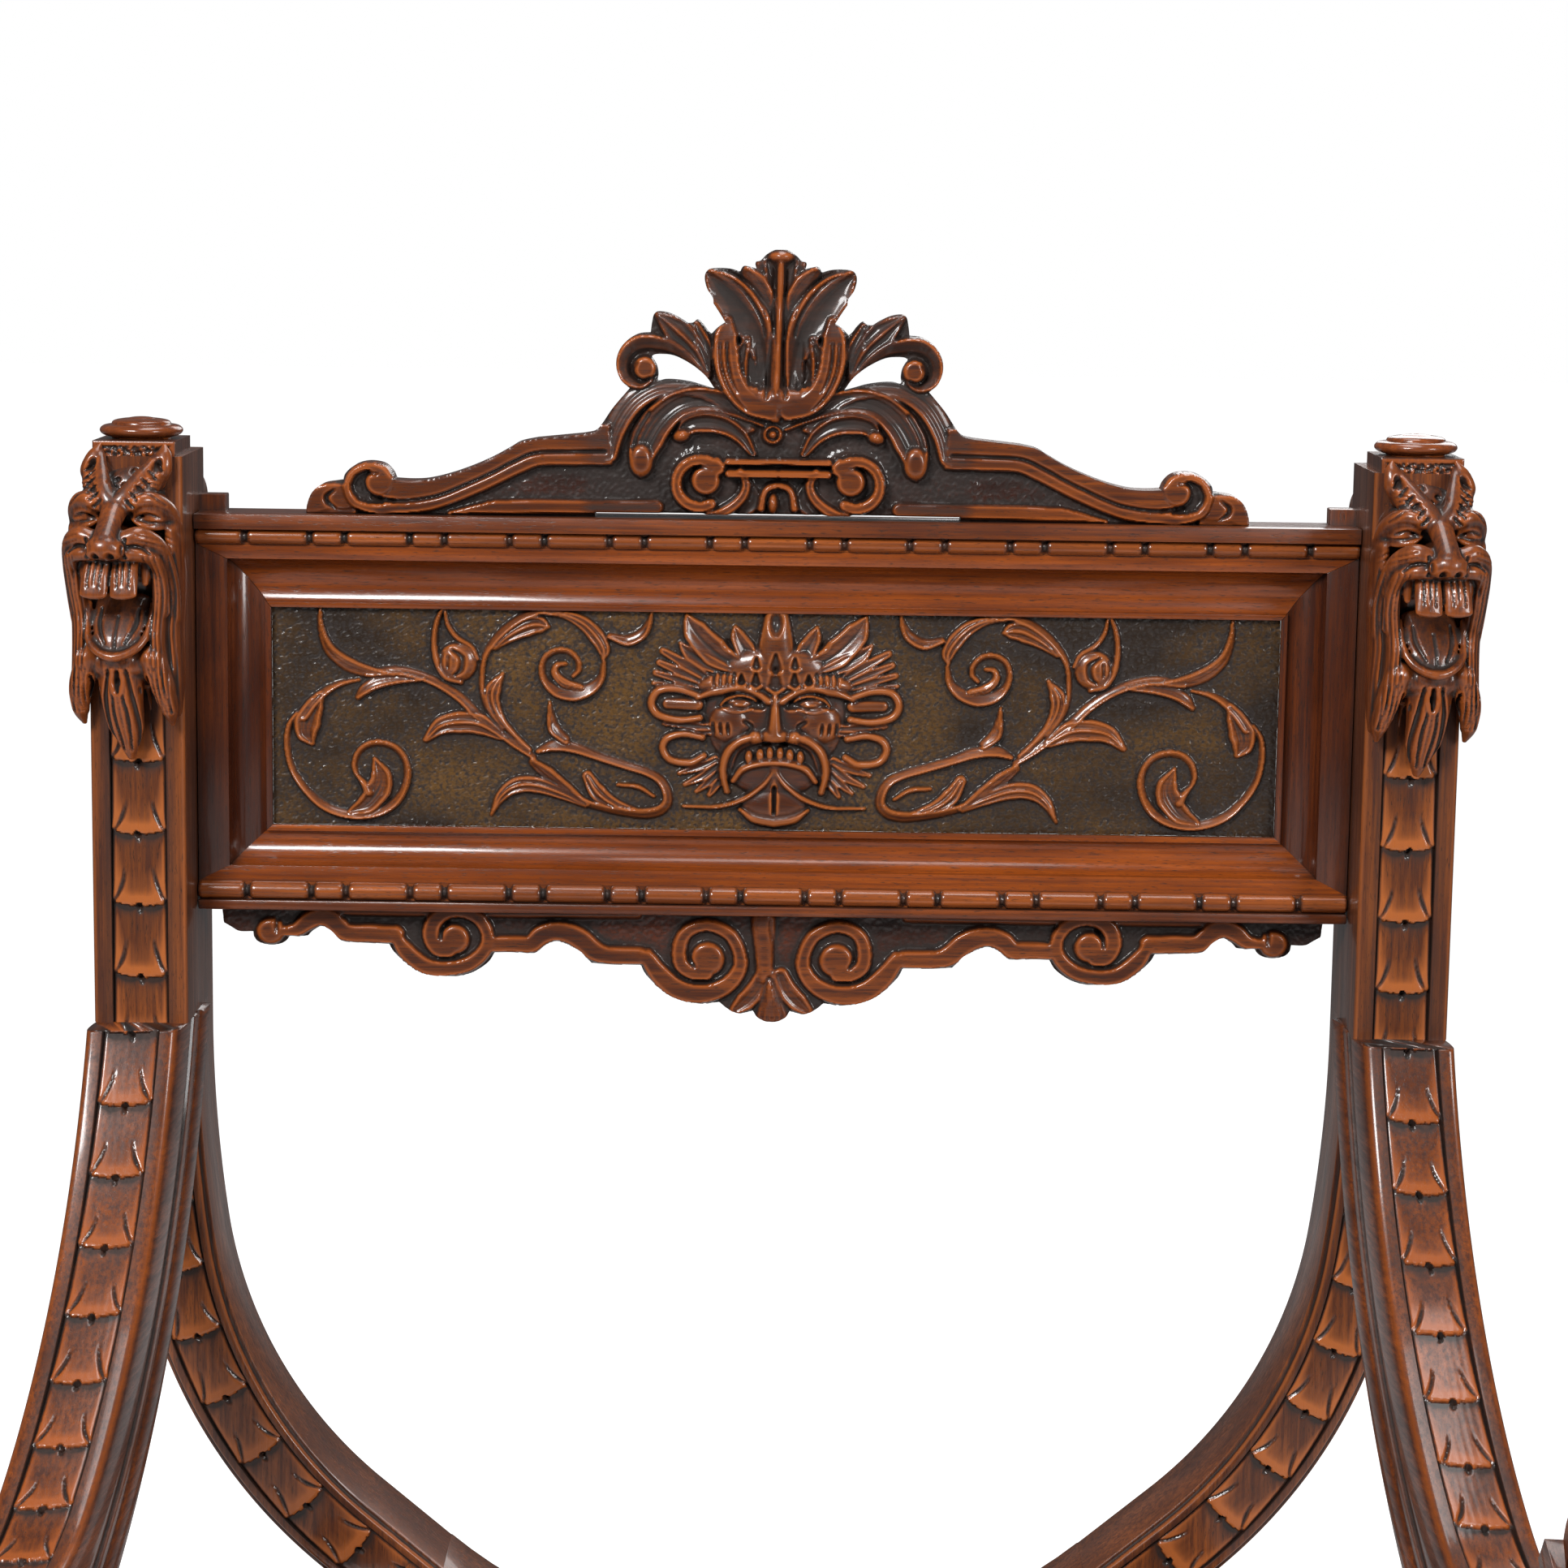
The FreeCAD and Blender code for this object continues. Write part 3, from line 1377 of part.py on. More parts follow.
def crest():
    """Pierced and scrolled cresting that stands on the fascia."""
    ground = crest_rear_y - crest_plate
    body = front_plate(crest_outline(), ground, crest_rear_y)
    raised = []
    for foot_x, foot_z, tip_x, tip_z, wide in crest_leaf_shares:
        raised.append(leaf(crest_point(foot_x, foot_z), crest_point(tip_x, tip_z), wide * crest_height,
                           crest_front_y, ground + cut_overrun))
    disc = crest_point(*crest_disc_spot_share)
    raised.append(rod(crest_disc_radius, FreeCAD.Vector(disc[0], ground - crest_relief, disc[1]),
                      FreeCAD.Vector(disc[0], ground + cut_overrun, disc[1])))
    volute = crest_point(*crest_volute_spot_share)
    axis = FreeCAD.Vector(volute[0], ground + cut_overrun, volute[1])
    front = FreeCAD.Vector(volute[0], ground - crest_volute_proud, volute[1])
    raised.append(rod(crest_volute_radius, front, axis).cut(rod(crest_volute_radius - crest_relief, front,
                  front + FreeCAD.Vector(0, crest_relief, 0))))
    raised.append(rod(crest_volute_eye, front, axis))
    raised += [crest_wing_band(ground)]
    raised += [mirrored(shape) for shape in raised]
    bar_z = crest_point(0.0, crest_bar_foot_share)[1]
    raised.append(box(-crest_bar_half, crest_bar_half, ground - crest_relief, ground + cut_overrun, bar_z,
                      bar_z + crest_bar_height))
    knob = crest_point(0.0, crest_knob_share)
    raised.append(Part.makeSphere(crest_knob_radius, FreeCAD.Vector(0, ground - crest_relief, knob[1])))
    body = body.multiFuse(raised).cut(crest_void().fuse(mirrored(crest_void())))
    slit = box(-crest_slit_half_width, crest_slit_half_width, crest_front_y - cut_overrun,
               crest_rear_y + cut_overrun, crest_foot_z - cut_overrun, crest_foot_z + crest_slit)
    under = box(-crest_half_width, crest_half_width, crest_front_y - cut_overrun, crest_rear_y + cut_overrun,
                crest_foot_z - crest_volute_radius, crest_foot_z)
    return body.cut(slit.fuse(under)).cut(crest_dowels(joint_clearance))


def crest_wing_band(ground):
    """Moulded band along the top edge of a wing."""
    upper = []
    lower = []
    for share in crest_wing_shares:
        point = crest_point(share[0], share[1])
        upper.append(point if len(share) == 2 else point + crest_point(share[2], share[3]))
        end = upper[-1][-2:]
        lower.insert(0, (end[0] - crest_band / 4, end[1] - crest_band))
    return front_plate(closed(upper + lower), ground - crest_relief, ground + cut_overrun)


def crest_dowels(clearance):
    """Dowels between the fascia and the crest's wings."""
    y = (crest_rear_y + crest_rear_y - crest_plate) / 2
    dowels = []
    for x in (-crest_dowel_x, crest_dowel_x):
        foot = FreeCAD.Vector(x, y, fascia_z + joint_clearance - clearance)
        top = FreeCAD.Vector(x, y, fascia_z + crest_dowel_length + clearance)
        dowels.append(rod(crest_dowel_radius + clearance, foot, top))
    return Part.makeCompound(dowels)


def apron_point(x_share, drop_share):
    """A place on the apron from its shares."""
    return x_share * apron_half_width, back_foot_z - drop_share * apron_drop


def apron_outline():
    """Whole edge of the apron."""
    right = []
    for share in apron_edge_shares:
        point = apron_point(share[0], share[1])
        right.append(point if len(share) == 2 else point + apron_point(share[2], share[3]))
    left = []
    ends = [point[-2:] for point in right]
    for index in range(len(right) - 1, 0, -1):
        end = (-ends[index - 1][0], ends[index - 1][1])
        middle = right[index][:2]
        left.append(end if len(right[index]) == 2 else (-middle[0], middle[1]) + end)
    return closed(right + left)


def apron_scroll(x_share, drop_share, radius):
    """Raised scroll on the apron's face."""
    x, z = apron_point(x_share, drop_share)
    front = FreeCAD.Vector(x, apron_front_y, z)
    inwards = FreeCAD.Vector(0, 1, 0)
    outer = rod(radius, front, front + inwards * (apron_ground + apron_scroll_groove))
    ring = rod(radius - apron_scroll_groove, front - inwards * cut_overrun, front + inwards * apron_ground)
    ring = ring.cut(rod(radius * apron_scroll_eye_share, front - inwards * cut_overrun,
                        front + inwards * apron_ground))
    return outer.cut(ring)


def apron():
    """Scroll-cut apron under the back panel."""
    body = front_plate(apron_outline(), apron_front_y + apron_ground, apron_rear_y)
    raised = [box(0.0, apron_half_width, apron_front_y, apron_front_y + apron_ground + apron_fillet,
                  back_foot_z - apron_fillet, back_foot_z)]
    raised.append(apron_scroll(*apron_outer_scroll_share, apron_outer_scroll_radius))
    raised.append(apron_scroll(*apron_inner_scroll_share, apron_inner_scroll_radius))
    raised += [mirrored(shape) for shape in raised]
    half = apron_pendant_width / 2
    raised.append(box(-half, half, apron_front_y, apron_front_y + apron_ground + apron_fillet,
                      back_foot_z - apron_drop + half, back_foot_z))
    above = box(-apron_half_width, apron_half_width, apron_front_y - cut_overrun, apron_rear_y + cut_overrun,
                back_foot_z, back_foot_z + apron_drop)
    return body.multiFuse(raised).cut(above)


def write_frame():
    """Pieces of the standing frame."""
    for name, pair in (("rear", rear_bars()), ("front", front_bars())):
        save(name + "_left_bar", pair[0])
        save(name + "_right_bar", pair[1])
    sided = (("foot_rail", foot_rail()), ("seat_rail", seat_rail()), ("arm", arm()), ("arm_head", arm_head()),
             ("finial", finial()))
    for name, shape in sided:
        save("left_" + name, shape)
        save("right_" + name, mirrored(shape))
    save("crossing_stretcher", stretcher())
    save("front_rosette", rosette(front_bar_front_y, -1))
    save("rear_rosette", rosette(rear_bar_front_y + rear_bar_depth, 1))
    front_rail_y, rear_rail_y = cross_rail_places()
    save("front_seat_rail", cross_rail(front_rail_y))
    save("rear_seat_rail", cross_rail(rear_rail_y))
    for index in range(seat_boards):
        save("seat_board_" + str(index + 1), seat_board(index))
    save("seat_pegs", seat_pegs(0.0))
    save("arm_dowels", arm_dowels())
    save("post_dowels", Part.makeCompound(post_dowels(-1, 0.0).Solids + post_dowels(1, 0.0).Solids))


def write_back():
    """Pieces of the back, which lifts out as one."""
    top, bottom, left = frame_rails()
    save("frame_top_rail", top)
    save("frame_bottom_rail", bottom)
    save("frame_left_stile", left)
    save("frame_right_stile", mirrored(left))
    save("field_board", field_board())
    save("bottom_bead", bead_strip(bottom_bead_z, bottom_bead_height))
    save("top_bead", bead_strip(top_bead_z, top_bead_height))
    save("base_fillet", back_strip(back_foot_z, base_fillet_height, base_overhang))
    fascia = back_strip(fascia_z, fascia_height, fascia_overhang)
    save("top_fascia", fascia.cut(crest_dowels(joint_clearance)))
    save("crest", crest())
    save("apron", apron())
    save("crest_dowels", crest_dowels(0.0))
    save("left_tongue", back_tongue(0.0))
    save("right_tongue", mirrored(back_tongue(0.0)))


os.makedirs("parts", exist_ok=True)
write_frame()
write_back()
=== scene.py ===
import json
import math

import bpy
import numpy as np
from mathutils import Euler, Matrix, Vector

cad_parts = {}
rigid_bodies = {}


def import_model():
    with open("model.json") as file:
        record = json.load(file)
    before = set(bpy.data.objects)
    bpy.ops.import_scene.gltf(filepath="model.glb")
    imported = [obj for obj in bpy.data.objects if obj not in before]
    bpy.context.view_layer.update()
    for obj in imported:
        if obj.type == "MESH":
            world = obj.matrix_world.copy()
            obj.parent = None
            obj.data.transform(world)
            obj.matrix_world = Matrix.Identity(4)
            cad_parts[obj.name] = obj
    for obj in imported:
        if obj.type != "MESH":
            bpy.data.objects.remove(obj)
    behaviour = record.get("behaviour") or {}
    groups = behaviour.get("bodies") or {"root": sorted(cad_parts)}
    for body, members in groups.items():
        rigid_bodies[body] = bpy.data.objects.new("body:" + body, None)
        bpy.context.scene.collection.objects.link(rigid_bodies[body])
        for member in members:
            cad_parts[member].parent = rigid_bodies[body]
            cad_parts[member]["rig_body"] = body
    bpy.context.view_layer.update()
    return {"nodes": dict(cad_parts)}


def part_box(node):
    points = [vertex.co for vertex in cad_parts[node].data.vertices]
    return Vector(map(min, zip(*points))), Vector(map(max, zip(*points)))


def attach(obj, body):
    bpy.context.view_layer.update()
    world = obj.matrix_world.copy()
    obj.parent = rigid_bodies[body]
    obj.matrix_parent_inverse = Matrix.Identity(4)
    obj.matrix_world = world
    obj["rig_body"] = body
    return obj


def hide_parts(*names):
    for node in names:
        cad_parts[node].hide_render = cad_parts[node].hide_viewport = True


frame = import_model()
MM = 0.001
SEAM = 0.00002


# ---------------------------------------------------------------- finishes

def wire(tree, source, target):
    """Joins one socket to another."""
    tree.links.new(source, target)


def put(tree, kind, **values):
    """Adds a shader node and sets its own values."""
    node = tree.nodes.new(kind)
    for name, value in values.items():
        setattr(node, name, value)
    return node


def blend(tree, share, first, second, mode="MIX"):
    """Mixes two colours; each may be a socket or a colour."""
    node = put(tree, "ShaderNodeMix", data_type="RGBA", blend_type=mode)
    for slot_index, value in ((0, share), (6, first), (7, second)):
        if isinstance(value, bpy.types.NodeSocket):
            wire(tree, value, node.inputs[slot_index])
        else:
            node.inputs[slot_index].default_value = value
    return node.outputs[2]


def spread(tree, value, low, high, to_low=0.0, to_high=1.0):
    """Maps a value from one range to another and clamps it."""
    node = put(tree, "ShaderNodeMapRange")
    wire(tree, value, node.inputs["Value"])
    for name, number in (("From Min", low), ("From Max", high), ("To Min", to_low), ("To Max", to_high)):
        node.inputs[name].default_value = number
    return node.outputs["Result"]


def maths(tree, operation, first, second):
    """One sum on two values."""
    node = put(tree, "ShaderNodeMath", operation=operation)
    for index, value in enumerate((first, second)):
        if isinstance(value, bpy.types.NodeSocket):
            wire(tree, value, node.inputs[index])
        else:
            node.inputs[index].default_value = value
    return node.outputs[0]


def grain_coordinates(tree, along):
    """Object coordinates turned so that their X runs with the grain."""
    coordinates = put(tree, "ShaderNodeTexCoord")
    turned = put(tree, "ShaderNodeMapping")
    turned.inputs["Rotation"].default_value = {
        "x": (0, 0, 0), "y": (0, 0, math.radians(-90)), "z": (0, math.radians(90), 0)}[along]
    wire(tree, coordinates.outputs["Object"], turned.inputs["Vector"])
    return turned.outputs["Vector"]


def stretched_noise(tree, vector, along, across, detail=3.0, roughness=0.55):
    """Noise that is drawn out along the grain."""
    scaled = put(tree, "ShaderNodeMapping")
    scaled.inputs["Scale"].default_value = (along, across, across)
    wire(tree, vector, scaled.inputs["Vector"])
    noise = put(tree, "ShaderNodeTexNoise")
    noise.inputs["Scale"].default_value = 1.0
    noise.inputs["Detail"].default_value = detail
    noise.inputs["Roughness"].default_value = roughness
    wire(tree, scaled.outputs["Vector"], noise.inputs["Vector"])
    return noise.outputs["Fac"]


def tinted(colour, red, green, blue):
    """A colour with each of its parts scaled."""
    return colour[0] * red, colour[1] * green, colour[2] * blue, 1


# Noise patterns of the wood: scale along the grain, scale across it, detail and roughness.
STREAKS, FIGURE, CLOUD = (14.0, 480.0, 4.0, 0.7), (5.0, 42.0, 2.0), (7.0, 15.0, 2.0)
PORES, MOTTLE, GRIME = (190.0, 1500.0, 2.0, 0.7), (24.0, 62.0, 2.0), (60.0, 120.0, 3.0)
STAIN, FLECKS, RIPPLE = (11.0, 16.0, 3.0), (520.0, 760.0, 2.0), (40.0, 160.0, 3.0)
CORNER_REACH = 0.006
PORE_BROWN, FLECK_BROWN = (0.02, 0.012, 0.009, 1), (0.02, 0.014, 0.011, 1)
OLIVE_GROUND = ((0.02, 0.011, 0.006, 1), (0.105, 0.05, 0.012, 1))
UMBER_GROUND = ((0.018, 0.007, 0.005, 1), (0.085, 0.0205, 0.0085, 1))


def polished_walnut(name, along, light, dark, dirt=(0.0145, 0.0078, 0.0056, 1), gloss=0.3, patches=0.55,
                    corner_dirt=0.0, stippled=None):
    """French-polished walnut: streaky grain, short dark pores, dirt and painted shade in the hollows, and rubbed
    arrises with a painted highlight.
    """
    material = bpy.data.materials.new(name)
    material.use_nodes = True
    tree = material.node_tree
    shader = tree.nodes["Principled BSDF"]
    vector = grain_coordinates(tree, along)

    streaks = stretched_noise(tree, vector, *STREAKS)
    figure = stretched_noise(tree, vector, *FIGURE)
    cloud = stretched_noise(tree, vector, *CLOUD)
    pores = stretched_noise(tree, vector, *PORES)
    mottle = stretched_noise(tree, vector, *MOTTLE)
    wood = blend(tree, spread(tree, streaks, 0.36, 0.64), dark, light)
    wood = blend(tree, spread(tree, figure, 0.42, 0.75, 0.0, 0.55), wood, tinted(dark, 0.5, 0.45, 0.45))
    wood = blend(tree, spread(tree, cloud, 0.42, 0.68, 0.0, patches), wood, tinted(dark, 0.42, 0.36, 0.4))
    wood = blend(tree, spread(tree, mottle, 0.48, 0.72, 0.0, patches * 0.75), wood, tinted(dark, 0.5, 0.45, 0.5))
    pore_share = spread(tree, pores, 0.58, 0.68, 0.0, 0.7)
    wood = blend(tree, pore_share, wood, PORE_BROWN)

    recess = put(tree, "ShaderNodeAttribute", attribute_name="recess").outputs["Fac"]
    # Hollows darken by the recess value: dirt and painted shade.
    hollow = spread(tree, recess, 0.0, 0.26)
    # Where the recess value is below nought the wood turns lighter: rubbed wear and a painted highlight.
    rubbed_and_lit = spread(tree, recess, -0.02, -0.24, 0.0, 0.8)
    # Ambient occlusion darkens inner corners: painted shade together with dirt.
    if corner_dirt:
        corner = put(tree, "ShaderNodeAmbientOcclusion", samples=6)
        corner.inputs["Distance"].default_value = corner_dirt
        shaded = spread(tree, corner.outputs["AO"], 0.42, 0.8, 0.85, 0.0)
        hollow = maths(tree, "MAXIMUM", hollow, shaded)
    grime = stretched_noise(tree, vector, *GRIME)
    hollow = maths(tree, "MULTIPLY", hollow, spread(tree, grime, 0.2, 0.6, 0.7, 1.0))
    wood = blend(tree, rubbed_and_lit, wood, tinted(light, 1.5, 1.5, 1.4))
    rough = spread(tree, streaks, 0.3, 0.7, gloss + 0.08, gloss - 0.05)

    if stippled:
        ground = put(tree, "ShaderNodeAttribute", attribute_name="ground").outputs["Fac"]
        stain = blend(tree, spread(tree, stretched_noise(tree, vector, *STAIN), 0.4, 0.62), *stippled)
        flecks = spread(tree, stretched_noise(tree, vector, *FLECKS), 0.45, 0.66, 0.0, 0.6)
        stain = blend(tree, flecks, stain, FLECK_BROWN)
        wood = blend(tree, ground, wood, stain)
    # Hollows take the near-black colour of dirt and painted shade.
    wood = blend(tree, hollow, wood, dirt)
    rough = maths(tree, "ADD", rough, spread(tree, hollow, 0.0, 1.0, 0.0, 0.3))

    wire(tree, wood, shader.inputs["Base Color"])
    wire(tree, rough, shader.inputs["Roughness"])
    for socket, value in (("Specular IOR Level", 0.35), ("Coat Weight", 0.5), ("Coat Roughness", 0.1),
                          ("Coat IOR", 1.45)):
        shader.inputs[socket].default_value = value

    ripple = stretched_noise(tree, vector, *RIPPLE)
    height = maths(tree, "SUBTRACT", maths(tree, "MULTIPLY", ripple, 0.5), maths(tree, "MULTIPLY", pore_share, 0.3))
    bump = put(tree, "ShaderNodeBump")
    bump.inputs["Strength"].default_value = 0.22
    bump.inputs["Distance"].default_value = 0.0006
    wire(tree, height, bump.inputs["Height"])
    wire(tree, bump.outputs["Normal"], shader.inputs["Normal"])
    return material


CARVED_LIGHT, CARVED_DARK = (0.225, 0.055, 0.011, 1), (0.062, 0.0158, 0.0064, 1)
carved_upright = polished_walnut("carved_walnut_upright", "z", CARVED_LIGHT, CARVED_DARK)
carved_bar = polished_walnut("carved_walnut_bar", "z", (0.285, 0.08, 0.02, 1), (0.086, 0.025, 0.0115, 1))
carved_arm = polished_walnut("carved_walnut_arm", "y", CARVED_LIGHT, CARVED_DARK)
carved_field = polished_walnut("carved_walnut_field", "x", (0.24, 0.066, 0.0145, 1), (0.08, 0.021, 0.008, 1),
                               stippled=OLIVE_GROUND)
carved_crest_walnut = polished_walnut("carved_walnut_crest", "x", CARVED_LIGHT, CARVED_DARK, stippled=UMBER_GROUND)
rail_walnut = polished_walnut("rail_walnut", "x", (0.34, 0.074, 0.0085, 1), (0.155, 0.032, 0.0055, 1), gloss=0.26,
                              patches=0.45, corner_dirt=CORNER_REACH)
stile_walnut = polished_walnut("stile_walnut", "z", (0.185, 0.043, 0.011, 1), (0.062, 0.0155, 0.007, 1), gloss=0.24,
                               patches=0.7, corner_dirt=CORNER_REACH)
bead_walnut = polished_walnut("bead_walnut", "x", (0.33, 0.083, 0.016, 1), (0.13, 0.031, 0.008, 1), gloss=0.22,
                              patches=0.35)
PLAIN_LIGHT, PLAIN_DARK = (0.23, 0.055, 0.012, 1), (0.085, 0.0205, 0.007, 1)
turned_walnut = polished_walnut("turned_walnut", "x", PLAIN_LIGHT, PLAIN_DARK, gloss=0.22)
plain_across = polished_walnut("plain_walnut_across", "x", PLAIN_LIGHT, PLAIN_DARK, corner_dirt=CORNER_REACH)
plain_along = polished_walnut("plain_walnut_along", "y", PLAIN_LIGHT, PLAIN_DARK, corner_dirt=CORNER_REACH)
plain_upright = polished_walnut("plain_walnut_upright", "z", PLAIN_LIGHT, PLAIN_DARK, corner_dirt=CORNER_REACH)


# ---------------------------------------------------------------- pieces from the joiner's solids

def alone(piece):
    """Selects one piece and nothing else."""
    bpy.ops.object.select_all(action="DESELECT")
    piece.select_set(True)
    bpy.context.view_layer.objects.active = piece


def edit(piece):
    """Opens a piece in Edit Mode with all of it selected."""
    alone(piece)
    bpy.ops.object.mode_set(mode="EDIT")
    bpy.ops.mesh.select_all(action="SELECT")


def leave_edit():
    """Goes back to Object Mode."""
    bpy.ops.object.mode_set(mode="OBJECT")


def select_open_edges():
    """Selects the edges round the openings of the piece in Edit Mode."""
    bpy.ops.mesh.select_mode(type="EDGE")
    bpy.ops.mesh.select_all(action="DESELECT")
    bpy.ops.mesh.select_non_manifold(extend=False, use_wire=False, use_multi_face=False,
                                     use_non_contiguous=False, use_verts=False)


def face_outwards():
    """Turns all faces of the piece in Edit Mode outwards and leaves it."""
    bpy.ops.mesh.select_all(action="SELECT")
    bpy.ops.mesh.normals_make_consistent(inside=False)
    bpy.ops.mesh.select_mode(type="VERT")
    leave_edit()


def finished(piece, body, material, slot, *nodes):
    """Gives a piece its finish and its place in the chair."""
    piece.data.materials.clear()
    piece.data.materials.append(material)
    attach(piece, body)
    if nodes:
        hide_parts(*nodes)
    return piece


def body_of(node):
    """The body that a solid belongs to."""
    return frame["nodes"][node]["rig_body"]


def merged_copy(node, name):
    """A closed mesh with the solid's own shape."""
    source = frame["nodes"][node]
    piece = bpy.data.objects.new(name, source.data.copy())
    bpy.context.scene.collection.objects.link(piece)
    edit(piece)
    bpy.ops.mesh.remove_doubles(threshold=SEAM)
    bpy.ops.mesh.customdata_custom_splitnormals_clear()
    bpy.ops.mesh.dissolve_limited(angle_limit=math.radians(0.6))
    leave_edit()
    return piece


def ease(piece, width, segments=2, angle=32):
    """Rounds the arrises of a piece as handling does."""
    alone(piece)
    soft = piece.modifiers.new("eased", "BEVEL")
    soft.width = width
    soft.segments = segments
    soft.limit_method = "ANGLE"
    soft.angle_limit = math.radians(angle)
    soft.miter_outer = "MITER_ARC"
    bpy.ops.object.modifier_apply(modifier=soft.name)
    bpy.ops.object.shade_smooth_by_angle(angle=math.radians(28))
    return piece


def eased_piece(node, material, slot, width=0.0008, segments=2):
    """A plain piece with softened arrises in place of its solid."""
    piece = ease(merged_copy(node, node + "_eased"), width, segments)
    return finished(piece, body_of(node), material, slot, node)


for node in ("frame_top_rail", "frame_bottom_rail"):
    eased_piece(node, rail_walnut, "mouldings_walnut", 0.0006)
for node in ("frame_left_stile", "frame_right_stile"):
    eased_piece(node, stile_walnut, "mouldings_walnut", 0.0006)
for node in ("base_fillet", "top_fascia"):
    eased_piece(node, plain_across, "mouldings_walnut", 0.0009)
for node in ("left_tongue", "right_tongue"):
    eased_piece(node, plain_upright, "plain_walnut", 0.0005)
for node in ("left_foot_rail", "right_foot_rail", "left_seat_rail", "right_seat_rail"):
    eased_piece(node, plain_along, "plain_walnut", 0.0014, 3)
for node in ("front_seat_rail", "rear_seat_rail"):
    eased_piece(node, plain_across, "plain_walnut", 0.001)
for index in range(1, 5):
    eased_piece("seat_board_%d" % index, plain_across, "plain_walnut", 0.001)
for node in ("crossing_stretcher", "seat_pegs", "arm_dowels", "post_dowels", "crest_dowels"):
    frame["nodes"][node].data.materials.clear()
    frame["nodes"][node].data.materials.append(plain_along)


# ---------------------------------------------------------------- carving tools, in millimetres

def unit(angle):
    """Direction of a heading in radians."""
    return np.array((math.cos(angle), math.sin(angle)))


def walk(start, heading, steps, spacing):
    """Places and headings along lines (length) and arcs (radius, turn in degrees)."""
    places, headings = [], []
    point, heading = np.array(start, float), math.radians(heading)
    for step in steps:
        turn = math.radians(step[1]) if len(step) == 2 else 0.0
        length = step[0] * abs(turn) if turn else step[0]
        shares = np.arange(max(1, round(length / spacing))) / max(1, round(length / spacing))
        if turn:
            reach = math.copysign(step[0], turn)
            centre = point + unit(heading + math.pi / 2) * reach
            for share in shares:
                places.append(centre - unit(heading + turn * share + math.pi / 2) * reach)
                headings.append(heading + turn * share)
            heading += turn
            point = centre - unit(heading + math.pi / 2) * reach
        else:
            for share in shares:
                places.append(point + unit(heading) * length * share)
                headings.append(heading)
            point = point + unit(heading) * length
    places.append(point)
    headings.append(heading)
    return np.array(places), np.array(headings)


def blurred(height, reach):
    """Mean height round each place of a grid."""
    for axis in (0, 1):
        pad = [(0, 0), (0, 0)]
        pad[axis] = (reach + 1, reach)
        total = np.cumsum(np.pad(height, pad, mode="edge"), axis=axis)
        size = height.shape[axis]
        far = np.take(total, np.arange(size) + 2 * reach + 1, axis=axis)
        near = np.take(total, np.arange(size), axis=axis)
        height = (far - near) / (2 * reach + 1)
    return height


def hollows(height, *reaches):
    """How far each place lies below its surroundings."""
    return sum(blurred(blurred(height, reach), reach) - height for reach in reaches) / len(reaches)


def dirt_shade_wear_and_highlight(height, reaches, gain, wear_and_highlight=0.5):
    """Dirt and painted shade where a carving lies deep, and less than none on its edges: rubbed wear and a painted
    highlight.
    """
    return np.maximum(hollows(height, *reaches), 0) * gain + np.minimum(hollows(height, 2), 0) * wear_and_highlight


def grid_piece(name, points):
    """A grid shaped into a piece; points is rows by columns by xyz in millimetres."""
    rows, columns = points.shape[:2]
    bpy.ops.object.select_all(action="DESELECT")
    bpy.ops.mesh.primitive_grid_add(x_subdivisions=columns - 1, y_subdivisions=rows - 1, size=1)
    piece = bpy.context.object
    piece.name = name
    piece.data.vertices.foreach_set("co", (points * MM).astype(np.float32).ravel())
    for layer in list(piece.data.uv_layers):
        piece.data.uv_layers.remove(layer)
    return piece


def note(piece, name, values):
    """Stores one value for each point of a piece."""
    layer = piece.data.attributes.new(name, "FLOAT", "POINT")
    layer.data.foreach_set("value", np.asarray(values, np.float32).ravel())


def closed_up(piece, smooth=35):
    """Merges seams, fills open ends and turns the faces outwards."""
    edit(piece)
    bpy.ops.mesh.remove_doubles(threshold=SEAM)
    select_open_edges()
    bpy.ops.mesh.edge_face_add()
    face_outwards()
    bpy.ops.object.shade_smooth_by_angle(angle=math.radians(smooth))
    return piece


def cut_off(piece, point, outwards):
    """Cuts a piece flat at a plane and closes the cut."""
    edit(piece)
    bpy.ops.mesh.bisect(plane_co=tuple(c * MM for c in point), plane_no=outwards, use_fill=True, clear_outer=True)
    leave_edit()


# ---------------------------------------------------------------- scaled bars, arms and posts

SCALE_PITCH = 32.0
CHANNEL_DEPTH = 2.4
PATH_STEP, ACROSS_STEP = 0.72, 0.62
WHOLE_LENGTH = 10000.0


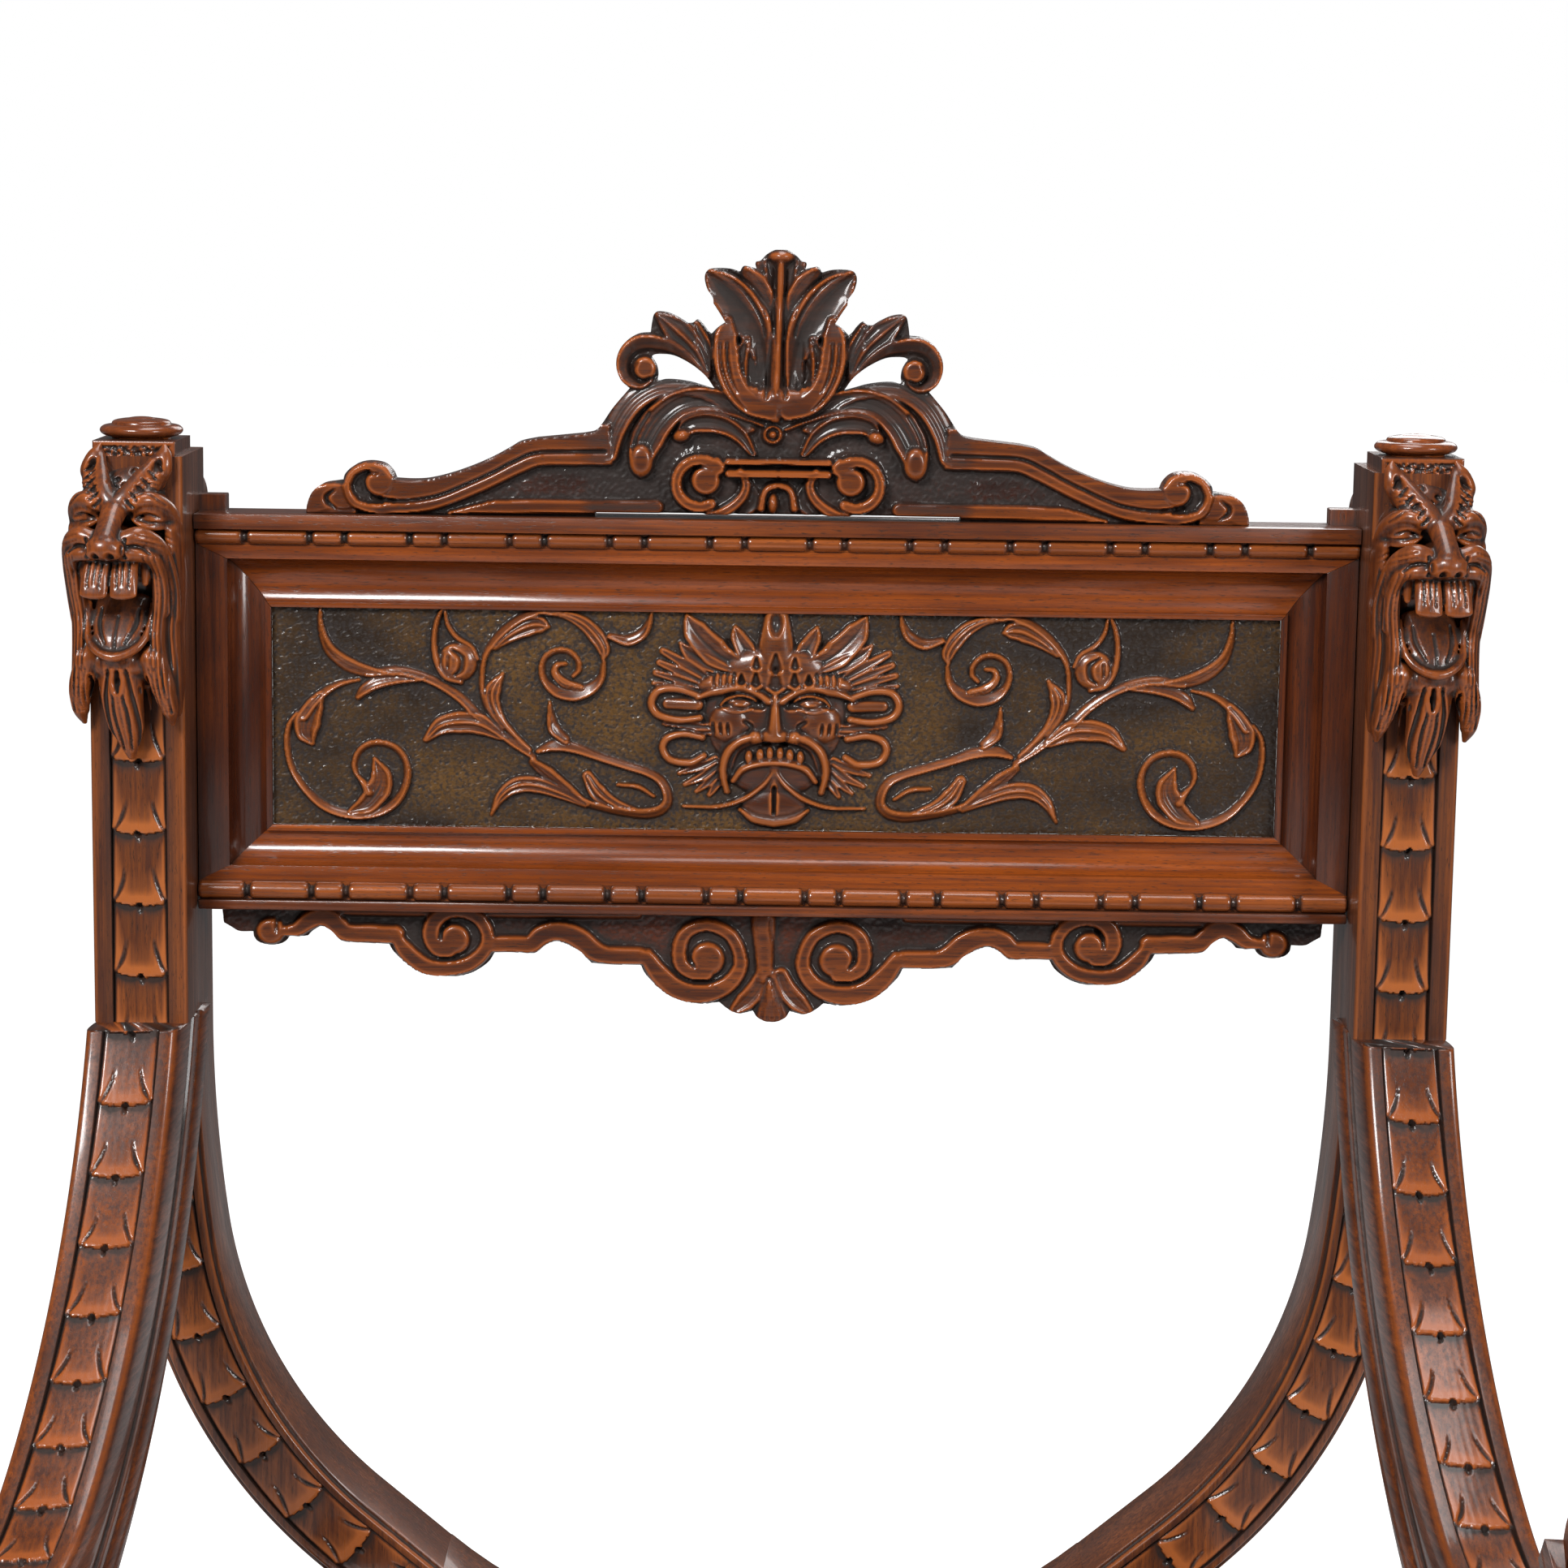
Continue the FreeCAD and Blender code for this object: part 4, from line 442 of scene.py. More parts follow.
def scale_height(run, across, half, seed):
    """Height of the carved scales over the floor of their channel."""
    chance = np.random.default_rng(seed)
    share = across / half
    rough = run / SCALE_PITCH
    count = int(np.max(rough)) + 3
    drift = np.cumsum(chance.normal(0, 0.35, count)) * 0.5
    lean = chance.normal(0, 0.5, count)
    index = np.clip(rough.astype(int), 0, count - 1)
    edge_bend = 1.7 * (1 - share ** 2) + lean[index] * share * 0.5 + 0.18 * np.sin(across * 1.9 + index)
    place = (run - edge_bend - drift[index] * 0.3) / SCALE_PITCH
    number = np.floor(place)
    part = place - number
    index = np.clip(number.astype(int) + 1, 0, count - 1)
    below = np.where(part < 0.5, part, part - 1) * SCALE_PITCH
    height = 0.3 + 1.45 * part ** 1.25 + 0.25 * (1 - share ** 2)
    height = height - 0.45 * np.exp(-((1 - part) * SCALE_PITCH / 0.55) ** 2)
    height = height - 0.9 * np.exp(-(((1 - np.abs(share)) * half) / 0.75) ** 2)
    for side in (-1, 1):
        top = 0.46 + chance.normal(0, 0.03, count)[index]
        way = np.clip((part - top) / (0.985 - top), 0, 1)
        middle = side * (0.47 + chance.normal(0, 0.03, count)[index] + 0.42 * way ** 1.8) * half
        width = 0.35 + 0.95 * way
        cut = np.clip(1 - np.abs(across - middle) / width, 0, 1) * np.clip(way * 5, 0, 1) * (part > top)
        height = height - cut * (0.5 + 0.7 * way)
    centre = chance.normal(0, 0.5, count)[index]
    hole = np.hypot(across - centre, below + 0.2)
    height = height - 2.4 * np.clip(1 - (hole / 1.45) ** 4, 0, 1)
    nick = np.hypot((across - centre) / 1.15, (below - 2.0) / 1.7)
    return height - 1.1 * np.clip(1 - nick, 0, 1)


def mirrored_points(points, side):
    """Points of the left piece, or of its mirror image for side 1."""
    points = points.copy()
    points[..., 0] *= -side
    return points


def swept(name, places, headings, half, flank, shades, put_point, side, first_scale, run_length, seed, taper=None):
    """A bar along a path: scales in a sunk channel, with moulded flanks down to the back."""
    run = run_of(places)[:, None]
    inner = np.linspace(-half, half, int(round(half * 2 / ACROSS_STEP)) + 1)[None, :]
    relief = scale_height(np.clip(run - first_scale, 0, None) + 0 * inner, inner + 0 * run, half, seed)
    inside = ((run >= first_scale) & (run <= first_scale + run_length))
    depth = np.where(inside, CHANNEL_DEPTH - relief, 0.0)
    level = blurred(depth, 1)
    edge = half - np.abs(inner)
    # Dirt and painted shade in the scales' hollows, and painted shade under each scale's lip and along the channel's
    # edges.
    hollow = np.where(inside, hollows(-level, 2, 5) * 1.15 + (1.1 - relief) * 0.13, 0.0) + 0.3 * np.exp(-edge ** 2)
    right = np.array(flank, float)
    left = right[::-1] * (-1, 1)
    rows = len(places)
    sides = np.concatenate((right, left))
    across = np.concatenate((np.repeat(inner, rows, 0), np.repeat(sides[None, :, 0], rows, 0)), 1)
    depths = np.concatenate((depth, np.repeat(sides[None, :, 1], rows, 0)), 1)
    # Painted shade and painted highlight across the flanks, from the listed shades.
    flank_shading = np.concatenate((shades, shades[::-1]))
    shade = np.concatenate((hollow, np.repeat(flank_shading[None, :], rows, 0)), 1)
    if taper is not None:
        across = across * taper[:, None]
    across, depths, shade = (np.concatenate((grid, grid[:, :1]), 1) for grid in (across, depths, shade))
    points = put_point(places, headings, across, depths)
    piece = grid_piece(name, mirrored_points(points, side))
    note(piece, "recess", shade)
    return closed_up(piece)


def on_bar(front_y):
    """Places a section point of an upright bar whose front lies at a depth."""
    def put_point(places, headings, across, depth):
        side_x, side_z = np.cos(headings + math.pi / 2)[:, None], np.sin(headings + math.pi / 2)[:, None]
        return np.stack((places[:, :1] + side_x * across, front_y + depth, places[:, 1:] + side_z * across), -1)
    return put_point


ARM_X, ARM_FRONT_Y, ARM_REAR_Y, ARM_TOP, ARM_TOE = -278.0, 118.0, 180.0, 702.0, math.radians(5.5)


def on_arm(places, headings, across, depth):
    """Places a section point of the left arm in its toed-out plane."""
    reach = places[:, :1] - np.cos(headings + math.pi / 2)[:, None] * depth
    height = places[:, 1:] - np.sin(headings + math.pi / 2)[:, None] * depth
    x = ARM_X + across * math.cos(ARM_TOE) - reach * math.sin(ARM_TOE)
    y = ARM_FRONT_Y + across * math.sin(ARM_TOE) - reach * math.cos(ARM_TOE)
    return np.stack((x, y, height), -1)


def bar_flank(half, channel, depth):
    """Right flank of a bar's section: border, rounded edge, quirk, side and back."""
    return [(channel, 0.35), (channel + 0.3, 0.0), (half - 4.0, 0.0), (half - 3.4, 0.12), (half - 2.9, 0.5),
            (half - 2.5, 1.2), (half - 2.3, 2.2), (half - 2.2, 3.0), (half - 1.6, 3.5), (half - 0.6, 3.55),
            (half - 0.15, 3.9), (half, 4.6), (half, depth - 1.2), (half - 0.3, depth - 0.4), (half - 1.0, depth),
            (half * 0.5, depth), (0.0, depth)]


BAR_SHADES = [0.25, 0.12, 0.0, -0.06, -0.16, -0.16, 0.02, 0.34, 0.2, 0.02, -0.08, -0.04, 0.0, 0.05, 0.0, 0.0, 0.0]
ARM_FLANK = [(12.25, 0.35), (12.55, 0.0), (16.4, 0.0), (17.6, 0.2), (18.6, 0.8), (19.4, 1.9), (20.0, 3.6), (20.4, 6.5),
             (20.6, 10.5), (20.6, 15.0), (20.3, 20.0), (19.7, 24.5), (19.0, 27.3), (18.9, 28.1), (19.9, 28.5),
             (20.1, 29.2), (20.1, 34.9), (19.6, 35.7), (18.5, 36.2), (18.2, 37.8), (18.5, 39.6), (19.6, 40.2),
             (20.2, 41.0), (20.3, 54.4), (20.0, 55.4), (19.0, 56.0), (10.0, 56.0), (0.0, 56.0)]
ARM_SHADES = [0.25, 0.12, 0.0, -0.08, -0.14, -0.1, 0.0, 0.0, 0.0, 0.0, 0.0, 0.02, 0.1, 0.3, 0.16, -0.08, -0.06, 0.0,
              0.12, 0.3, 0.12, -0.04, -0.04, 0.0, 0.0, 0.0, 0.0, 0.0]

ARM_CHANNEL, BAR_HALF, BAR_CHANNEL = 12.25, 18.5, 12.3
REAR_FRONT_Y, REAR_THICK = 180.0, 50.0
FRONT_FRONT_Y, FRONT_THICK = -240.0, 45.0
REAR_START = (-281.5, 926.5)
REAR_STEPS = [(246,), (700, 8), (226.5, 42), (43.63,)]
ARM_LEAD = 25.0
ARM_START = (-ARM_LEAD * math.cos(math.radians(110)), ARM_TOP + ARM_LEAD * math.sin(math.radians(110)))


def run_of(places):
    """Length of the way to each place."""
    return np.concatenate(([0], np.cumsum(np.hypot(*np.diff(places, axis=0).T))))


def lower_part(name, side, end, heading):
    """Lower part of a bar after its solid, cut square to the bar where the scales end."""
    lower = merged_copy(name, name + "_lower")
    cut_off(lower, (end[0] * -side, 0, end[1]), (-math.cos(heading) * -side, 0, -math.sin(heading)))
    ease(lower, 0.0012)
    finished(lower, "frame", carved_bar, "carved_walnut", name)


def rear_bar(side):
    """Upper, scaled part of a rear bar with its rounded top; the rest follows the solid."""
    name = "rear_left_bar" if side < 0 else "rear_right_bar"
    places, headings = walk(REAR_START, -90, REAR_STEPS, PATH_STEP)
    turns = np.linspace(90, 2, 26)
    rounded = np.array([(REAR_START[0], REAR_START[1] + BAR_HALF * math.sin(math.radians(turn))) for turn in turns])
    taper = np.concatenate((np.cos(np.radians(turns)), np.ones(len(places))))
    taper[0] = 0.04
    places = np.concatenate((rounded, places))
    headings = np.concatenate((np.full(len(turns), headings[0]), headings))
    length = np.hypot(*np.diff(places, axis=0).T).sum()
    piece = swept(name + "_scaled", places, headings, BAR_CHANNEL, bar_flank(BAR_HALF, BAR_CHANNEL, REAR_THICK),
                  BAR_SHADES, on_bar(REAR_FRONT_Y), side, 22.0, length - 22.0 - 13.0, 11 + side, taper)
    finished(piece, "frame", carved_bar, "carved_walnut", name)
    lower_part(name, side, places[-1], headings[-1])


def front_bar(side):
    """Upper, scaled part of a front bar, cut level under the arm's scroll."""
    name = "front_left_bar" if side < 0 else "front_right_bar"
    crossing_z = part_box("front_rosette")[0].z / MM + 41.0
    places, headings = walk((0, crossing_z), 180 - 28, [(268,), (152, -42), (24,)], PATH_STEP)
    places, headings = places[::-1], headings[::-1] + math.pi
    run = run_of(places)
    kept = run <= np.hypot(*np.diff(places, axis=0).T).sum() - 42.0
    places, headings = places[kept], headings[kept]
    piece = swept(name + "_scaled", places, headings, BAR_CHANNEL, bar_flank(BAR_HALF, BAR_CHANNEL, FRONT_THICK),
                  BAR_SHADES, on_bar(FRONT_FRONT_Y), side, 24.0, WHOLE_LENGTH, 31 + side)
    cut_off(piece, (0, 0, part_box(name)[1].z / MM), (0, 0, 1))
    finished(piece, "frame", carved_bar, "carved_walnut", name)
    lower_part(name, side, places[-1], headings[-1])


def arm(side):
    """Swept arm with scales on its top; its scroll follows the solid."""
    name = "left_arm" if side < 0 else "right_arm"
    places, headings = walk(ARM_START, 20 - 90, [(ARM_LEAD,), (305, 42), (125, 76)], PATH_STEP)
    piece = swept(name + "_scaled", places, headings, ARM_CHANNEL, ARM_FLANK, ARM_SHADES, on_arm, side, 24.0,
                  WHOLE_LENGTH, 51 + side)
    cut_off(piece, (0, 0, ARM_TOP), (0, 0, 1))
    cut_off(piece, (0, ARM_REAR_Y, 0), (0, 1, 0))
    end, heading = places[-1], headings[-1]
    point = on_arm(end[None, :], headings[-1:], np.zeros((1, 1)), np.zeros((1, 1)))[0, 0]
    away = (math.cos(heading) * -math.sin(ARM_TOE), -math.cos(heading) * math.cos(ARM_TOE), math.sin(heading))
    scroll = merged_copy(name, name + "_scroll")
    cut_off(scroll, (point[0] * -side, point[1], point[2]), (away[0] * side, -away[1], -away[2]))
    ease(scroll, 0.001)
    finished(piece, "frame", carved_arm, "carved_walnut", name)
    finished(scroll, "frame", carved_arm, "carved_walnut", name)


POST_LENGTH = 250.0


def post(side):
    """Scaled post under a beast's head."""
    name = "left_arm_head" if side < 0 else "right_arm_head"
    places, headings = walk((ARM_X, ARM_TOP + POST_LENGTH), -90, [(POST_LENGTH,)], PATH_STEP)
    flank = [(12.25, 0.35), (12.55, 0.0), (18.4, 0.0), (19.6, 0.3), (20.4, 1.1), (20.75, 2.4), (20.75, 60.6),
             (20.3, 61.6), (19.4, 62.0), (9.0, 62.0), (0.0, 62.0)]
    shades = [0.25, 0.12, 0.0, -0.12, -0.1, 0.12, 0.05, 0.05, 0.0, 0.0, 0.0]
    piece = swept(name + "_post", places, headings, ARM_CHANNEL, flank, shades, on_bar(ARM_FRONT_Y), side, 100.0,
                  WHOLE_LENGTH, 71 + side)
    finished(piece, "frame", carved_bar, "carved_walnut", name)


for side in (-1, 1):
    rear_bar(side)
    front_bar(side)
    arm(side)
    post(side)


# ---------------------------------------------------------------- carving drawn on a face

def smooth_line(points, spacing):
    """Rounded line through drawn points, with the share of the way at each drawn point."""
    points = np.array(points, float)
    if len(points) < 3:
        count = max(2, int(np.hypot(*(points[-1] - points[0])) / spacing))
        share = np.linspace(0, 1, count)[:, None]
        return points[0] + (points[-1] - points[0]) * share, np.linspace(0, len(points) - 1, count)
    padded = np.vstack((2 * points[0] - points[1], points, 2 * points[-1] - points[-2]))
    places, knots = [], []
    for index in range(len(points) - 1):
        a, b, c, d = padded[index:index + 4]
        count = max(2, int(np.hypot(*(c - b)) / spacing))
        t = (np.arange(count) / count)[:, None]
        places.append(0.5 * (2 * b + (c - a) * t + (2 * a - 5 * b + 4 * c - d) * t ** 2
                             + (3 * b - a - 3 * c + d) * t ** 3))
        knots.append(index + t[:, 0])
    return np.vstack(places + [points[-1:]]), np.concatenate(knots + [[len(points) - 1.0]])


def profile(shape, t, side):
    """Height share across a stroke; t runs from its middle line to its edge."""
    if shape == "band":
        return np.clip((1 - t) / 0.28, 0, 1) ** 0.7
    if shape == "flat":
        return np.clip((1 - t) / 0.07, 0, 1) ** 0.7
    if shape == "roof":
        return 0.25 + 0.75 * (1 - t)
    if shape == "hollow":
        return np.clip((1 - t) / 0.16, 0, 1) ** 0.6 * (0.42 + 0.58 * t ** 2)
    if shape == "leaf":
        rib = np.exp(-(t / 0.17) ** 2)
        return np.clip((1 - t) / 0.2, 0, 1) ** 0.6 * (0.5 + 0.32 * t ** 2 + 0.42 * rib)
    if shape == "lean":
        return np.clip((1 - t) / 0.18, 0, 1) ** 0.6 * (0.62 + 0.38 * side * t)
    if shape == "trail":
        return np.clip((1 - t) / 0.18, 0, 1) ** 0.6 * (0.62 - 0.38 * side * t)
    return np.sqrt(np.clip(1 - t ** 2.3, 0, 1))


class Relief:
    """Height map of a carved face, in millimetres."""

    def __init__(self, left, foot, right, top, step, spot):
        self.columns = int(round((right - left) / step)) + 1
        self.rows = int(round((top - foot) / step)) + 1
        self.x = np.linspace(left, right, self.columns)
        self.z = np.linspace(foot, top, self.rows)
        self.step = self.x[1] - self.x[0]
        self.height = np.zeros((self.rows, self.columns))
        self.spot = spot
        self.unit = spot((1.0, 0.0))[0] - spot((0.0, 0.0))[0]
        self.flip = 1

    def place(self, point):
        """Place on the face of a drawn point, mirrored where the drawing is."""
        x, z = self.spot(point)
        return self.flip * x, z

    def cells(self, low, high):
        """Part of the map between two corners."""
        first = np.searchsorted(self.x, low[0]), np.searchsorted(self.z, low[1])
        last = np.searchsorted(self.x, high[0]), np.searchsorted(self.z, high[1])
        part = (slice(first[1], max(first[1] + 1, last[1])), slice(first[0], max(first[0] + 1, last[0])))
        return part, self.x[part[1]][None, :], self.z[part[0]][:, None]

    def along(self, points, widths):
        """Distance share, way along and side of a drawn line for the cells near it."""
        line, knots = smooth_line([self.place(point) for point in points], 0.9)
        halves = np.interp(knots, np.linspace(0, len(points) - 1, len(widths)), np.array(widths) * self.unit)
        reach = halves.max() + self.step
        part, x, z = self.cells(line.min(0) - reach, line.max(0) + reach)
        near = np.full((z.shape[0], x.shape[1]), 9.0)
        way, side = np.zeros_like(near), np.ones_like(near)
        row0, column0 = part[0].start, part[1].start
        for index in range(len(line) - 1):
            a, b = line[index], line[index + 1]
            wide = max(halves[index], halves[index + 1]) + self.step
            inner = self.cells(np.minimum(a, b) - wide, np.maximum(a, b) + wide)[0]
            inner = (slice(max(0, inner[0].start - row0), inner[0].stop - row0),
                     slice(max(0, inner[1].start - column0), inner[1].stop - column0))
            sx, sz = x[:, inner[1]], z[inner[0]]
            if sx.size == 0 or sz.size == 0:
                continue
            run = b - a
            length = max(run @ run, 1e-9)
            share = np.clip(((sx - a[0]) * run[0] + (sz - a[1]) * run[1]) / length, 0, 1)
            half = halves[index] + (halves[index + 1] - halves[index]) * share
            away = np.hypot(sx - a[0] - run[0] * share, sz - a[1] - run[1] * share) / np.maximum(half, 0.05)
            better = away < near[inner]
            turn = np.sign((sx - a[0]) * run[1] - (sz - a[1]) * run[0]) * self.flip
            near[inner] = np.where(better, away, near[inner])
            way[inner] = np.where(better, knots[index] + (knots[index + 1] - knots[index]) * share, way[inner])
            side[inner] = np.where(better, turn + 0 * share, side[inner])
        return part, near, way, side

    def stroke(self, points, widths, heights, shape="round", base=0.0, gouges=()):
        """Raises a leaf or stem; gouges are shares across, each a fine cut along it."""
        part, near, way, side = self.along(points, widths)
        tall = np.interp(way, np.linspace(0, len(points) - 1, len(heights)), heights)
        raised = base + tall * profile(shape, np.clip(near, 0, 1), side)
        for share in gouges:
            raised = raised - 0.85 * np.clip(1 - np.abs(near * side - share) / 0.11, 0, 1)
        self.height[part] = np.where(near < 1, np.maximum(self.height[part], raised), self.height[part])

    def cut(self, points, widths, depth, floor=-9.0):
        """Gouges along a line."""
        part, near = self.along(points, widths)[:2]
        lowered = np.maximum(self.height[part] - depth * np.clip(1 - near ** 2, 0, 1), floor)
        self.height[part] = np.where(near < 1, np.minimum(self.height[part], lowered), self.height[part])

    def level(self, points, widths, height, soft=0.25):
        """Works the cells along a line down or up to one height."""
        part, near = self.along(points, widths)[:2]
        share = np.clip((1 - near) / soft, 0, 1)
        self.height[part] = self.height[part] * (1 - share) + height * share

    def oval(self, centre, reach, angle=0.0):
        """Distance share from the middle of an oval for the cells in it."""
        x0, z0 = self.place(centre)
        rx, rz = reach[0] * self.unit, reach[1] * self.unit
        far = max(rx, rz)
        part, x, z = self.cells((x0 - far, z0 - far), (x0 + far, z0 + far))
        turn = math.radians(angle) * self.flip
        u = (x - x0) * math.cos(turn) + (z - z0) * math.sin(turn)
        v = (z - z0) * math.cos(turn) - (x - x0) * math.sin(turn)
        return part, np.hypot(u / rx, v / rz)

    def boss(self, centre, reach, height, angle=0.0, power=2.0):
        """Raises a domed oval."""
        part, near = self.oval(centre, reach, angle)
        raised = height * np.sqrt(np.clip(1 - near ** power, 0, 1))
        self.height[part] = np.where(near < 1, np.maximum(self.height[part], raised), self.height[part])

    def dent(self, centre, reach, depth, angle=0.0, power=2.0):
        """Hollows out an oval."""
        part, near = self.oval(centre, reach, angle)
        self.height[part] = self.height[part] - depth * np.clip(1 - near ** power, 0, 1)

    def soften(self):
        """Wears the carving a little."""
        self.height = blurred(self.height, 1)

    def both_halves(self):
        """Turns the drawing for each half of the face, and back at the end."""
        for flip in (1, -1):
            self.flip = flip
            yield
        self.flip = 1

    def draw(self, marks):
        """Makes drawn marks in their order; each names its tool and what the tool takes."""
        for tool, *values in marks:
            getattr(self, tool)(*values)

    def piece(self, name, front, first, last):
        """Mesh of some columns of the map, with its dirt and painted shade and its ground noted."""
        part = slice(first, last)
        x, z = np.meshgrid(self.x[part], self.z)
        made = grid_piece(name, np.stack((x, front - self.height[:, part], z), -1))
        note(made, "recess", self.dirt[:, part])
        note(made, "ground", self.ground[:, part])
        return made


def backed(piece, rear):
    """Gives a carved face its flat sides and back."""
    edit(piece)
    select_open_edges()
    bpy.ops.mesh.extrude_edges_move()
    bpy.ops.mesh.select_mode(type="VERT")
    leave_edit()
    count = len(piece.data.vertices)
    chosen = np.zeros(count, bool)
    piece.data.vertices.foreach_get("select", chosen)
    places = np.zeros(count * 3, np.float32)
    piece.data.vertices.foreach_get("co", places)
    places = places.reshape(-1, 3)
    places[chosen, 1] = rear * MM
    piece.data.vertices.foreach_set("co", places.ravel())
    piece.data.update()
    for name, plain in (("recess", 0.07), ("ground", 0.0)):
        layer = piece.data.attributes[name]
        values = np.zeros(count, np.float32)
        layer.data.foreach_get("value", values)
        values[chosen] = plain
        layer.data.foreach_set("value", values)
    edit(piece)
    select_open_edges()
    bpy.ops.mesh.fill(use_beauty=False)
    face_outwards()
    bpy.ops.object.shade_smooth_by_angle(angle=math.radians(46))
    return piece


# ---------------------------------------------------------------- carved field with mask

FIELD_FRONT, FIELD_REAR = 160.1, 178.0
FIELD_LEFT, FIELD_FOOT, FIELD_TOP, FIELD_STEP = -224.5, 785.0, 883.0, 0.45
FIELD_UNITS, MASK_UNITS = 6.908, 12.81


def field_spot(point):
    """Place of a point of the scroll work's drawing."""
    u, v = point
    return (FIELD_LEFT + (u - 9.2 + 0.026 * (v - 67)) / FIELD_UNITS,
            FIELD_TOP - (v - 67.2 - 0.0121 * (u - 9)) / 7.0)


def mask_spot(point):
    """Place of a point of the mask's drawing."""
    u, v = point
    return (u - 775) / MASK_UNITS, FIELD_TOP - (v - 159) / 12.87


SCROLLS = [
    ([(300, 276), (380, 268), (450, 280), (520, 310), (580, 352), (632, 404), (690, 452), (745, 498), (805, 540)],
     [12, 15, 15, 15, 15, 15, 14, 12, 9], [3.4, 3.9, 3.9, 3.8, 3.6, 3.2], "lean", (0.1,)),
    ([(157, 74), (157, 120), (168, 170), (190, 210), (235, 246), (300, 272), (370, 284)],
     [3, 9, 14, 19, 23, 20, 12], [3.6, 4.3, 4.4, 4.0, 3.6], "trail", (-0.35, 0.15)),
    ([(462, 288), (390, 292), (325, 305), (288, 326), (266, 350)],
     [14, 18, 21, 18, 8], [3.6, 4.2, 4.4, 3.6], "trail", (-0.25, 0.25)),
    ([(272, 296), (215, 308), (168, 332), (126, 368), (96, 408)],
     [4, 8, 12, 18, 18], [2.4, 3.4, 4.2, 4.2], "trail", ()),
    ([(150, 345), (128, 385), (108, 430), (104, 462), (121, 500)],
     [12, 30, 42, 33, 5], [4.2, 4.6, 4.4, 3.4], "hollow", (-0.3, 0.05, 0.4)),
    ([(76, 404), (52, 440), (43, 485), (46, 540), (62, 592), (94, 642), (142, 690), (200, 717), (262, 724),
      (322, 713), (370, 684), (400, 640), (412, 590), (403, 545), (378, 513), (340, 497), (300, 499), (268, 519),
      (252, 548), (250, 580), (262, 608)],
     [7, 9, 9, 9, 10, 11, 13, 14, 15, 15, 14, 12, 11, 10, 10, 10, 10, 9, 9, 8, 5],
     [3.2, 3.5, 3.8, 4.0, 4.2, 4.2, 3.8, 3.4, 3.2, 3.0], "lean", ()),
    ([(236, 712), (285, 688), (322, 640), (330, 600), (310, 546)],
     [10, 32, 40, 32, 5], [4.0, 4.6, 4.8, 4.4, 3.2], "hollow", (-0.35, 0.0, 0.35)),
    ([(290, 650), (278, 625), (262, 606)], [16, 12, 6], [4.2, 4.4, 3.4], "round", ()),
    ([(584, 303), (540, 285), (512, 235), (506, 170), (515, 115), (532, 74)],
     [8, 14, 12, 9, 8, 4], [3.0, 3.6, 3.8, 3.8, 3.6, 3.2], "round", ()),
    ([(541, 74), (548, 120), (574, 162), (620, 192), (640, 232)], [2, 7, 8, 6, 4], [3.0, 3.4, 3.0], "round", ()),
    ([(706, 452), (672, 405), (652, 352), (648, 300), (656, 232), (682, 184), (724, 138), (775, 102), (828, 82),
      (880, 84)],
     [8, 8, 8, 8, 9, 11, 13, 13, 11, 8], [2.8, 3.0, 3.2, 3.6, 4.0, 4.2, 4.0], "lean", ()),
    ([(690, 196), (735, 158), (790, 128), (828, 122), (860, 130)],
     [8, 22, 34, 28, 4], [3.6, 4.4, 4.6, 3.4], "leaf", (-0.45, 0.45)),
    ([(846, 84), (910, 92), (966, 118), (1006, 160), (1027, 200), (1024, 236)],
     [8, 13, 21, 25, 20, 3], [4.0, 4.3, 4.5, 3.6], "leaf", (-0.5, 0.5)),
    ([(1046, 158), (1100, 172), (1145, 151), (1168, 115), (1178, 76)],
     [10, 18, 17, 10, 2], [3.6, 4.2, 4.2, 3.4], "lean", (0.0,)),
    ([(1026, 240), (1016, 290), (982, 324), (932, 340), (882, 332), (847, 303), (835, 262), (848, 224), (882, 204),
      (920, 208), (946, 236), (948, 264), (930, 284)],
     [6, 12, 20, 24, 20, 12, 9, 9, 9, 9, 9, 8, 6], [3.2, 4.0, 4.4, 4.2, 3.6, 3.4, 3.2, 3.0], "trail", ()),
    ([(908, 246), (882, 250), (876, 276), (902, 304), (952, 318)],
     [5, 9, 12, 15, 10], [3.2, 4.0, 4.6, 4.4], "leaf", (0.4,)),
    ([(792, 518), (745, 470), (708, 424), (684, 372), (684, 326), (714, 278)],
     [7, 9, 13, 21, 25, 5], [3.0, 3.6, 4.2, 4.6, 3.4], "leaf", (-0.45,)),
    ([(704, 474), (640, 436), (578, 430), (520, 442), (472, 484)],
     [14, 35, 36, 28, 9], [3.8, 4.6, 4.6, 4.4, 3.6], "leaf", (-0.5, -0.22, 0.3, 0.55)),
    ([(960, 690), (890, 655), (812, 628), (748, 630), (700, 664), (667, 724)],
     [10, 20, 27, 26, 17, 3], [3.4, 4.2, 4.4, 4.2, 3.4], "leaf", (-0.4, 0.4)),
    ([(962, 688), (902, 640), (846, 594), (800, 556)], [10, 20, 24, 13], [3.6, 4.3, 4.4, 3.8], "lean", (-0.3, 0.3)),
    ([(818, 520), (872, 502), (934, 512), (1004, 538), (1082, 564), (1150, 586), (1192, 610), (1212, 645),
      (1214, 682), (1190, 708), (1146, 718), (1088, 714), (1022, 702), (960, 682), (905, 646)],
     [8, 20, 17, 13, 13, 13, 14, 15, 16, 17, 17, 15, 13, 12, 8],
     [3.6, 4.2, 4.0, 3.8, 4.0, 4.6, 4.8, 4.4, 4.0, 3.4], "lean", ()),
    ([(857, 366), (860, 410), (870, 452), (904, 484)], [3, 12, 20, 14], [3.6, 4.4, 4.4, 3.8], "lean", (0.2,)),
    ([(1126, 712), (1052, 690), (1000, 652), (969, 600)], [8, 20, 28, 17], [3.8, 4.4, 4.8, 4.2], "leaf", (-0.4, 0.4)),
    ([(1062, 628), (1124, 634), (1172, 664)], [5, 8, 5], [2.2, 2.8, 2.6], "round", ()),
]

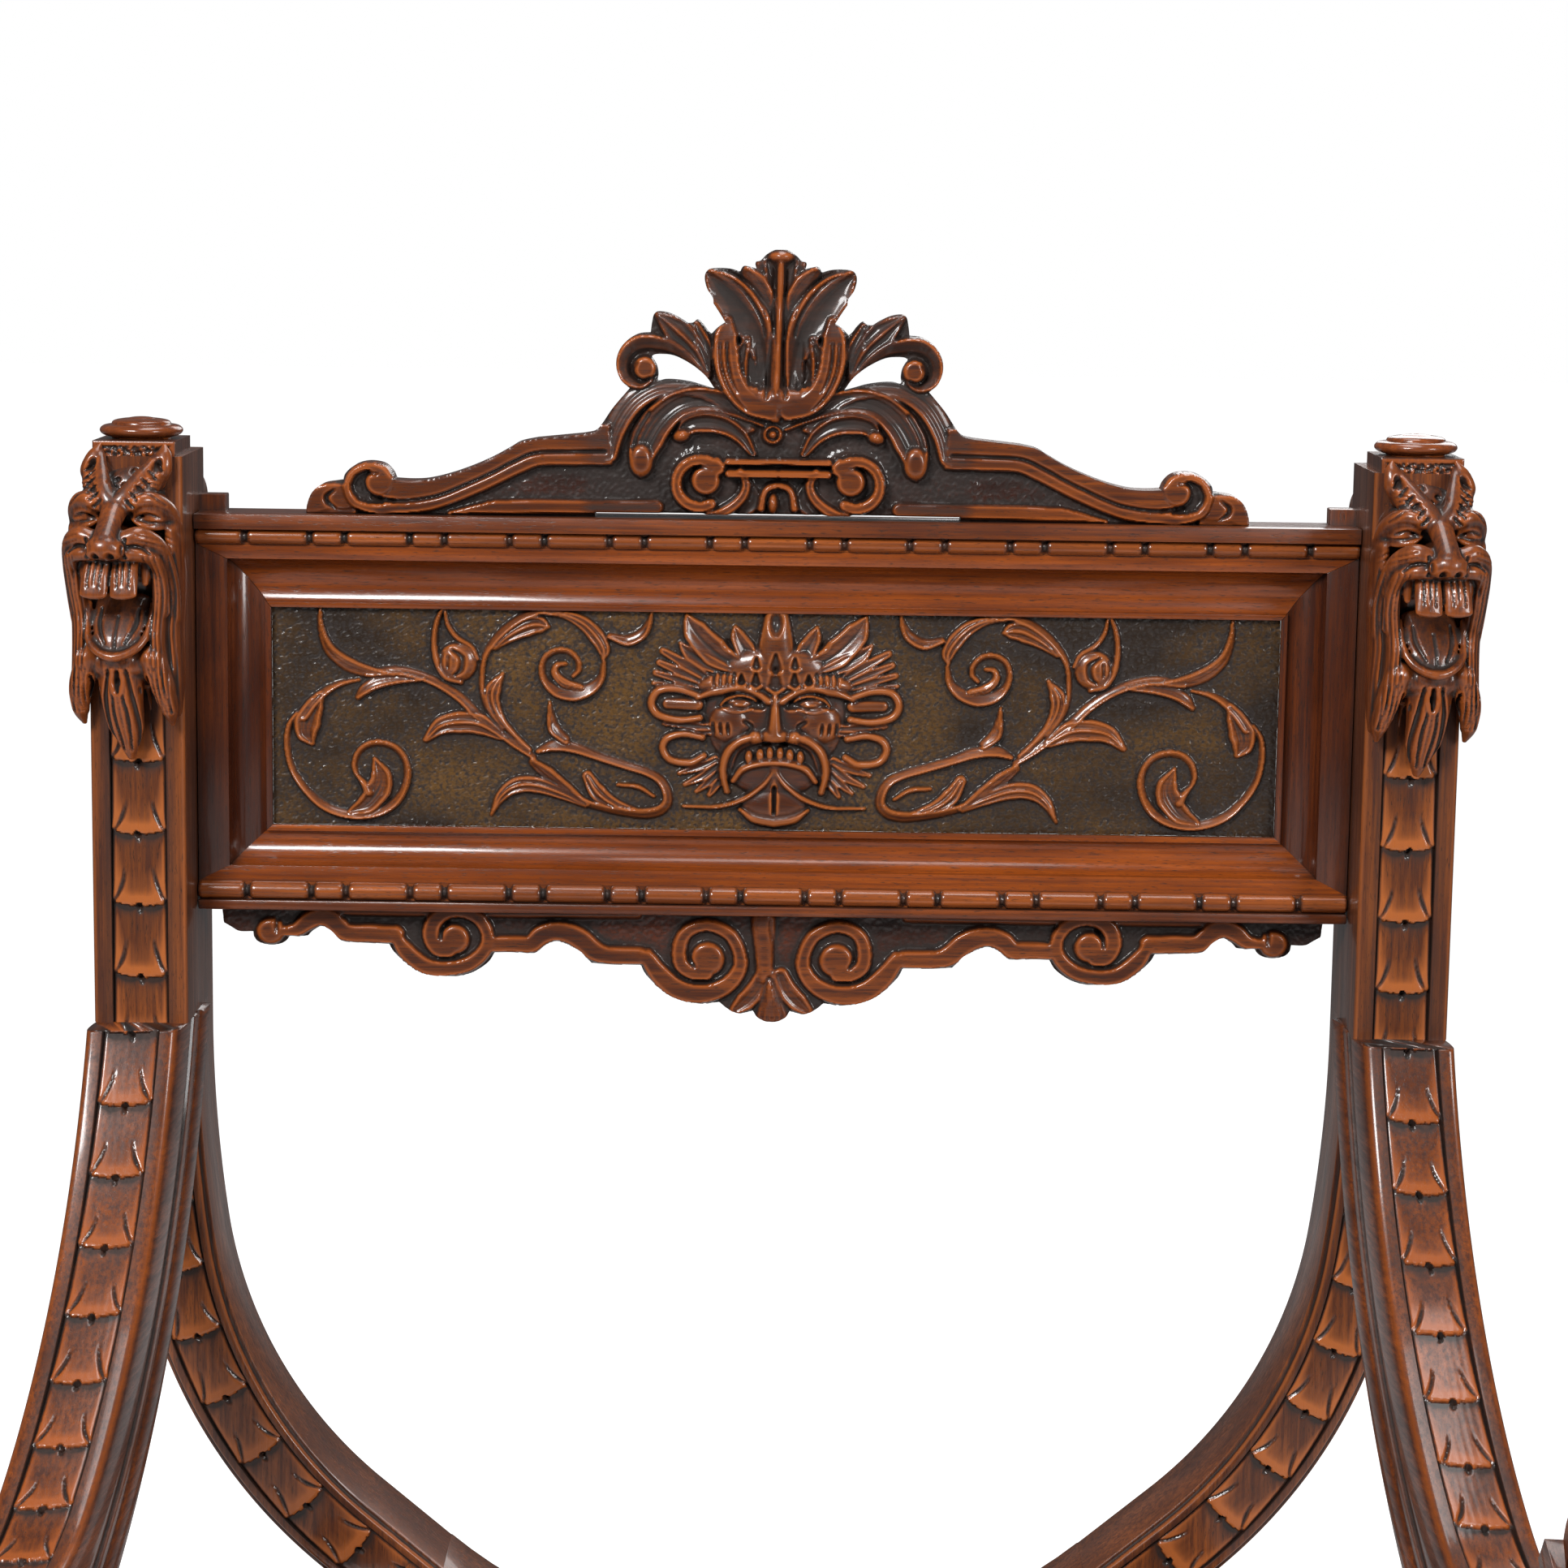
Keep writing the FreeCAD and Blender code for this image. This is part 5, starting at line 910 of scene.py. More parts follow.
MASK_RAYS = [
    ([(420, 560), (280, 470), (130, 385)], [26, 34, 18], [4.6, 3.8, 2.8]),
    ([(400, 575), (250, 510), (110, 452)], [24, 30, 17], [4.6, 3.8, 2.8]),
    ([(390, 595), (240, 552), (88, 512)], [22, 28, 16], [4.4, 3.6, 2.6]),
    ([(385, 612), (230, 592), (82, 572)], [20, 24, 14], [4.2, 3.4, 2.4]),
    ([(400, 820), (250, 812), (140, 806)], [22, 24, 12], [4.0, 3.2, 2.4]),
    ([(405, 850), (270, 862), (165, 872)], [18, 18, 10], [3.8, 3.0, 2.2]),
    ([(440, 1010), (330, 1060), (228, 1092)], [26, 26, 12], [4.0, 3.4, 2.4]),
    ([(450, 1040), (360, 1110), (262, 1158)], [26, 26, 12], [4.0, 3.4, 2.4]),
    ([(470, 1070), (400, 1140), (330, 1196)], [26, 26, 12], [4.2, 3.4, 2.4]),
    ([(490, 1100), (440, 1160), (405, 1216)], [26, 26, 14], [4.4, 3.6, 2.6]),
    ([(560, 470), (430, 390), (322, 280), (262, 178)], [50, 88, 74, 10], [5.0, 4.8, 4.0, 2.6]),
    ([(500, 500), (370, 440), (280, 390), (228, 338)], [40, 52, 40, 8], [4.8, 4.2, 3.6, 2.6]),
    ([(640, 440), (600, 370), (560, 300), (540, 238)], [44, 60, 44, 8], [5.2, 4.8, 4.2, 2.8]),
]


MASK_EARS = [
    ("stroke", [(340, 640), (220, 602), (110, 612), (68, 682), (105, 752), (220, 782), (345, 768)],
     [24, 26, 26, 26, 26, 24, 22], [4.6, 4.0, 3.4, 3.4, 3.6, 4.2], "round"),
    ("stroke", [(330, 690), (160, 690)], [40, 34], [3.4, 1.6], "round"),
    ("stroke", [(360, 880), (250, 862), (160, 890), (135, 950), (180, 1015), (290, 1030), (370, 990)],
     [22, 24, 24, 24, 24, 24, 20], [4.2, 3.6, 3.2, 3.2, 3.6, 4.0], "round"),
    ("dent", (500, 345), (42, 26), 1.8, -50),
]
MASK_MASSES = [
    ("boss", (775, 740), (405, 400), 4.4, 0, 2.6),
    ("boss", (775, 1010), (300, 220), 4.2, 0, 2.4),
    ("stroke", [(775, 420), (778, 300), (778, 175)], [120, 96, 70], [6.4, 6.2, 4.2], "round"),
    ("dent", (775, 215), (44, 78), 3.4),
    ("boss", (775, 490), (300, 150), 6.2, 0, 2.4),
]
MASK_CHEEKS = [
    ("boss", (520, 790), (130, 135), 6.0, 0, 2.2),
    ("boss", (470, 560), (150, 60), 6.2, 8),
]
MASK_EYES = [
    *[("cut", [(place, 500), (place - 6, 545), (place - 4, 590)], [5, 12, 5], 1.8) for place in (430, 466, 504, 541)],
    ("stroke", [(330, 650), (430, 606), (540, 596), (650, 618), (740, 662)], [16, 36, 40, 38, 30],
     [4.8, 6.6, 7.2, 7.6, 7.6], "round"),
    ("cut", [(450, 690), (520, 648), (590, 642), (660, 668), (700, 690)], [20, 48, 56, 46, 22], 3.4, 2.4),
    ("boss", (568, 676), (86, 36), 5.7, -4),
    ("stroke", [(462, 694), (500, 652), (570, 632), (640, 646), (690, 684)], [5, 9, 10, 9, 5],
     [5.4, 6.3, 6.5, 6.3, 5.4], "round"),
    ("stroke", [(470, 704), (520, 722), (590, 724), (650, 706)], [5, 9, 9, 5], [5.2, 6.0, 6.0, 5.2], "round"),
    ("cut", [(520, 680), (570, 668), (620, 680)], [4, 9, 4], 0.9),
    ("dent", (684, 672), (22, 18), 2.6),
    *[("cut", [(place, 792), (place + 2, 822), (place + 6, 856)], [5, 13, 5], 2.0) for place in (420, 462, 504)],
    ("boss", (664, 872), (58, 48), 8.0),
    ("stroke", [(655, 868), (580, 892), (518, 946), (486, 1020), (482, 1096), (504, 1192)], [34, 34, 30, 28, 26, 20],
     [7.4, 7.0, 6.8, 6.4, 6.0, 4.6], "round"),
    ("cut", [(600, 780), (640, 812), (618, 850)], [8, 16, 8], 1.6),
]
MASK_MOUTH = [
    ("stroke", [(775, 640), (775, 720), (775, 800), (775, 860)], [32, 36, 46, 62], [7.4, 8.2, 8.8, 9.2], "round"),
    ("boss", (775, 862), (96, 56), 9.2),
    ("level", [(556, 1075), (604, 985), (690, 950), (775, 944), (860, 950), (946, 985), (994, 1075)],
     [30, 42, 46, 46, 46, 42, 30], 1.2),
    *[("boss", (place, 968 + abs(place - 775) * 0.16), (size, 44), 5.6, 0, 4) for place, size in ((628, 24), (692, 27),
      (748, 24), (806, 24), (862, 27), (922, 24))],
    ("stroke", [(538, 1130), (596, 1058), (690, 1026), (775, 1020), (860, 1026), (954, 1058), (1012, 1130)],
     [18, 24, 26, 26, 26, 24, 18], [5.0, 6.2, 6.6, 6.4, 6.6, 6.2, 5.0], "round"),
]
MASK_WHISKERS = [
    ("dent", (724, 912), (30, 15), 3.4),
    ("stroke", [(580, 1300), (660, 1350), (775, 1372)], [10, 30, 32], [3.2, 4.0, 4.2], "round"),
    ("stroke", [(775, 1064), (712, 1150), (600, 1236), (450, 1284), (252, 1286)], [22, 20, 17, 13, 7],
     [5.4, 5.0, 4.6, 4.2, 3.0], "round"),
]
MASK_CHIN = [
    ("boss", (775, 1265), (190, 96), 3.6, 0, 3),
    ("stroke", [(775, 1050), (775, 1150)], [44, 30], [5.4, 4.6], "round"),
    ("cut", [(775, 1160), (775, 1240), (775, 1318)], [8, 14, 10], 3.0, 0.6),
]


def carve_mask(relief):
    """Grotesque mask among leaf rays, in the middle of the field."""
    relief.spot, relief.unit = mask_spot, 1 / MASK_UNITS
    for _ in relief.both_halves():
        for points, widths, heights in MASK_RAYS:
            relief.stroke(points, widths, heights, "hollow", 0.0, (0.0,) if widths[1] > 45 else ())
        relief.draw(MASK_EARS)
    relief.draw(MASK_MASSES)
    for _ in relief.both_halves():
        relief.draw(MASK_CHEEKS)
    for row, shift, size in ((452, -110, 26), (452, 0, 40), (452, 110, 26), (545, -195, 24), (545, -112, 30),
                             (545, 0, 46), (545, 108, 30), (545, 190, 24)):
        drop = 775 + shift
        relief.cut([(drop, row - size * 1.5), (drop, row - size * 0.4), (drop, row + size * 0.5)],
                   [size * 0.25, size * 0.75, size], 2.3)
        relief.stroke([(drop - size, row + size), (drop, row + size * 1.5), (drop + size, row + size)],
                      [9, 11, 9], [0.5, 0.8, 0.5], "round", 6.1)
    for _ in relief.both_halves():
        relief.draw(MASK_EYES)
    relief.draw(MASK_MOUTH)
    for _ in relief.both_halves():
        relief.draw(MASK_WHISKERS)
    relief.draw(MASK_CHIN)


SCROLL_BUDS = [
    ("boss", (576, 240), (62, 62), 4.6),
    ("cut", [(560, 200), (590, 225), (586, 262), (566, 280)], [4, 13, 12, 4], 2.2),
    ("cut", [(548, 222), (546, 256)], [5, 5], 1.6),
    ("cut", [(532, 210), (524, 250), (545, 285)], [3, 6, 3], 1.0),
]


def carved_board():
    """The field board's carved face and its plain back."""
    relief = Relief(FIELD_LEFT, FIELD_FOOT, -FIELD_LEFT, FIELD_TOP, FIELD_STEP, field_spot)
    relief.unit = 1 / FIELD_UNITS
    for _ in relief.both_halves():
        for points, widths, heights, shape, gouges in SCROLLS:
            relief.stroke(points, widths, heights, shape, 0.0, gouges)
        relief.draw(SCROLL_BUDS)
    carve_mask(relief)
    carved = relief.height > 0.6
    chance = np.random.default_rng(5)
    pits = blurred(chance.normal(0, 1, relief.height.shape), 1)
    waves = blurred(chance.normal(0, 1, relief.height.shape), 9) * 4.2
    relief.soften()
    clear = 1 - np.clip(blurred(carved.astype(float), 1) * 1.6, 0, 1)
    relief.height += clear * (pits * 0.3 + waves * 0.16)
    relief.ground = clear
    # Dirt and painted shade in the hollows, a painted highlight on the edges, and the pits of the punched ground
    # darker.
    relief.dirt = dirt_shade_wear_and_highlight(relief.height, (3, 9), 0.42, 0.6) + clear * np.clip(-pits * 0.3, 0, 0.2)
    cuts = (0, int(relief.columns * 0.36), int(relief.columns * 0.64), relief.columns - 1)
    for name, first, last in zip(("left", "middle", "right"), cuts[:-1], cuts[1:]):
        piece = backed(relief.piece("field_" + name, FIELD_FRONT, first, last + 1), FIELD_REAR)
        finished(piece, "back", carved_field, "field_walnut", "field_board")


carved_board()


# ---------------------------------------------------------------- carved boards with a sawn outline

def closed_line(points, spacing=0.5):
    """Outline with straight runs between its points, sampled closely."""
    places = []
    for a, b in zip(points, points[1:] + points[:1]):
        count = max(1, int(math.hypot(b[0] - a[0], b[1] - a[1]) / spacing))
        for index in range(count):
            places.append((a[0] + (b[0] - a[0]) * index / count, a[1] + (b[1] - a[1]) * index / count))
    return np.array(places)


def rounded(points, spacing=0.5):
    """Rounded open line through drawn places."""
    return [tuple(place) for place in smooth_line(points, spacing)[0]]


def sawn(relief, outlines, arris=1.1):
    """Cells inside the outlines, each with its nearest place on them; rounds the arrises."""
    toggles = np.zeros((relief.rows, relief.columns + 1), int)
    near = np.full(relief.height.shape, 9.0)
    edge_x, edge_z = np.zeros_like(near), np.zeros_like(near)
    for outline in outlines:
        for a, b in zip(outline, np.roll(outline, -1, 0)):
            low, high = min(a[1], b[1]), max(a[1], b[1])
            first, last = np.searchsorted(relief.z, low), np.searchsorted(relief.z, high)
            if last > first:
                rows = np.arange(first, last)
                x = a[0] + (b[0] - a[0]) * (relief.z[rows] - a[1]) / (b[1] - a[1])
                toggles[rows, np.searchsorted(relief.x, x)] += 1
            part, x, z = relief.cells(np.minimum(a, b) - 1.6, np.maximum(a, b) + 1.6)
            run = b - a
            share = np.clip(((x - a[0]) * run[0] + (z - a[1]) * run[1]) / max(run @ run, 1e-9), 0, 1)
            px, pz = a[0] + run[0] * share, a[1] + run[1] * share
            away = np.hypot(x - px, z - pz)
            better = away < near[part]
            near[part] = np.where(better, away, near[part])
            edge_x[part] = np.where(better, px, edge_x[part])
            edge_z[part] = np.where(better, pz, edge_z[part])
    inside = np.cumsum(toggles, axis=1)[:, :-1] % 2 == 1
    worn = np.clip(1 - near / arris, 0, 1)
    relief.height = relief.height - inside * 0.55 * (1 - np.sqrt(np.clip(1 - worn ** 2, 0, 1)))
    return inside, near, edge_x, edge_z


def sawn_piece(relief, name, front, rear, edges, first, last):
    """Carved piece cut to its outline, between two columns of the map."""
    inside, near, edge_x, edge_z = edges
    part = slice(first, last)
    fits = (inside | (near < relief.step * 0.45))[:, part]
    whole = fits[:-1, :-1] & fits[1:, :-1] & fits[:-1, 1:] & fits[1:, 1:]
    count = np.zeros(fits.shape, int)
    for rows in (slice(0, -1), slice(1, None)):
        for columns in (slice(0, -1), slice(1, None)):
            count[rows, columns] += whole
    full = np.full(fits.shape, 4)
    full[:, 0] = full[:, -1] = 2
    rim = (count > 0) & (count < full) & (near[:, part] < relief.step * 1.5)
    x, z = np.meshgrid(relief.x[part], relief.z)
    x, z = np.where(rim, edge_x[:, part], x), np.where(rim, edge_z[:, part], z)
    piece = grid_piece(name, np.stack((x, front - relief.height[:, part], z), -1))
    note(piece, "recess", relief.dirt[:, part])
    note(piece, "ground", relief.ground[:, part])
    alone(piece)
    bpy.ops.object.mode_set(mode="EDIT")
    bpy.ops.mesh.select_mode(type="FACE")
    bpy.ops.object.mode_set(mode="OBJECT")
    piece.data.vertices.foreach_set("select", np.zeros(len(piece.data.vertices), bool))
    piece.data.edges.foreach_set("select", np.zeros(len(piece.data.edges), bool))
    piece.data.polygons.foreach_set("select", ~whole.ravel())
    bpy.ops.object.mode_set(mode="EDIT")
    bpy.ops.mesh.delete(type="FACE")
    leave_edit()
    return backed(piece, rear)


def left_outline(drawings, half, foot, top, corner):
    """Left half of a board's outline, kept within the board and begun at its corner."""
    edge = [place for spot, stretches in drawings for stretch in stretches
            for place in rounded([spot(point) for point in stretch])]
    edge = [(max(-half, min(0.0, x)), max(foot, min(top, z))) for x, z in edge]
    edge[0] = corner
    return edge


def ground_grain(relief, level, seed, rough=0.3):
    """Punched ground where the carving lies low."""
    chance = np.random.default_rng(seed)
    pits = blurred(chance.normal(0, 1, relief.height.shape), 1)
    low = np.clip((level - relief.height) / 0.8, 0, 1)
    relief.height += low * pits * rough
    relief.ground = low


# ---------------------------------------------------------------- crest

CREST_HALF, CREST_FOOT, CREST_TOP, CREST_STEP = 209.0, 925.0, 1043.0, 0.5
CREST_FRONT, CREST_REAR = 160.0, 171.0
CREST_UNITS, WING_UNITS = 9.5, 10.88
PLINTH_HALF, PLINTH_TOP, MIDDLE_HALF = 81.0, 927.0, 88


def crest_spot(point):
    """Place of a point of the crest's drawing."""
    u, v = point
    return -79.2 + 0.105714 * u - 0.000958 * v, 1050.4 + 0.001082 * u - 0.104594 * v


def wing_spot(point):
    """Place of a point of the drawing of a crest's wing."""
    u, v = point
    return crest_spot((0.8697 * u - 1227.2, 886.3 + 0.8697 * v))


WING_EDGE = [(14, 345), (20, 300), (42, 245), (88, 207), (150, 195), (190, 190), (196, 160), (226, 126), (270, 103),
             (326, 97), (384, 110), (422, 146), (438, 181), (520, 185), (600, 180), (700, 156), (800, 121),
             (900, 77), (985, 30), (1040, -2), (1120, -20)]
CREST_LEFT_EDGE = [[(-60, 850), (-10, 838), (20, 803), (60, 742), (108, 684), (132, 656)],
                   [(132, 656), (96, 622), (76, 572), (76, 528), (92, 486), (122, 453), (165, 430), (214, 425)],
                   [(214, 425), (219, 382), (228, 345), (250, 337), (292, 345), (336, 366), (366, 386)],
                   [(366, 386), (388, 384), (408, 371), (432, 392), (450, 416), (466, 431)],
                   [(466, 431), (492, 404), (526, 380)],
                   [(526, 380), (498, 336), (474, 300)],
                   [(474, 300), (470, 274), (446, 238), (435, 192), (448, 162), (490, 155), (540, 158), (580, 170)],
                   [(580, 170), (594, 147), (622, 150), (650, 158)],
                   [(650, 158), (644, 130), (664, 124), (690, 98), (722, 80), (752, 75)]]
CREST_VOID = [(216, 528), (232, 515), (268, 513), (310, 518), (354, 536), (402, 565), (446, 602), (474, 640),
              (484, 660), (440, 649), (390, 634), (330, 624), (280, 622), (246, 628), (247, 600), (242, 570),
              (230, 545)]

CREST_STROKES = [
    ([(46, 930), (74, 822), (140, 716), (236, 652), (336, 640), (430, 655), (520, 700), (620, 790)],
     [44, 52, 54, 54, 52, 48, 46, 60], [5.4, 5.8, 5.8, 5.6, 5.2, 4.6, 4.0], "lean", (-0.2, 0.35)),
    ([(735, 812), (640, 760), (540, 720), (440, 702), (340, 722), (262, 784), (212, 862), (186, 940), (182, 1030)],
     [26, 40, 50, 56, 62, 70, 74, 58, 8], [5.4, 6.4, 7.2, 7.6, 7.6, 7.4, 7.2, 5.0], "hollow",
     (-0.35, -0.05, 0.3, 0.6)),
    ([(650, 930), (600, 858), (530, 812), (450, 798), (380, 812), (328, 866)],
     [16, 32, 42, 46, 40, 10], [5.4, 6.8, 7.6, 7.4, 5.6], "hollow", (-0.4, 0.0, 0.4)),
    ([(756, 770), (752, 640), (750, 500), (750, 360), (752, 220), (752, 110)],
     [50, 150, 150, 150, 120, 104], [3.8, 3.8, 3.8, 4.6], "hollow", (-0.8, -0.62, -0.45, -0.3, 0.3, 0.45, 0.62, 0.8)),
    ([(725, 700), (700, 560), (660, 430), (590, 330), (515, 245), (447, 182)],
     [20, 46, 74, 92, 74, 12], [4.4, 5.0, 5.4, 5.4, 4.2], "hollow", ()),
    ([(726, 480), (718, 380), (690, 290), (650, 220), (610, 170)],
     [12, 34, 50, 52, 26], [5.2, 6.0, 6.4, 6.0], "lean", (0.3,)),
    ([(716, 660), (714, 560), (702, 460), (668, 362), (612, 280), (540, 214), (456, 166)],
     [12, 22, 34, 44, 46, 36, 12], [6.4, 7.2, 7.7, 7.4, 6.0], "lean", ()),
    ([(744, 560), (742, 420), (738, 300), (722, 190), (700, 128)], [8, 20, 34, 42, 22], [4.4, 5.2, 5.6, 5.4, 5.0],
     "hollow", (-0.3, 0.3)),
    ([(460, 600), (404, 494), (330, 418), (243, 348)], [14, 44, 66, 14], [4.0, 5.6, 6.0, 4.0], "leaf", (-0.5, 0.5)),
    ([(460, 580), (438, 480), (404, 384)], [12, 38, 12], [4.4, 5.8, 4.2], "hollow", ()),
    ([(470, 640), (400, 556), (320, 492), (240, 466), (164, 468), (112, 512), (98, 572), (122, 622), (176, 640),
      (216, 618)],
     [10, 18, 26, 34, 36, 32, 28, 24, 20, 14], [4.0, 5.0, 5.6, 5.8, 5.6, 5.2], "lean", ()),
    ([(534, 372), (528, 440), (530, 520), (548, 600), (586, 672), (640, 724), (716, 750)],
     [22, 50, 58, 54, 50, 46, 40], [5.2, 6.6, 7.0, 7.4, 7.6, 7.4], "flat", ()),
    ([(616, 450), (596, 510), (590, 580), (602, 640), (632, 684)], [16, 30, 32, 28, 14], [6.8, 7.4, 7.2, 6.4], "hollow",
     ()),
    ([(640, 672), (670, 702), (750, 706)], [40, 56, 62], [7.0, 7.6, 7.8], "round", ()),
]


WING_MARKS = [
    ("stroke", [(1450, 8), (1300, 8), (1120, 26), (1000, 76), (800, 172), (600, 238), (470, 246)],
     [104, 104, 90, 86, 86, 96, 98], [4.4, 4.4, 4.2], "flat"),
    ("level", [(1562, -60), (1582, 130)], [92, 92], 0.0, 0.05),
    ("stroke", [(40, 292), (110, 264), (200, 264)], [60, 64, 64], [3.0, 3.4], "flat"),
    ("stroke", [(20, 334), (230, 334)], [30, 30], [2.6], "flat"),
    ("level", [(352, 150), (306, 150), (264, 186), (258, 226), (290, 264), (350, 280)], [5, 15, 27, 29, 21, 7], 0.4,
     0.3),
    ("cut", [(1450, 40), (1300, 42), (1120, 48), (1010, 92), (900, 150), (780, 205), (680, 248), (600, 270),
     (500, 284), (400, 283), (330, 270)], [9, 9], 2.4),
    ("stroke", [(550, 314), (430, 322), (330, 322), (250, 294), (216, 240), (216, 190), (246, 142), (310, 116),
     (380, 134), (418, 180)], [29, 28, 25, 21, 19, 19, 19, 20, 22, 20], [4.2, 4.4, 4.8, 5.0, 5.0, 5.0, 4.8, 4.8],
     "flat"),
    ("boss", (368, 192), (71, 71), 5.0, 0, 12),
    ("cut", [(356, 152), (318, 152), (290, 180), (286, 222), (312, 256), (372, 272), (440, 284)],
     [4, 7, 9, 11, 9, 8, 7], 3.4, 0.4),
    ("cut", [(152, 228), (112, 262), (120, 295), (156, 320)], [3, 12, 12, 3], 2.6),
    ("stroke", [(1700, 312), (1000, 312), (860, 320), (700, 345)], [34, 34, 26, 8], [2.8, 2.8, 2.6, 2.0], "flat"),
]


def carve_wing(relief):
    """Moulded band, curl and base strip of a crest's wing."""
    relief.spot, relief.unit = wing_spot, 1 / WING_UNITS
    relief.draw(WING_MARKS)


VOLUTE_RING = [(432 + 99 * math.cos(turn), 1054 - 99 * math.sin(turn))
               for turn in np.radians(np.arange(38, 300, 20))]
BUTTON_RING = [(732 + 33 * math.cos(turn), 848 - 33 * math.sin(turn)) for turn in np.radians(np.arange(0, 361, 30))]


CREST_SIDE_MARKS = [
    ("cut", [(146, 900), (160, 830), (214, 756)], [16, 26, 12], 3.0, 1.5),
    ("boss", (185, 958), (54, 74), 7.4, 0, 5),
    ("boss", (352, 852), (40, 30), 7.8, 20),
    ("cut", [(648, 538), (640, 590), (650, 640)], [6, 17, 8], 9.0, 0.0),
    ("cut", [(664, 470), (672, 560), (676, 650)], [10, 20, 12], 2.6, 1.6),
    *[("cut", line, [4, 9, 10, 8, 3], 2.0) for line in ([(505, 464), (513, 560), (537, 634), (575, 698), (617, 741)],
      [(534, 458), (537, 538), (553, 613), (580, 670)], [(479, 165), (564, 213), (628, 282), (676, 368), (694, 440)],
      [(530, 168), (600, 208), (662, 282), (698, 362)])],
    ("boss", (193, 572), (52, 52), 6.0, 0, 9),
    ("cut", [(160, 545), (146, 585), (176, 622), (216, 612)], [6, 11, 11, 6], 2.4),
    ("level", [(450, 1045), (451, 1045)], [150, 150], 0.8, 0.1),
    ("stroke", [(600, 1000), (626, 1060), (604, 1120), (540, 1172), (470, 1190)], [18, 22, 24, 26, 20],
     [5.6, 5.8, 6.0, 6.2], "band", 0.0, (0.0,)),
    ("stroke", VOLUTE_RING, [26, 25, 24, 24, 24, 25, 26, 26, 24], [7.2, 7.4, 7.4, 7.4, 7.0], "flat"),
    ("boss", (456, 1042), (63, 63), 7.4, 0, 12),
    ("stroke", [(500, 1006), (516, 984), (500, 962)], [18, 22, 20], [7.4, 7.4], "flat"),
    ("stroke", [(552, 1012), (750, 1014)], [18, 18], [7.2, 7.2], "flat"),
    ("stroke", [(546, 964), (750, 963)], [14, 14], [7.2, 7.2], "flat"),
    ("stroke", [(610, 1190), (660, 1130), (640, 1060)], [22, 34, 14], [2.0, 3.0, 2.4], "hollow"),
    ("stroke", [(690, 1160), (700, 1100), (720, 1074), (752, 1064)], [18, 16, 16, 16], [5.2, 5.4, 5.4], "band"),
]
CREST_MIDDLE_MARKS = [
    ("stroke", [(752, 128), (748, 400), (742, 640), (740, 776)], [20, 18, 22, 30], [7.0, 7.6, 8.0, 7.4], "round", 0.0,
     (-0.4, 0.4)),
    *[("cut", [(750 + turn * 22, 140), (746 + turn * 26, 420), (740 + turn * 40, 690)], [6, 8, 11], 1.6)
      for turn in (-1, 1)],
    ("boss", (752, 104), (62, 32), 7.8),
    ("level", [(732, 848), (733, 848)], [50, 50], 1.6, 0.1),
    ("stroke", BUTTON_RING, [9, 9], [5.4, 5.4], "round"),
    ("boss", (732, 848), (21, 21), 7.2),
    ("boss", (738, 1140), (24, 46), 5.6),
]


def carved_crest():
    """Pierced crest: palmette, side leaves, curls, draped leaves, volutes and wings."""
    relief = Relief(-CREST_HALF, CREST_FOOT, CREST_HALF, CREST_TOP, CREST_STEP, crest_spot)
    for _ in relief.both_halves():
        carve_wing(relief)
        relief.spot, relief.unit = crest_spot, 1 / CREST_UNITS
        for points, widths, heights, shape, gouges in CREST_STROKES:
            relief.stroke(points, widths, heights, shape, 0.0, gouges)
        relief.draw(CREST_SIDE_MARKS)
    relief.draw(CREST_MIDDLE_MARKS)
    relief.soften()
    ground_grain(relief, 1.2, 17)

    half = left_outline(((wing_spot, (WING_EDGE[:6], WING_EDGE[5:13], WING_EDGE[12:])), (crest_spot, CREST_LEFT_EDGE)),
                        CREST_HALF, CREST_FOOT, CREST_TOP, (-CREST_HALF, CREST_FOOT))
    around = half + [(-x, z) for x, z in half[::-1]] + [
        (PLINTH_HALF, CREST_FOOT), (PLINTH_HALF, PLINTH_TOP), (-PLINTH_HALF, PLINTH_TOP), (-PLINTH_HALF, CREST_FOOT)]
    void = rounded([crest_spot(point) for point in CREST_VOID + CREST_VOID[:1]])[:-1]
    outlines = [closed_line(around), np.array(void), np.array([(-x, z) for x, z in void])]
    edges = sawn(relief, outlines)
    # Dirt and painted shade in the hollows and a painted highlight on the edges; the middle is painted darker where it
    # lies below the top of its carving.
    relief.dirt = dirt_shade_wear_and_highlight(relief.height, (2, 5, 11), 0.42, 0.36)
    inward = np.clip((MIDDLE_HALF - np.abs(relief.x)) / 6, 0, 1)[None, :]
    relief.dirt += inward * np.clip((6.8 - relief.height) * 0.055, 0.0, 0.19)
    middle = relief.columns // 2
    reach = int(MIDDLE_HALF / relief.step)
    cuts = (0, middle - reach, middle + reach, relief.columns - 1)
    for name, first, last in zip(("left_wing", "middle", "right_wing"), cuts[:-1], cuts[1:]):
        piece = sawn_piece(relief, "crest_" + name, CREST_FRONT, CREST_REAR, edges, first, last + 1)
        finished(piece, "back", carved_crest_walnut, "carved_walnut", "crest")


# ---------------------------------------------------------------- apron

APRON_HALF, APRON_FOOT, APRON_TOP, APRON_STEP = 248.0, 697.5, 748.0, 0.55
APRON_FRONT, APRON_REAR = 159.0, 174.0
APRON_UNITS, END_SHARE = 11.0, 1.3


def apron_spot(point):
    """Place of a point of the apron's drawing."""
    u, v = point
    return -74.76 + 0.090878 * u + 0.007041 * v, 758.31 + 0.00115 * u - 0.094043 * v


def apron_end_spot(point):
    """Place of a point of the drawing of an apron's end."""
    return apron_spot((END_SHARE * point[0] - 1960, END_SHARE * point[1]))


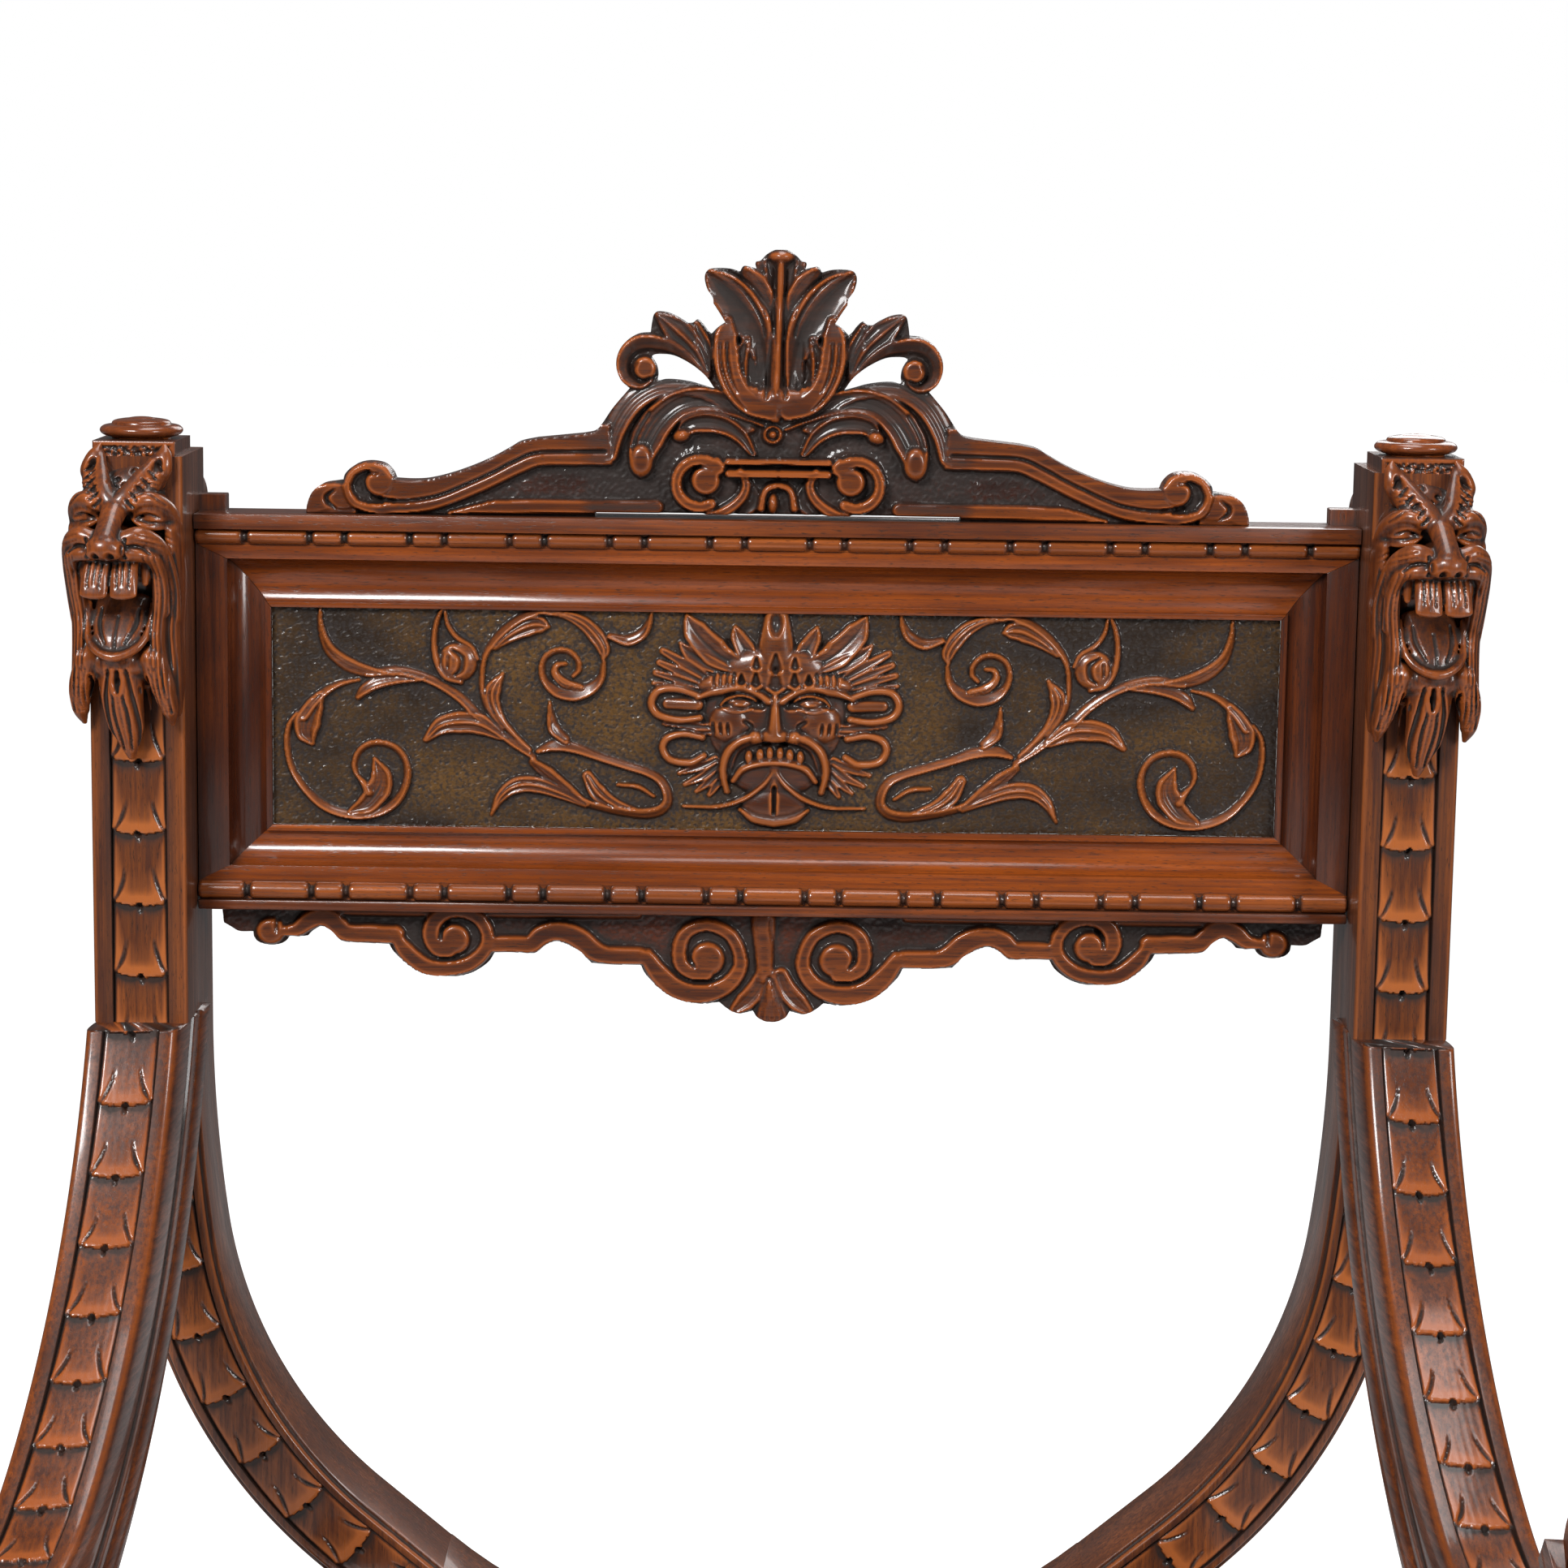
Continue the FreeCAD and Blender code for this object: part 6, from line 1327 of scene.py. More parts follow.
APRON_END_EDGE = [[(36, 66), (38, 135)], [(38, 135), (64, 150), (95, 167), (147, 168)],
                  [(147, 168), (150, 190), (166, 208), (200, 217), (240, 216), (270, 203), (288, 181)],
                  [(288, 181), (330, 185), (355, 184)], [(355, 184), (375, 165), (405, 147), (425, 147), (450, 162),
                                                         (470, 185), (487, 203)],
                  [(487, 203), (560, 208), (662, 213)],
                  [(662, 213), (675, 240), (705, 270), (756, 308), (800, 325), (868, 332), (925, 334), (982, 317),
                   (1036, 282), (1065, 243)],
                  [(1065, 243), (1130, 243), (1215, 248)], [(1215, 248), (1235, 235), (1262, 214), (1300, 202),
                                                            (1328, 208), (1362, 222), (1395, 240), (1414, 266),
                                                            (1430, 286)],
                  [(1430, 286), (1568, 290), (1616, 291)]]
APRON_MIDDLE_EDGE = [[(142, 378), (160, 420), (200, 465), (256, 512), (310, 540), (380, 560), (450, 568), (520, 562)],
                     [(520, 562), (560, 595), (612, 615), (650, 612), (684, 604)],
                     [(684, 604), (702, 632), (740, 651), (772, 655)]]


APRON_END_MARKS = [
    ("stroke", [(470, 88), (640, 88), (1200, 92), (1616, 96)], [18, 20, 22, 22], [1.9, 1.9, 1.9], "flat"),
    ("level", [(910, 190), (911, 190)], [118, 118], 0.0, 0.1),
    ("boss", (217, 165), (56, 52), 3.2, 0, 8),
    ("cut", [(243, 126), (240, 150), (238, 168)], [9, 7, 3], 2.2),
    ("stroke", [(262, 166), (318, 158), (358, 130), (400, 112), (440, 115), (475, 145), (512, 171), (600, 174),
     (690, 178)], [20, 28, 35, 37, 39, 39, 36, 36, 36], [3.2, 3.2], "flat"),
    ("stroke", [(1056, 212), (1140, 212), (1204, 212), (1245, 181), (1300, 164), (1355, 173), (1400, 198), (1446, 238),
     (1500, 254), (1616, 257)], [32, 32, 36, 39, 39, 41, 43, 41, 35, 34], [3.2, 3.2], "flat"),
    ("stroke", [(690, 176), (728, 240), (800, 296), (890, 303), (970, 283), (1030, 230), (1040, 165), (1006, 112),
     (945, 88), (884, 96), (840, 134), (829, 185), (852, 226), (892, 236)],
     [22, 34, 34, 31, 30, 28, 26, 26, 27, 30, 34, 36, 36, 28], [3.4, 3.4], "flat"),
    ("boss", (914, 195), (60, 60), 3.4, 0, 9),
    ("cut", [(862, 190), (868, 160), (890, 136)], [5, 9, 12], 2.6),
]
APRON_SCROLL_MARKS = [
    ("level", [(475, 350), (476, 350)], [170, 170], 0.0, 0.1),
    ("stroke", [(176, 338), (240, 430), (330, 500), (450, 516), (560, 478), (630, 400), (637, 320), (600, 236),
     (520, 190), (440, 190), (372, 228), (340, 300), (346, 376), (400, 416), (470, 424)],
     [40, 52, 54, 50, 44, 38, 34, 33, 31, 31, 34, 37, 38, 36, 28], [3.4, 3.4], "flat"),
    ("boss", (475, 350), (88, 88), 3.4, 0, 9),
    ("cut", [(408, 384), (388, 344), (392, 306), (420, 272)], [5, 12, 15, 16], 3.0, 0.2),
    ("stroke", [(745, 430), (706, 500), (650, 556), (596, 598)], [40, 50, 50, 26], [3.4, 3.4, 3.2, 2.6], "hollow", 0.0,
     (-0.3, 0.2)),
]
APRON_MIDDLE_MARKS = [
    ("stroke", [(765, 160), (763, 200), (760, 300), (758, 380), (760, 430)], [62, 60, 50, 46, 52],
     [3.6, 3.4, 3.2, 3.2], "round"),
    ("cut", [(803, 156), (800, 210), (806, 270)], [5, 8, 3], 1.6),
    ("level", [(776, 440), (778, 520), (778, 640)], [12, 46, 84], 1.4, 0.1),
    ("stroke", [(776, 452), (778, 540), (778, 636)], [10, 38, 76], [3.0, 3.2, 2.8], "round", 0.0,
     (-0.66, -0.33, 0.0, 0.33, 0.66)),
]


def carved_apron():
    """Sawn apron with flat scrolls, a band along its edge and a stalk in the middle."""
    relief = Relief(-APRON_HALF, APRON_FOOT, APRON_HALF, APRON_TOP, APRON_STEP, apron_spot)
    for _ in relief.both_halves():
        relief.spot, relief.unit = apron_end_spot, END_SHARE / APRON_UNITS
        relief.draw(APRON_END_MARKS)
        relief.spot, relief.unit = apron_spot, 1 / APRON_UNITS
        relief.draw(APRON_SCROLL_MARKS)
    relief.draw(APRON_MIDDLE_MARKS)
    relief.soften()
    ground_grain(relief, 0.9, 23, 0.2)
    half = left_outline(((apron_end_spot, APRON_END_EDGE), (apron_spot, APRON_MIDDLE_EDGE)),
                        APRON_HALF, APRON_FOOT + 0.2, APRON_TOP, (-APRON_HALF, APRON_TOP))
    edges = sawn(relief, [closed_line(half + [(-x, z) for x, z in half[::-1]])], 0.9)
    # Dirt and painted shade in the hollows, and a painted highlight on the edges.
    relief.dirt = dirt_shade_wear_and_highlight(relief.height, (3, 8), 0.4, 0.4)
    piece = sawn_piece(relief, "apron_carved", APRON_FRONT, APRON_REAR, edges, 0, relief.columns)
    finished(piece, "back", carved_crest_walnut, "carved_walnut", "apron")


carved_crest()
carved_apron()


# ---------------------------------------------------------------- beast heads

def limb(points, radii, sides=16, spacing=1.2):
    """Rounded limb through places; radii are across and up, one pair for each place."""
    points, radii = np.array(points, float), np.array(radii, float)
    if radii.ndim == 1:
        radii = np.stack((radii, radii), 1)
    count = max(8, int(np.linalg.norm(np.diff(points, axis=0), axis=1).sum() / spacing))
    where = np.linspace(0, len(points) - 1, count)
    if len(points) > 2:
        padded = np.vstack((2 * points[0] - points[1], points, 2 * points[-1] - points[-2]))
        index = np.minimum(where.astype(int), len(points) - 2)
        t = (where - index)[:, None]
        a, b, c, d = (padded[index + shift] for shift in range(4))
        line = 0.5 * (2 * b + (c - a) * t + (2 * a - 5 * b + 4 * c - d) * t ** 2 + (3 * b - a - 3 * c + d) * t ** 3)
    else:
        line = points[0] + (points[1] - points[0]) * where[:, None]
    size = np.stack([np.interp(where, np.linspace(0, len(points) - 1, len(radii)), radii[:, k]) for k in (0, 1)], 1)
    along = np.gradient(line, axis=0)
    along /= np.linalg.norm(along, axis=1)[:, None]
    caps = np.radians(np.linspace(90, 15, 5))
    first = line[:1] - along[:1] * (np.sin(caps) * size[0].min())[:, None]
    last = line[-1:] + along[-1:] * (np.sin(caps[::-1]) * size[-1].min())[:, None]
    size = np.vstack((size[:1] * np.cos(caps)[:, None], size, size[-1:] * np.cos(caps[::-1])[:, None]))
    line = np.vstack((first, line, last))
    along = np.vstack((np.repeat(along[:1], 5, 0), along, np.repeat(along[-1:], 5, 0)))
    guide = np.where(np.abs(along[:, 1:2]) < 0.85, np.array([[0.0, 1.0, 0.0]]), np.array([[0.0, 0.0, 1.0]]))
    across = np.cross(along, guide)
    across /= np.linalg.norm(across, axis=1)[:, None]
    up = np.cross(across, along)
    turn = np.linspace(0, 2 * math.pi, sides + 1)[None, :, None]
    points = (line[:, None] + across[:, None] * size[:, None, :1] * np.cos(turn)
              + up[:, None] * size[:, None, 1:] * np.sin(turn))
    return closed_up(grid_piece("limb", points))


def ball(centre, radii):
    """Rounded lump."""
    bpy.ops.object.select_all(action="DESELECT")
    bpy.ops.mesh.primitive_uv_sphere_add(segments=24, ring_count=14, radius=1)
    piece = bpy.context.object
    count = len(piece.data.vertices)
    places = np.zeros(count * 3, np.float32)
    piece.data.vertices.foreach_get("co", places)
    put_places(piece, places.reshape(-1, 3) * np.array(radii) + np.array(centre))
    return piece


def places_of(piece):
    """Vertex places and normals of a piece, in millimetres."""
    count = len(piece.data.vertices)
    places, normals = np.zeros(count * 3, np.float32), np.zeros(count * 3, np.float32)
    piece.data.vertices.foreach_get("co", places)
    piece.data.vertices.foreach_get("normal", normals)
    return places.reshape(-1, 3).astype(float) / MM, normals.reshape(-1, 3).astype(float)


def put_places(piece, places):
    """Moves the vertices of a piece."""
    piece.data.vertices.foreach_set("co", (places * MM).astype(np.float32).ravel())
    piece.data.update()


def evened(piece, values, rounds):
    """Values averaged over neighbouring vertices."""
    ends = np.zeros(len(piece.data.edges) * 2, np.int32)
    piece.data.edges.foreach_get("vertices", ends)
    ends = ends.reshape(-1, 2)
    near = np.bincount(ends.ravel(), minlength=len(values)).astype(float)[:, None]
    for _ in range(rounds):
        total = np.zeros_like(values)
        for column in range(values.shape[1]):
            total[:, column] = (np.bincount(ends[:, 0], values[ends[:, 1], column], len(values))
                                + np.bincount(ends[:, 1], values[ends[:, 0], column], len(values)))
        values = (values + total) / (near + 1)
    return values


def note_hollows(piece, gain, *rounds, extra=0.0):
    """Notes, as painted shade, how deep each vertex lies among its neighbours, and, as painted highlight, which edges
    stand proud.
    """
    places, normals = places_of(piece)
    depths = [((evened(piece, places, count) - places) * normals).sum(1) for count in rounds]
    shade = np.maximum(sum(depths) / len(depths), 0) + np.minimum(depths[0], 0)
    note(piece, "recess", evened(piece, shade[:, None], 1)[:, 0] * gain + extra)


HEAD_LIMBS = [
    ([(0, -14.5, 949), (0, -10, 930), (0, -12, 905), (0, -14, 880), (0, -14, 850), (0, -17, 830)],
     [(18, 12), (22.5, 18), (21.5, 17), (19.5, 14), (20, 14), (20, 15)]),
    ([(0, 12, 934), (0, 24, 925), (0, 31, 918.5)], [(6, 5.5), (5.2, 4.2), (5.4, 4.2)]),
    ([(0, 4, 916), (0, 20, 914), (0, 30, 914)], [(15, 9), (12, 6), (8, 4.5)]),
    ([(-4.6, 31.5, 914.3), (0, 33, 915), (4.6, 31.5, 914.3)], [(4.3, 4.0), (4.6, 4.4), (4.3, 4.0)]),
    ([(0, 0, 866), (0, 12, 865.5), (0, 17, 866)], [(13, 8), (11, 5), (7, 3.2)]),
    ([(0, 4, 890), (0, 11, 883), (0, 17, 875), (0, 19.5, 869)], [(12.4, 4), (12.6, 3.2), (10, 2.6), (4, 2)]),
    ([(-14, 10, 889), (-13.8, 14.5, 879), (-9.5, 19.5, 871), (0, 22.5, 867.2), (9.5, 19.5, 871), (13.8, 14.5, 879),
      (14, 10, 889)], [1.4, 1.6, 1.9, 2.1, 1.9, 1.6, 1.4]),
    ([(-15, 7, 867), (-8, 12, 864), (0, 13.5, 862), (8, 12, 864), (15, 7, 867)],
     [(6, 5), (6.4, 5), (5, 5), (6.4, 5), (6, 5)]),
    ([(0, 10, 862), (0, 11, 848), (0, 8.5, 835), (0.6, 5, 822)], [(11, 8), (9.4, 6.5), (8, 4.6), (2.2, 1.8)]),
]
HEAD_SIDE_LIMBS = [
    ([(0.6, 18, 930.5), (5, 15.5, 936.5), (9.4, 9.5, 944.5), (13, 3, 953)], [(4.6, 3.2), (4.4, 3.2), (4, 3), (2.2, 2)]),
    ([(6, 11, 935), (10.5, 8.5, 940), (14, 3, 946), (15, 0, 952)], [(6, 5), (6.4, 5.6), (5, 5), (3, 3)]),
    ([(13.6, 2, 941), (15.2, 4.5, 947), (15, 3.4, 953), (14, 1.6, 957.2)],
     [(4.2, 3.4), (5.2, 3.4), (3.6, 2.8), (0.9, 0.9)]),
    ([(8, 26, 918.6), (13, 24.8, 919.6), (18.2, 19.5, 916), (21.2, 13.5, 908), (22.2, 8, 896), (21.8, 4, 882)],
     [(4.2, 4.6), (4.4, 4.4), (4.0, 4.2), (3.2, 3.6), (2.8, 3.4), (2.6, 3)]),
    ([(6.5, 27.5, 911.8), (12.5, 26.3, 912), (17.8, 21.5, 909.6), (19.8, 15, 900), (19.6, 11, 886)],
     [2.8, 3.2, 3.2, 2.6, 2.2]),
    ([(6, 16, 931), (11, 16.6, 934), (16.4, 12.5, 933.6), (20.6, 6.5, 929), (21.8, 2, 922)],
     [(2.6, 3), (3.6, 3.8), (3.8, 4), (3.4, 3.8), (2.8, 3)]),
    ([(7, 15, 927.4), (12, 17, 930), (17.4, 13.6, 929), (21.6, 7, 925)], [1.2, 1.6, 1.6, 1.2]),
    ([(7.4, 15, 926), (12, 16, 923.4), (17.6, 12.6, 922.4), (21.4, 7, 924)], [1.1, 1.4, 1.4, 1.1]),
    ([(5.9, 20, 911), (6.2, 24.5, 903), (6.6, 27.5, 894.5)], [(5.6, 3.4), (6.1, 3.0), (6.3, 1.9)]),
    ([(13.2, 17, 908), (13.4, 18.5, 899)], [(2.6, 2.4), (1.6, 1.5)]),
    ([(18, 17, 915), (18.5, 13, 902), (17.2, 10, 886), (16.4, 10, 872), (17.5, 8, 857)],
     [(3.4, 5), (3.4, 6), (3.0, 6), (3.4, 7), (4.2, 6)]),
    ([(21, 3, 922), (22, 0, 900), (21, 0, 878), (21, 1, 856), (20.6, 4, 842)],
     [(3.4, 8), (3.4, 9), (3.2, 9), (3.8, 8), (3.2, 4)]),
    ([(14, 12, 866), (18, 10.5, 853), (19.8, 8, 843), (19.6, 5, 836.5)], [(6, 7), (5.4, 6), (3.8, 4), (1.2, 1.6)]),
]


HEAD_HALF, HEAD_FOOT, HEAD_TOP, HEAD_STEP, HEAD_VOXEL = 28.0, 818.0, 960.0, 0.35, 0.72
HEAD_TURN = math.radians(8.5)
POST_INNER_X, GROOVE_INNER_X, GROOVE_Y = -257.6, -252.4, 143


def draw_head(relief):
    """Fine gouging on the front of a head, drawn in the head's own millimetres."""
    for _ in relief.both_halves():
        for share in (0.14, 0.28, 0.42, 0.56, 0.7, 0.84):
            x, z = 3 + share * 11.5, 932 + share * 21
            relief.cut([(x + 0.8, z - 0.4), (x + 3.8, z - 3.4)], [0.35, 0.9], 1.8)
        relief.dent((14.4, 948), (2.3, 3.8), 2.6)
        for lift in (0, 1.9, 3.8, 5.6):
            relief.cut([(8, 935.5 + lift * 0.5), (14, 937.4 + lift), (21, 932 + lift * 1.3)], [0.3, 0.7, 0.3], 1.3)
        relief.cut([(10, 927.2), (14, 928.6), (19, 926.4)], [0.3, 0.7, 0.3], 1.0)
        relief.cut([(8, 925.8), (14, 924.9), (21, 924.4)], [0.3, 0.5, 0.3], 0.8)
        relief.dent((6.6, 927.8), (1.6, 1.8), 1.6)
        for lift in (0, 2.2):
            relief.cut([(13, 920.6 - lift), (20, 918.2 - lift), (24, 916 - lift)], [0.3, 0.6, 0.3], 0.8)
        relief.dent((3.2, 911.4), (1.8, 1.9), 4.0)
        relief.cut([(8, 915.6), (13, 915.4), (18, 912)], [0.4, 1.0, 0.4], 1.6)
        relief.cut([(8.6, 919), (7.6, 914), (8.4, 910.6)], [0.5, 1.0, 0.5], 2.0)
        for place, foot in ((3.2, 897), (5.6, 898.5), (8.4, 897.5)):
            relief.cut([(place, 909), (place + 0.5, 903), (place + 0.8, foot)], [0.7, 0.6, 0.2], 1.5)
        relief.cut([(8.2, 887), (7.8, 880), (4.4, 872.6)], [0.5, 1.4, 0.4], 1.6)
        for place in (15.4, 17.3, 19.2, 21.1, 23):
            relief.cut([(place, 911), (place + 0.8, 896), (place - 0.8, 878), (place + 0.2, 858),
                        (place + 0.4, 842)], [0.3, 0.7, 0.7, 0.7, 0.3], 1.1)
        relief.cut([(2.2, 850), (2.8, 840), (1.6, 825)], [0.4, 1.1, 0.4], 1.8)
        relief.cut([(4.0, 861), (5.8, 848), (6.2, 836), (4.6, 827)], [0.5, 1.5, 1.3, 0.4], 2.2)
        relief.cut([(8.8, 853), (9.4, 842), (7.8, 831)], [0.4, 1.2, 0.4], 1.9)
        for place in (15.5, 17.8, 20.0):
            relief.cut([(place - 1.5, 862), (place, 852), (place + 1.4, 842)], [0.4, 0.8, 0.3], 1.2)
        relief.cut([(12.6, 858), (13.0, 849), (13.6, 841)], [0.6, 2.2, 1.8], 8.0)
    relief.cut([(0, 909.5), (0, 900), (0, 893)], [0.7, 0.6, 0.9], 2.6)
    relief.cut([(0, 884), (0, 871)], [0.5, 0.5], 1.2)
    relief.cut([(0, 861.5), (0, 856), (0, 850)], [0.2, 1.5, 0.2], 5.0)
    relief.stroke([(-1.9, 861), (-2.6, 856), (-1.2, 850)], [0.8, 0.9, 0.7], [0.8, 0.9, 0.6])
    relief.stroke([(1.9, 861), (2.6, 856), (1.2, 850)], [0.8, 0.9, 0.7], [0.8, 0.9, 0.6])
    relief.cut([(0, 849), (0, 836), (0, 824)], [0.3, 0.6, 0.4], 1.0)
    for x, z, size in ((-2.4, 949, 2.4), (2.8, 945.5, 1.7), (-3.0, 942, 1.4), (0.4, 939.6, 1.2), (4.4, 950.5, 1.6)):
        relief.dent((x, z), (size, size * 0.9), 1.8)


def beast_head():
    """Left beast's head: horned brow, whisker bulbs, long teeth, tongue and forked beard."""
    parts = [limb(points, radii) for points, radii in HEAD_LIMBS]
    for side in (-1, 1):
        for points, radii in HEAD_SIDE_LIMBS:
            parts.append(limb([(side * x, r, z) for x, r, z in points], radii))
        parts.append(ball((side * 14.2, 9.5, 926.2), (6.8, 6.4, 3.4)))
    parts.append(ball((0, -1, 936), (12.5, 6.6, 11)))
    parts.append(ball((0, 31.5, 916), (7.4, 5.4, 4.6)))
    bpy.ops.object.select_all(action="DESELECT")
    for part in parts:
        part.select_set(True)
    bpy.context.view_layer.objects.active = parts[0]
    bpy.ops.object.join()
    head = bpy.context.object
    head.name = "left_beast_head"
    alone(head)
    melt = head.modifiers.new("melt", "REMESH")
    melt.mode = "VOXEL"
    melt.voxel_size = HEAD_VOXEL * MM
    bpy.ops.object.modifier_apply(modifier=melt.name)
    places, normals = places_of(head)
    places = evened(head, places, 2)
    relief = Relief(-HEAD_HALF, HEAD_FOOT, HEAD_HALF, HEAD_TOP, HEAD_STEP, lambda point: point)
    draw_head(relief)
    column = np.clip((places[:, 0] + HEAD_HALF) / relief.step, 0, relief.columns - 2)
    row = np.clip((places[:, 2] - HEAD_FOOT) / relief.step, 0, relief.rows - 2)
    c, r = column.astype(int), row.astype(int)
    fc, fr = column - c, row - r
    map_of = relief.height
    drawn = ((map_of[r, c] * (1 - fc) + map_of[r, c + 1] * fc) * (1 - fr)
             + (map_of[r + 1, c] * (1 - fc) + map_of[r + 1, c + 1] * fc) * fr)
    facing = np.clip(normals[:, 1] * 1.6, 0, 1)
    places[:, 1] += drawn * facing
    put_places(head, places)
    across, reach, z = np.abs(places[:, 0]), places[:, 1], places[:, 2]
    # The brow, the bridge of the nose and the mouth are painted darker; inside the mouth this is painted shade.
    brow = np.clip((z - 933) / 3, 0, 1) * np.clip((z - 928) * 0.5 - across, 0, 1) * np.clip((957 - z) / 2, 0, 1)
    bridge = np.clip(1 - np.abs(z - 923) / 5, 0, 1) * np.clip((6.5 - across) / 2, 0, 1)
    mouth = np.clip((892 - z) / 2, 0, 1) * np.clip((z - 869) / 2, 0, 1) * np.clip((13 - across) / 1.5, 0, 1)
    note_hollows(head, 1.3, 3, 12, 40, extra=brow * 0.16 + bridge * 0.12 + mouth * 0.14)
    u, reach, z = places.T
    low = np.clip((z - 830) / 20, 0, 1)
    shift = (1.5 + 1.5 * low) * np.clip((957 - z) / 16, 0, 1)
    x = ARM_X - shift + u * math.cos(HEAD_TURN) - np.clip(reach, -6, 60) * math.sin(HEAD_TURN)
    y = ARM_FRONT_Y - reach * math.cos(HEAD_TURN) - u * math.sin(HEAD_TURN) * 0.4
    x = np.where(y > GROOVE_Y, np.minimum(x, POST_INNER_X), np.minimum(x, GROOVE_INNER_X))
    put_places(head, np.stack((x, y, z), 1))
    edit(head)
    face_outwards()
    bpy.ops.object.shade_smooth()
    return head


def mirrored_piece(piece, name):
    """The same piece for the other side of the chair."""
    other = bpy.data.objects.new(name, piece.data.copy())
    bpy.context.scene.collection.objects.link(other)
    put_places(other, places_of(other)[0] * (-1, 1, 1))
    edit(other)
    bpy.ops.mesh.flip_normals()
    leave_edit()
    return other


BLOCK_LEFT, BLOCK_RIGHT, BLOCK_FOOT, BLOCK_STEP, BLOCK_DEPTH = -295.9, -260.1, 938.0, 0.5, 41.9
FINIAL_RISE = 9.4


def stippled_block():
    """Square block over a head, its front punched."""
    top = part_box("left_finial")[1].z / MM - FINIAL_RISE
    relief = Relief(BLOCK_LEFT, BLOCK_FOOT, BLOCK_RIGHT, top, BLOCK_STEP, lambda point: point)
    chance = np.random.default_rng(41)
    pits = blurred(chance.normal(0, 1, relief.height.shape), 1)
    rim = np.minimum.outer(np.full(relief.rows, 99.0), np.minimum(relief.x - BLOCK_LEFT, BLOCK_RIGHT - relief.x))
    rim = np.minimum(rim, top - relief.z[:, None])
    inner = np.clip((rim - 1.8) / 0.8, 0, 1)
    relief.height = -0.5 * inner - 0.35 * np.clip(1 - rim / 0.7, 0, 1) ** 2 + pits * 1.1 * inner - 0.1
    # Dirt and painted shade in the punch marks, and the punched field a little darker all over.
    relief.dirt = hollows(relief.height, 2, 5) * 0.9 + 0.1 * inner
    relief.ground = np.zeros_like(relief.height)
    return backed(relief.piece("left_block", ARM_FRONT_Y + 0.2, 0, relief.columns), ARM_FRONT_Y + BLOCK_DEPTH)


for make, mirror_name in ((beast_head, "right_beast_head"), (stippled_block, "right_block")):
    left_piece = make()
    right_piece = mirrored_piece(left_piece, mirror_name)
    finished(left_piece, "frame", carved_upright, "carved_walnut", "left_arm_head")
    finished(right_piece, "frame", carved_upright, "carved_walnut", "right_arm_head")


# ---------------------------------------------------------------- strung beads, finials and rosettes

BEAD_LONG, BEAD_SHORT, BEAD_NECK, BACK_HALF = 26.5, 13.0, 2.4, 256.75
BEAD_FRONT, BEAD_REAR = 150.0, 153.0
FINIAL_Y = 139.0
ROSETTE_RADIUS = 41.0


def strung_beads(node):
    """Half-round beads with pinched necks along the front of a strip."""
    low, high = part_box(node)
    foot, top = low.z / MM, high.z / MM
    radius = (top - foot) / 2
    room = BACK_HALF * 2
    count = int((room - BEAD_LONG) / (BEAD_LONG + BEAD_SHORT + 2 * BEAD_NECK))
    slack = (room - BEAD_NECK - count * (BEAD_LONG + BEAD_SHORT + 2 * BEAD_NECK) - BEAD_LONG) / 2
    lengths = [slack] + [BEAD_LONG, BEAD_SHORT] * count + [BEAD_LONG, slack]
    total = sum(lengths) + BEAD_NECK * (len(lengths) - 1)
    scale = room / total
    chance = np.random.default_rng(int(foot))
    x, size, shade = [], [], []
    start = 0.0
    for length in lengths:
        length = length * scale
        fat = 1 + chance.normal(0, 0.012)
        for step in np.linspace(0, length, max(8, int(length / 0.8))):
            edge = min(step, length - step)
            x.append(start + step)
            size.append(fat * (1 - 0.2 * max(0.0, 1 - edge / 1.5) ** 2))
            shade.append(0.3 * max(0.0, 1 - edge / 1.2) - 0.05)
        start += length
        for share, narrow in ((0.12, 0.66), (0.3, 0.58), (0.5, 0.62), (0.7, 0.58), (0.88, 0.66)):
            x.append(start + share * BEAD_NECK * scale)
            size.append(narrow)
            shade.append(0.42)
        start += BEAD_NECK * scale
    x, size, shade = np.array(x[:-5]), np.array(size[:-5]), np.array(shade[:-5])
    turn = np.radians(np.linspace(-90, 90, 17))
    middle = (foot + top) / 2
    size = np.minimum(size, 1.0)[:, None] * radius
    y = np.concatenate((BEAD_FRONT - size * np.cos(turn), np.full((len(x), 2), BEAD_REAR)), 1)
    z = np.concatenate((middle + size * np.sin(turn), middle + size, middle - size), 1)
    y, z = np.concatenate((y, y[:, :1]), 1), np.concatenate((z, z[:, :1]), 1)
    points = np.stack((np.repeat((x - BACK_HALF)[:, None], y.shape[1], 1), y, z), -1)
    beads = grid_piece(node + "_beads", points)
    note(beads, "recess", np.repeat(shade[:, None], y.shape[1], 1))
    closed_up(beads)
    finished(beads, "back", bead_walnut, "mouldings_walnut", node)
    strip = merged_copy(node, node + "_strip")
    cut_off(strip, (0, BEAD_FRONT + 0.3, 0), (0, -1, 0))
    finished(strip, "back", bead_walnut, "mouldings_walnut", node)


def spun(name, profile, centre, axis):
    """Turned piece from radius and rise pairs."""
    line = np.array(profile, float)
    turn = np.linspace(0, 2 * math.pi, 73)
    r, rise = line[:, :1], line[:, 1:]
    flat_x, flat_y, up = r * np.cos(turn), r * np.sin(turn), rise + 0 * turn
    if axis == "z":
        points = np.stack((centre[0] + flat_x, centre[1] + flat_y, centre[2] + up), -1)
    else:
        points = np.stack((centre[0] + flat_x, centre[1] + up * axis, centre[2] + flat_y), -1)
    return closed_up(grid_piece(name, points), smooth=50)


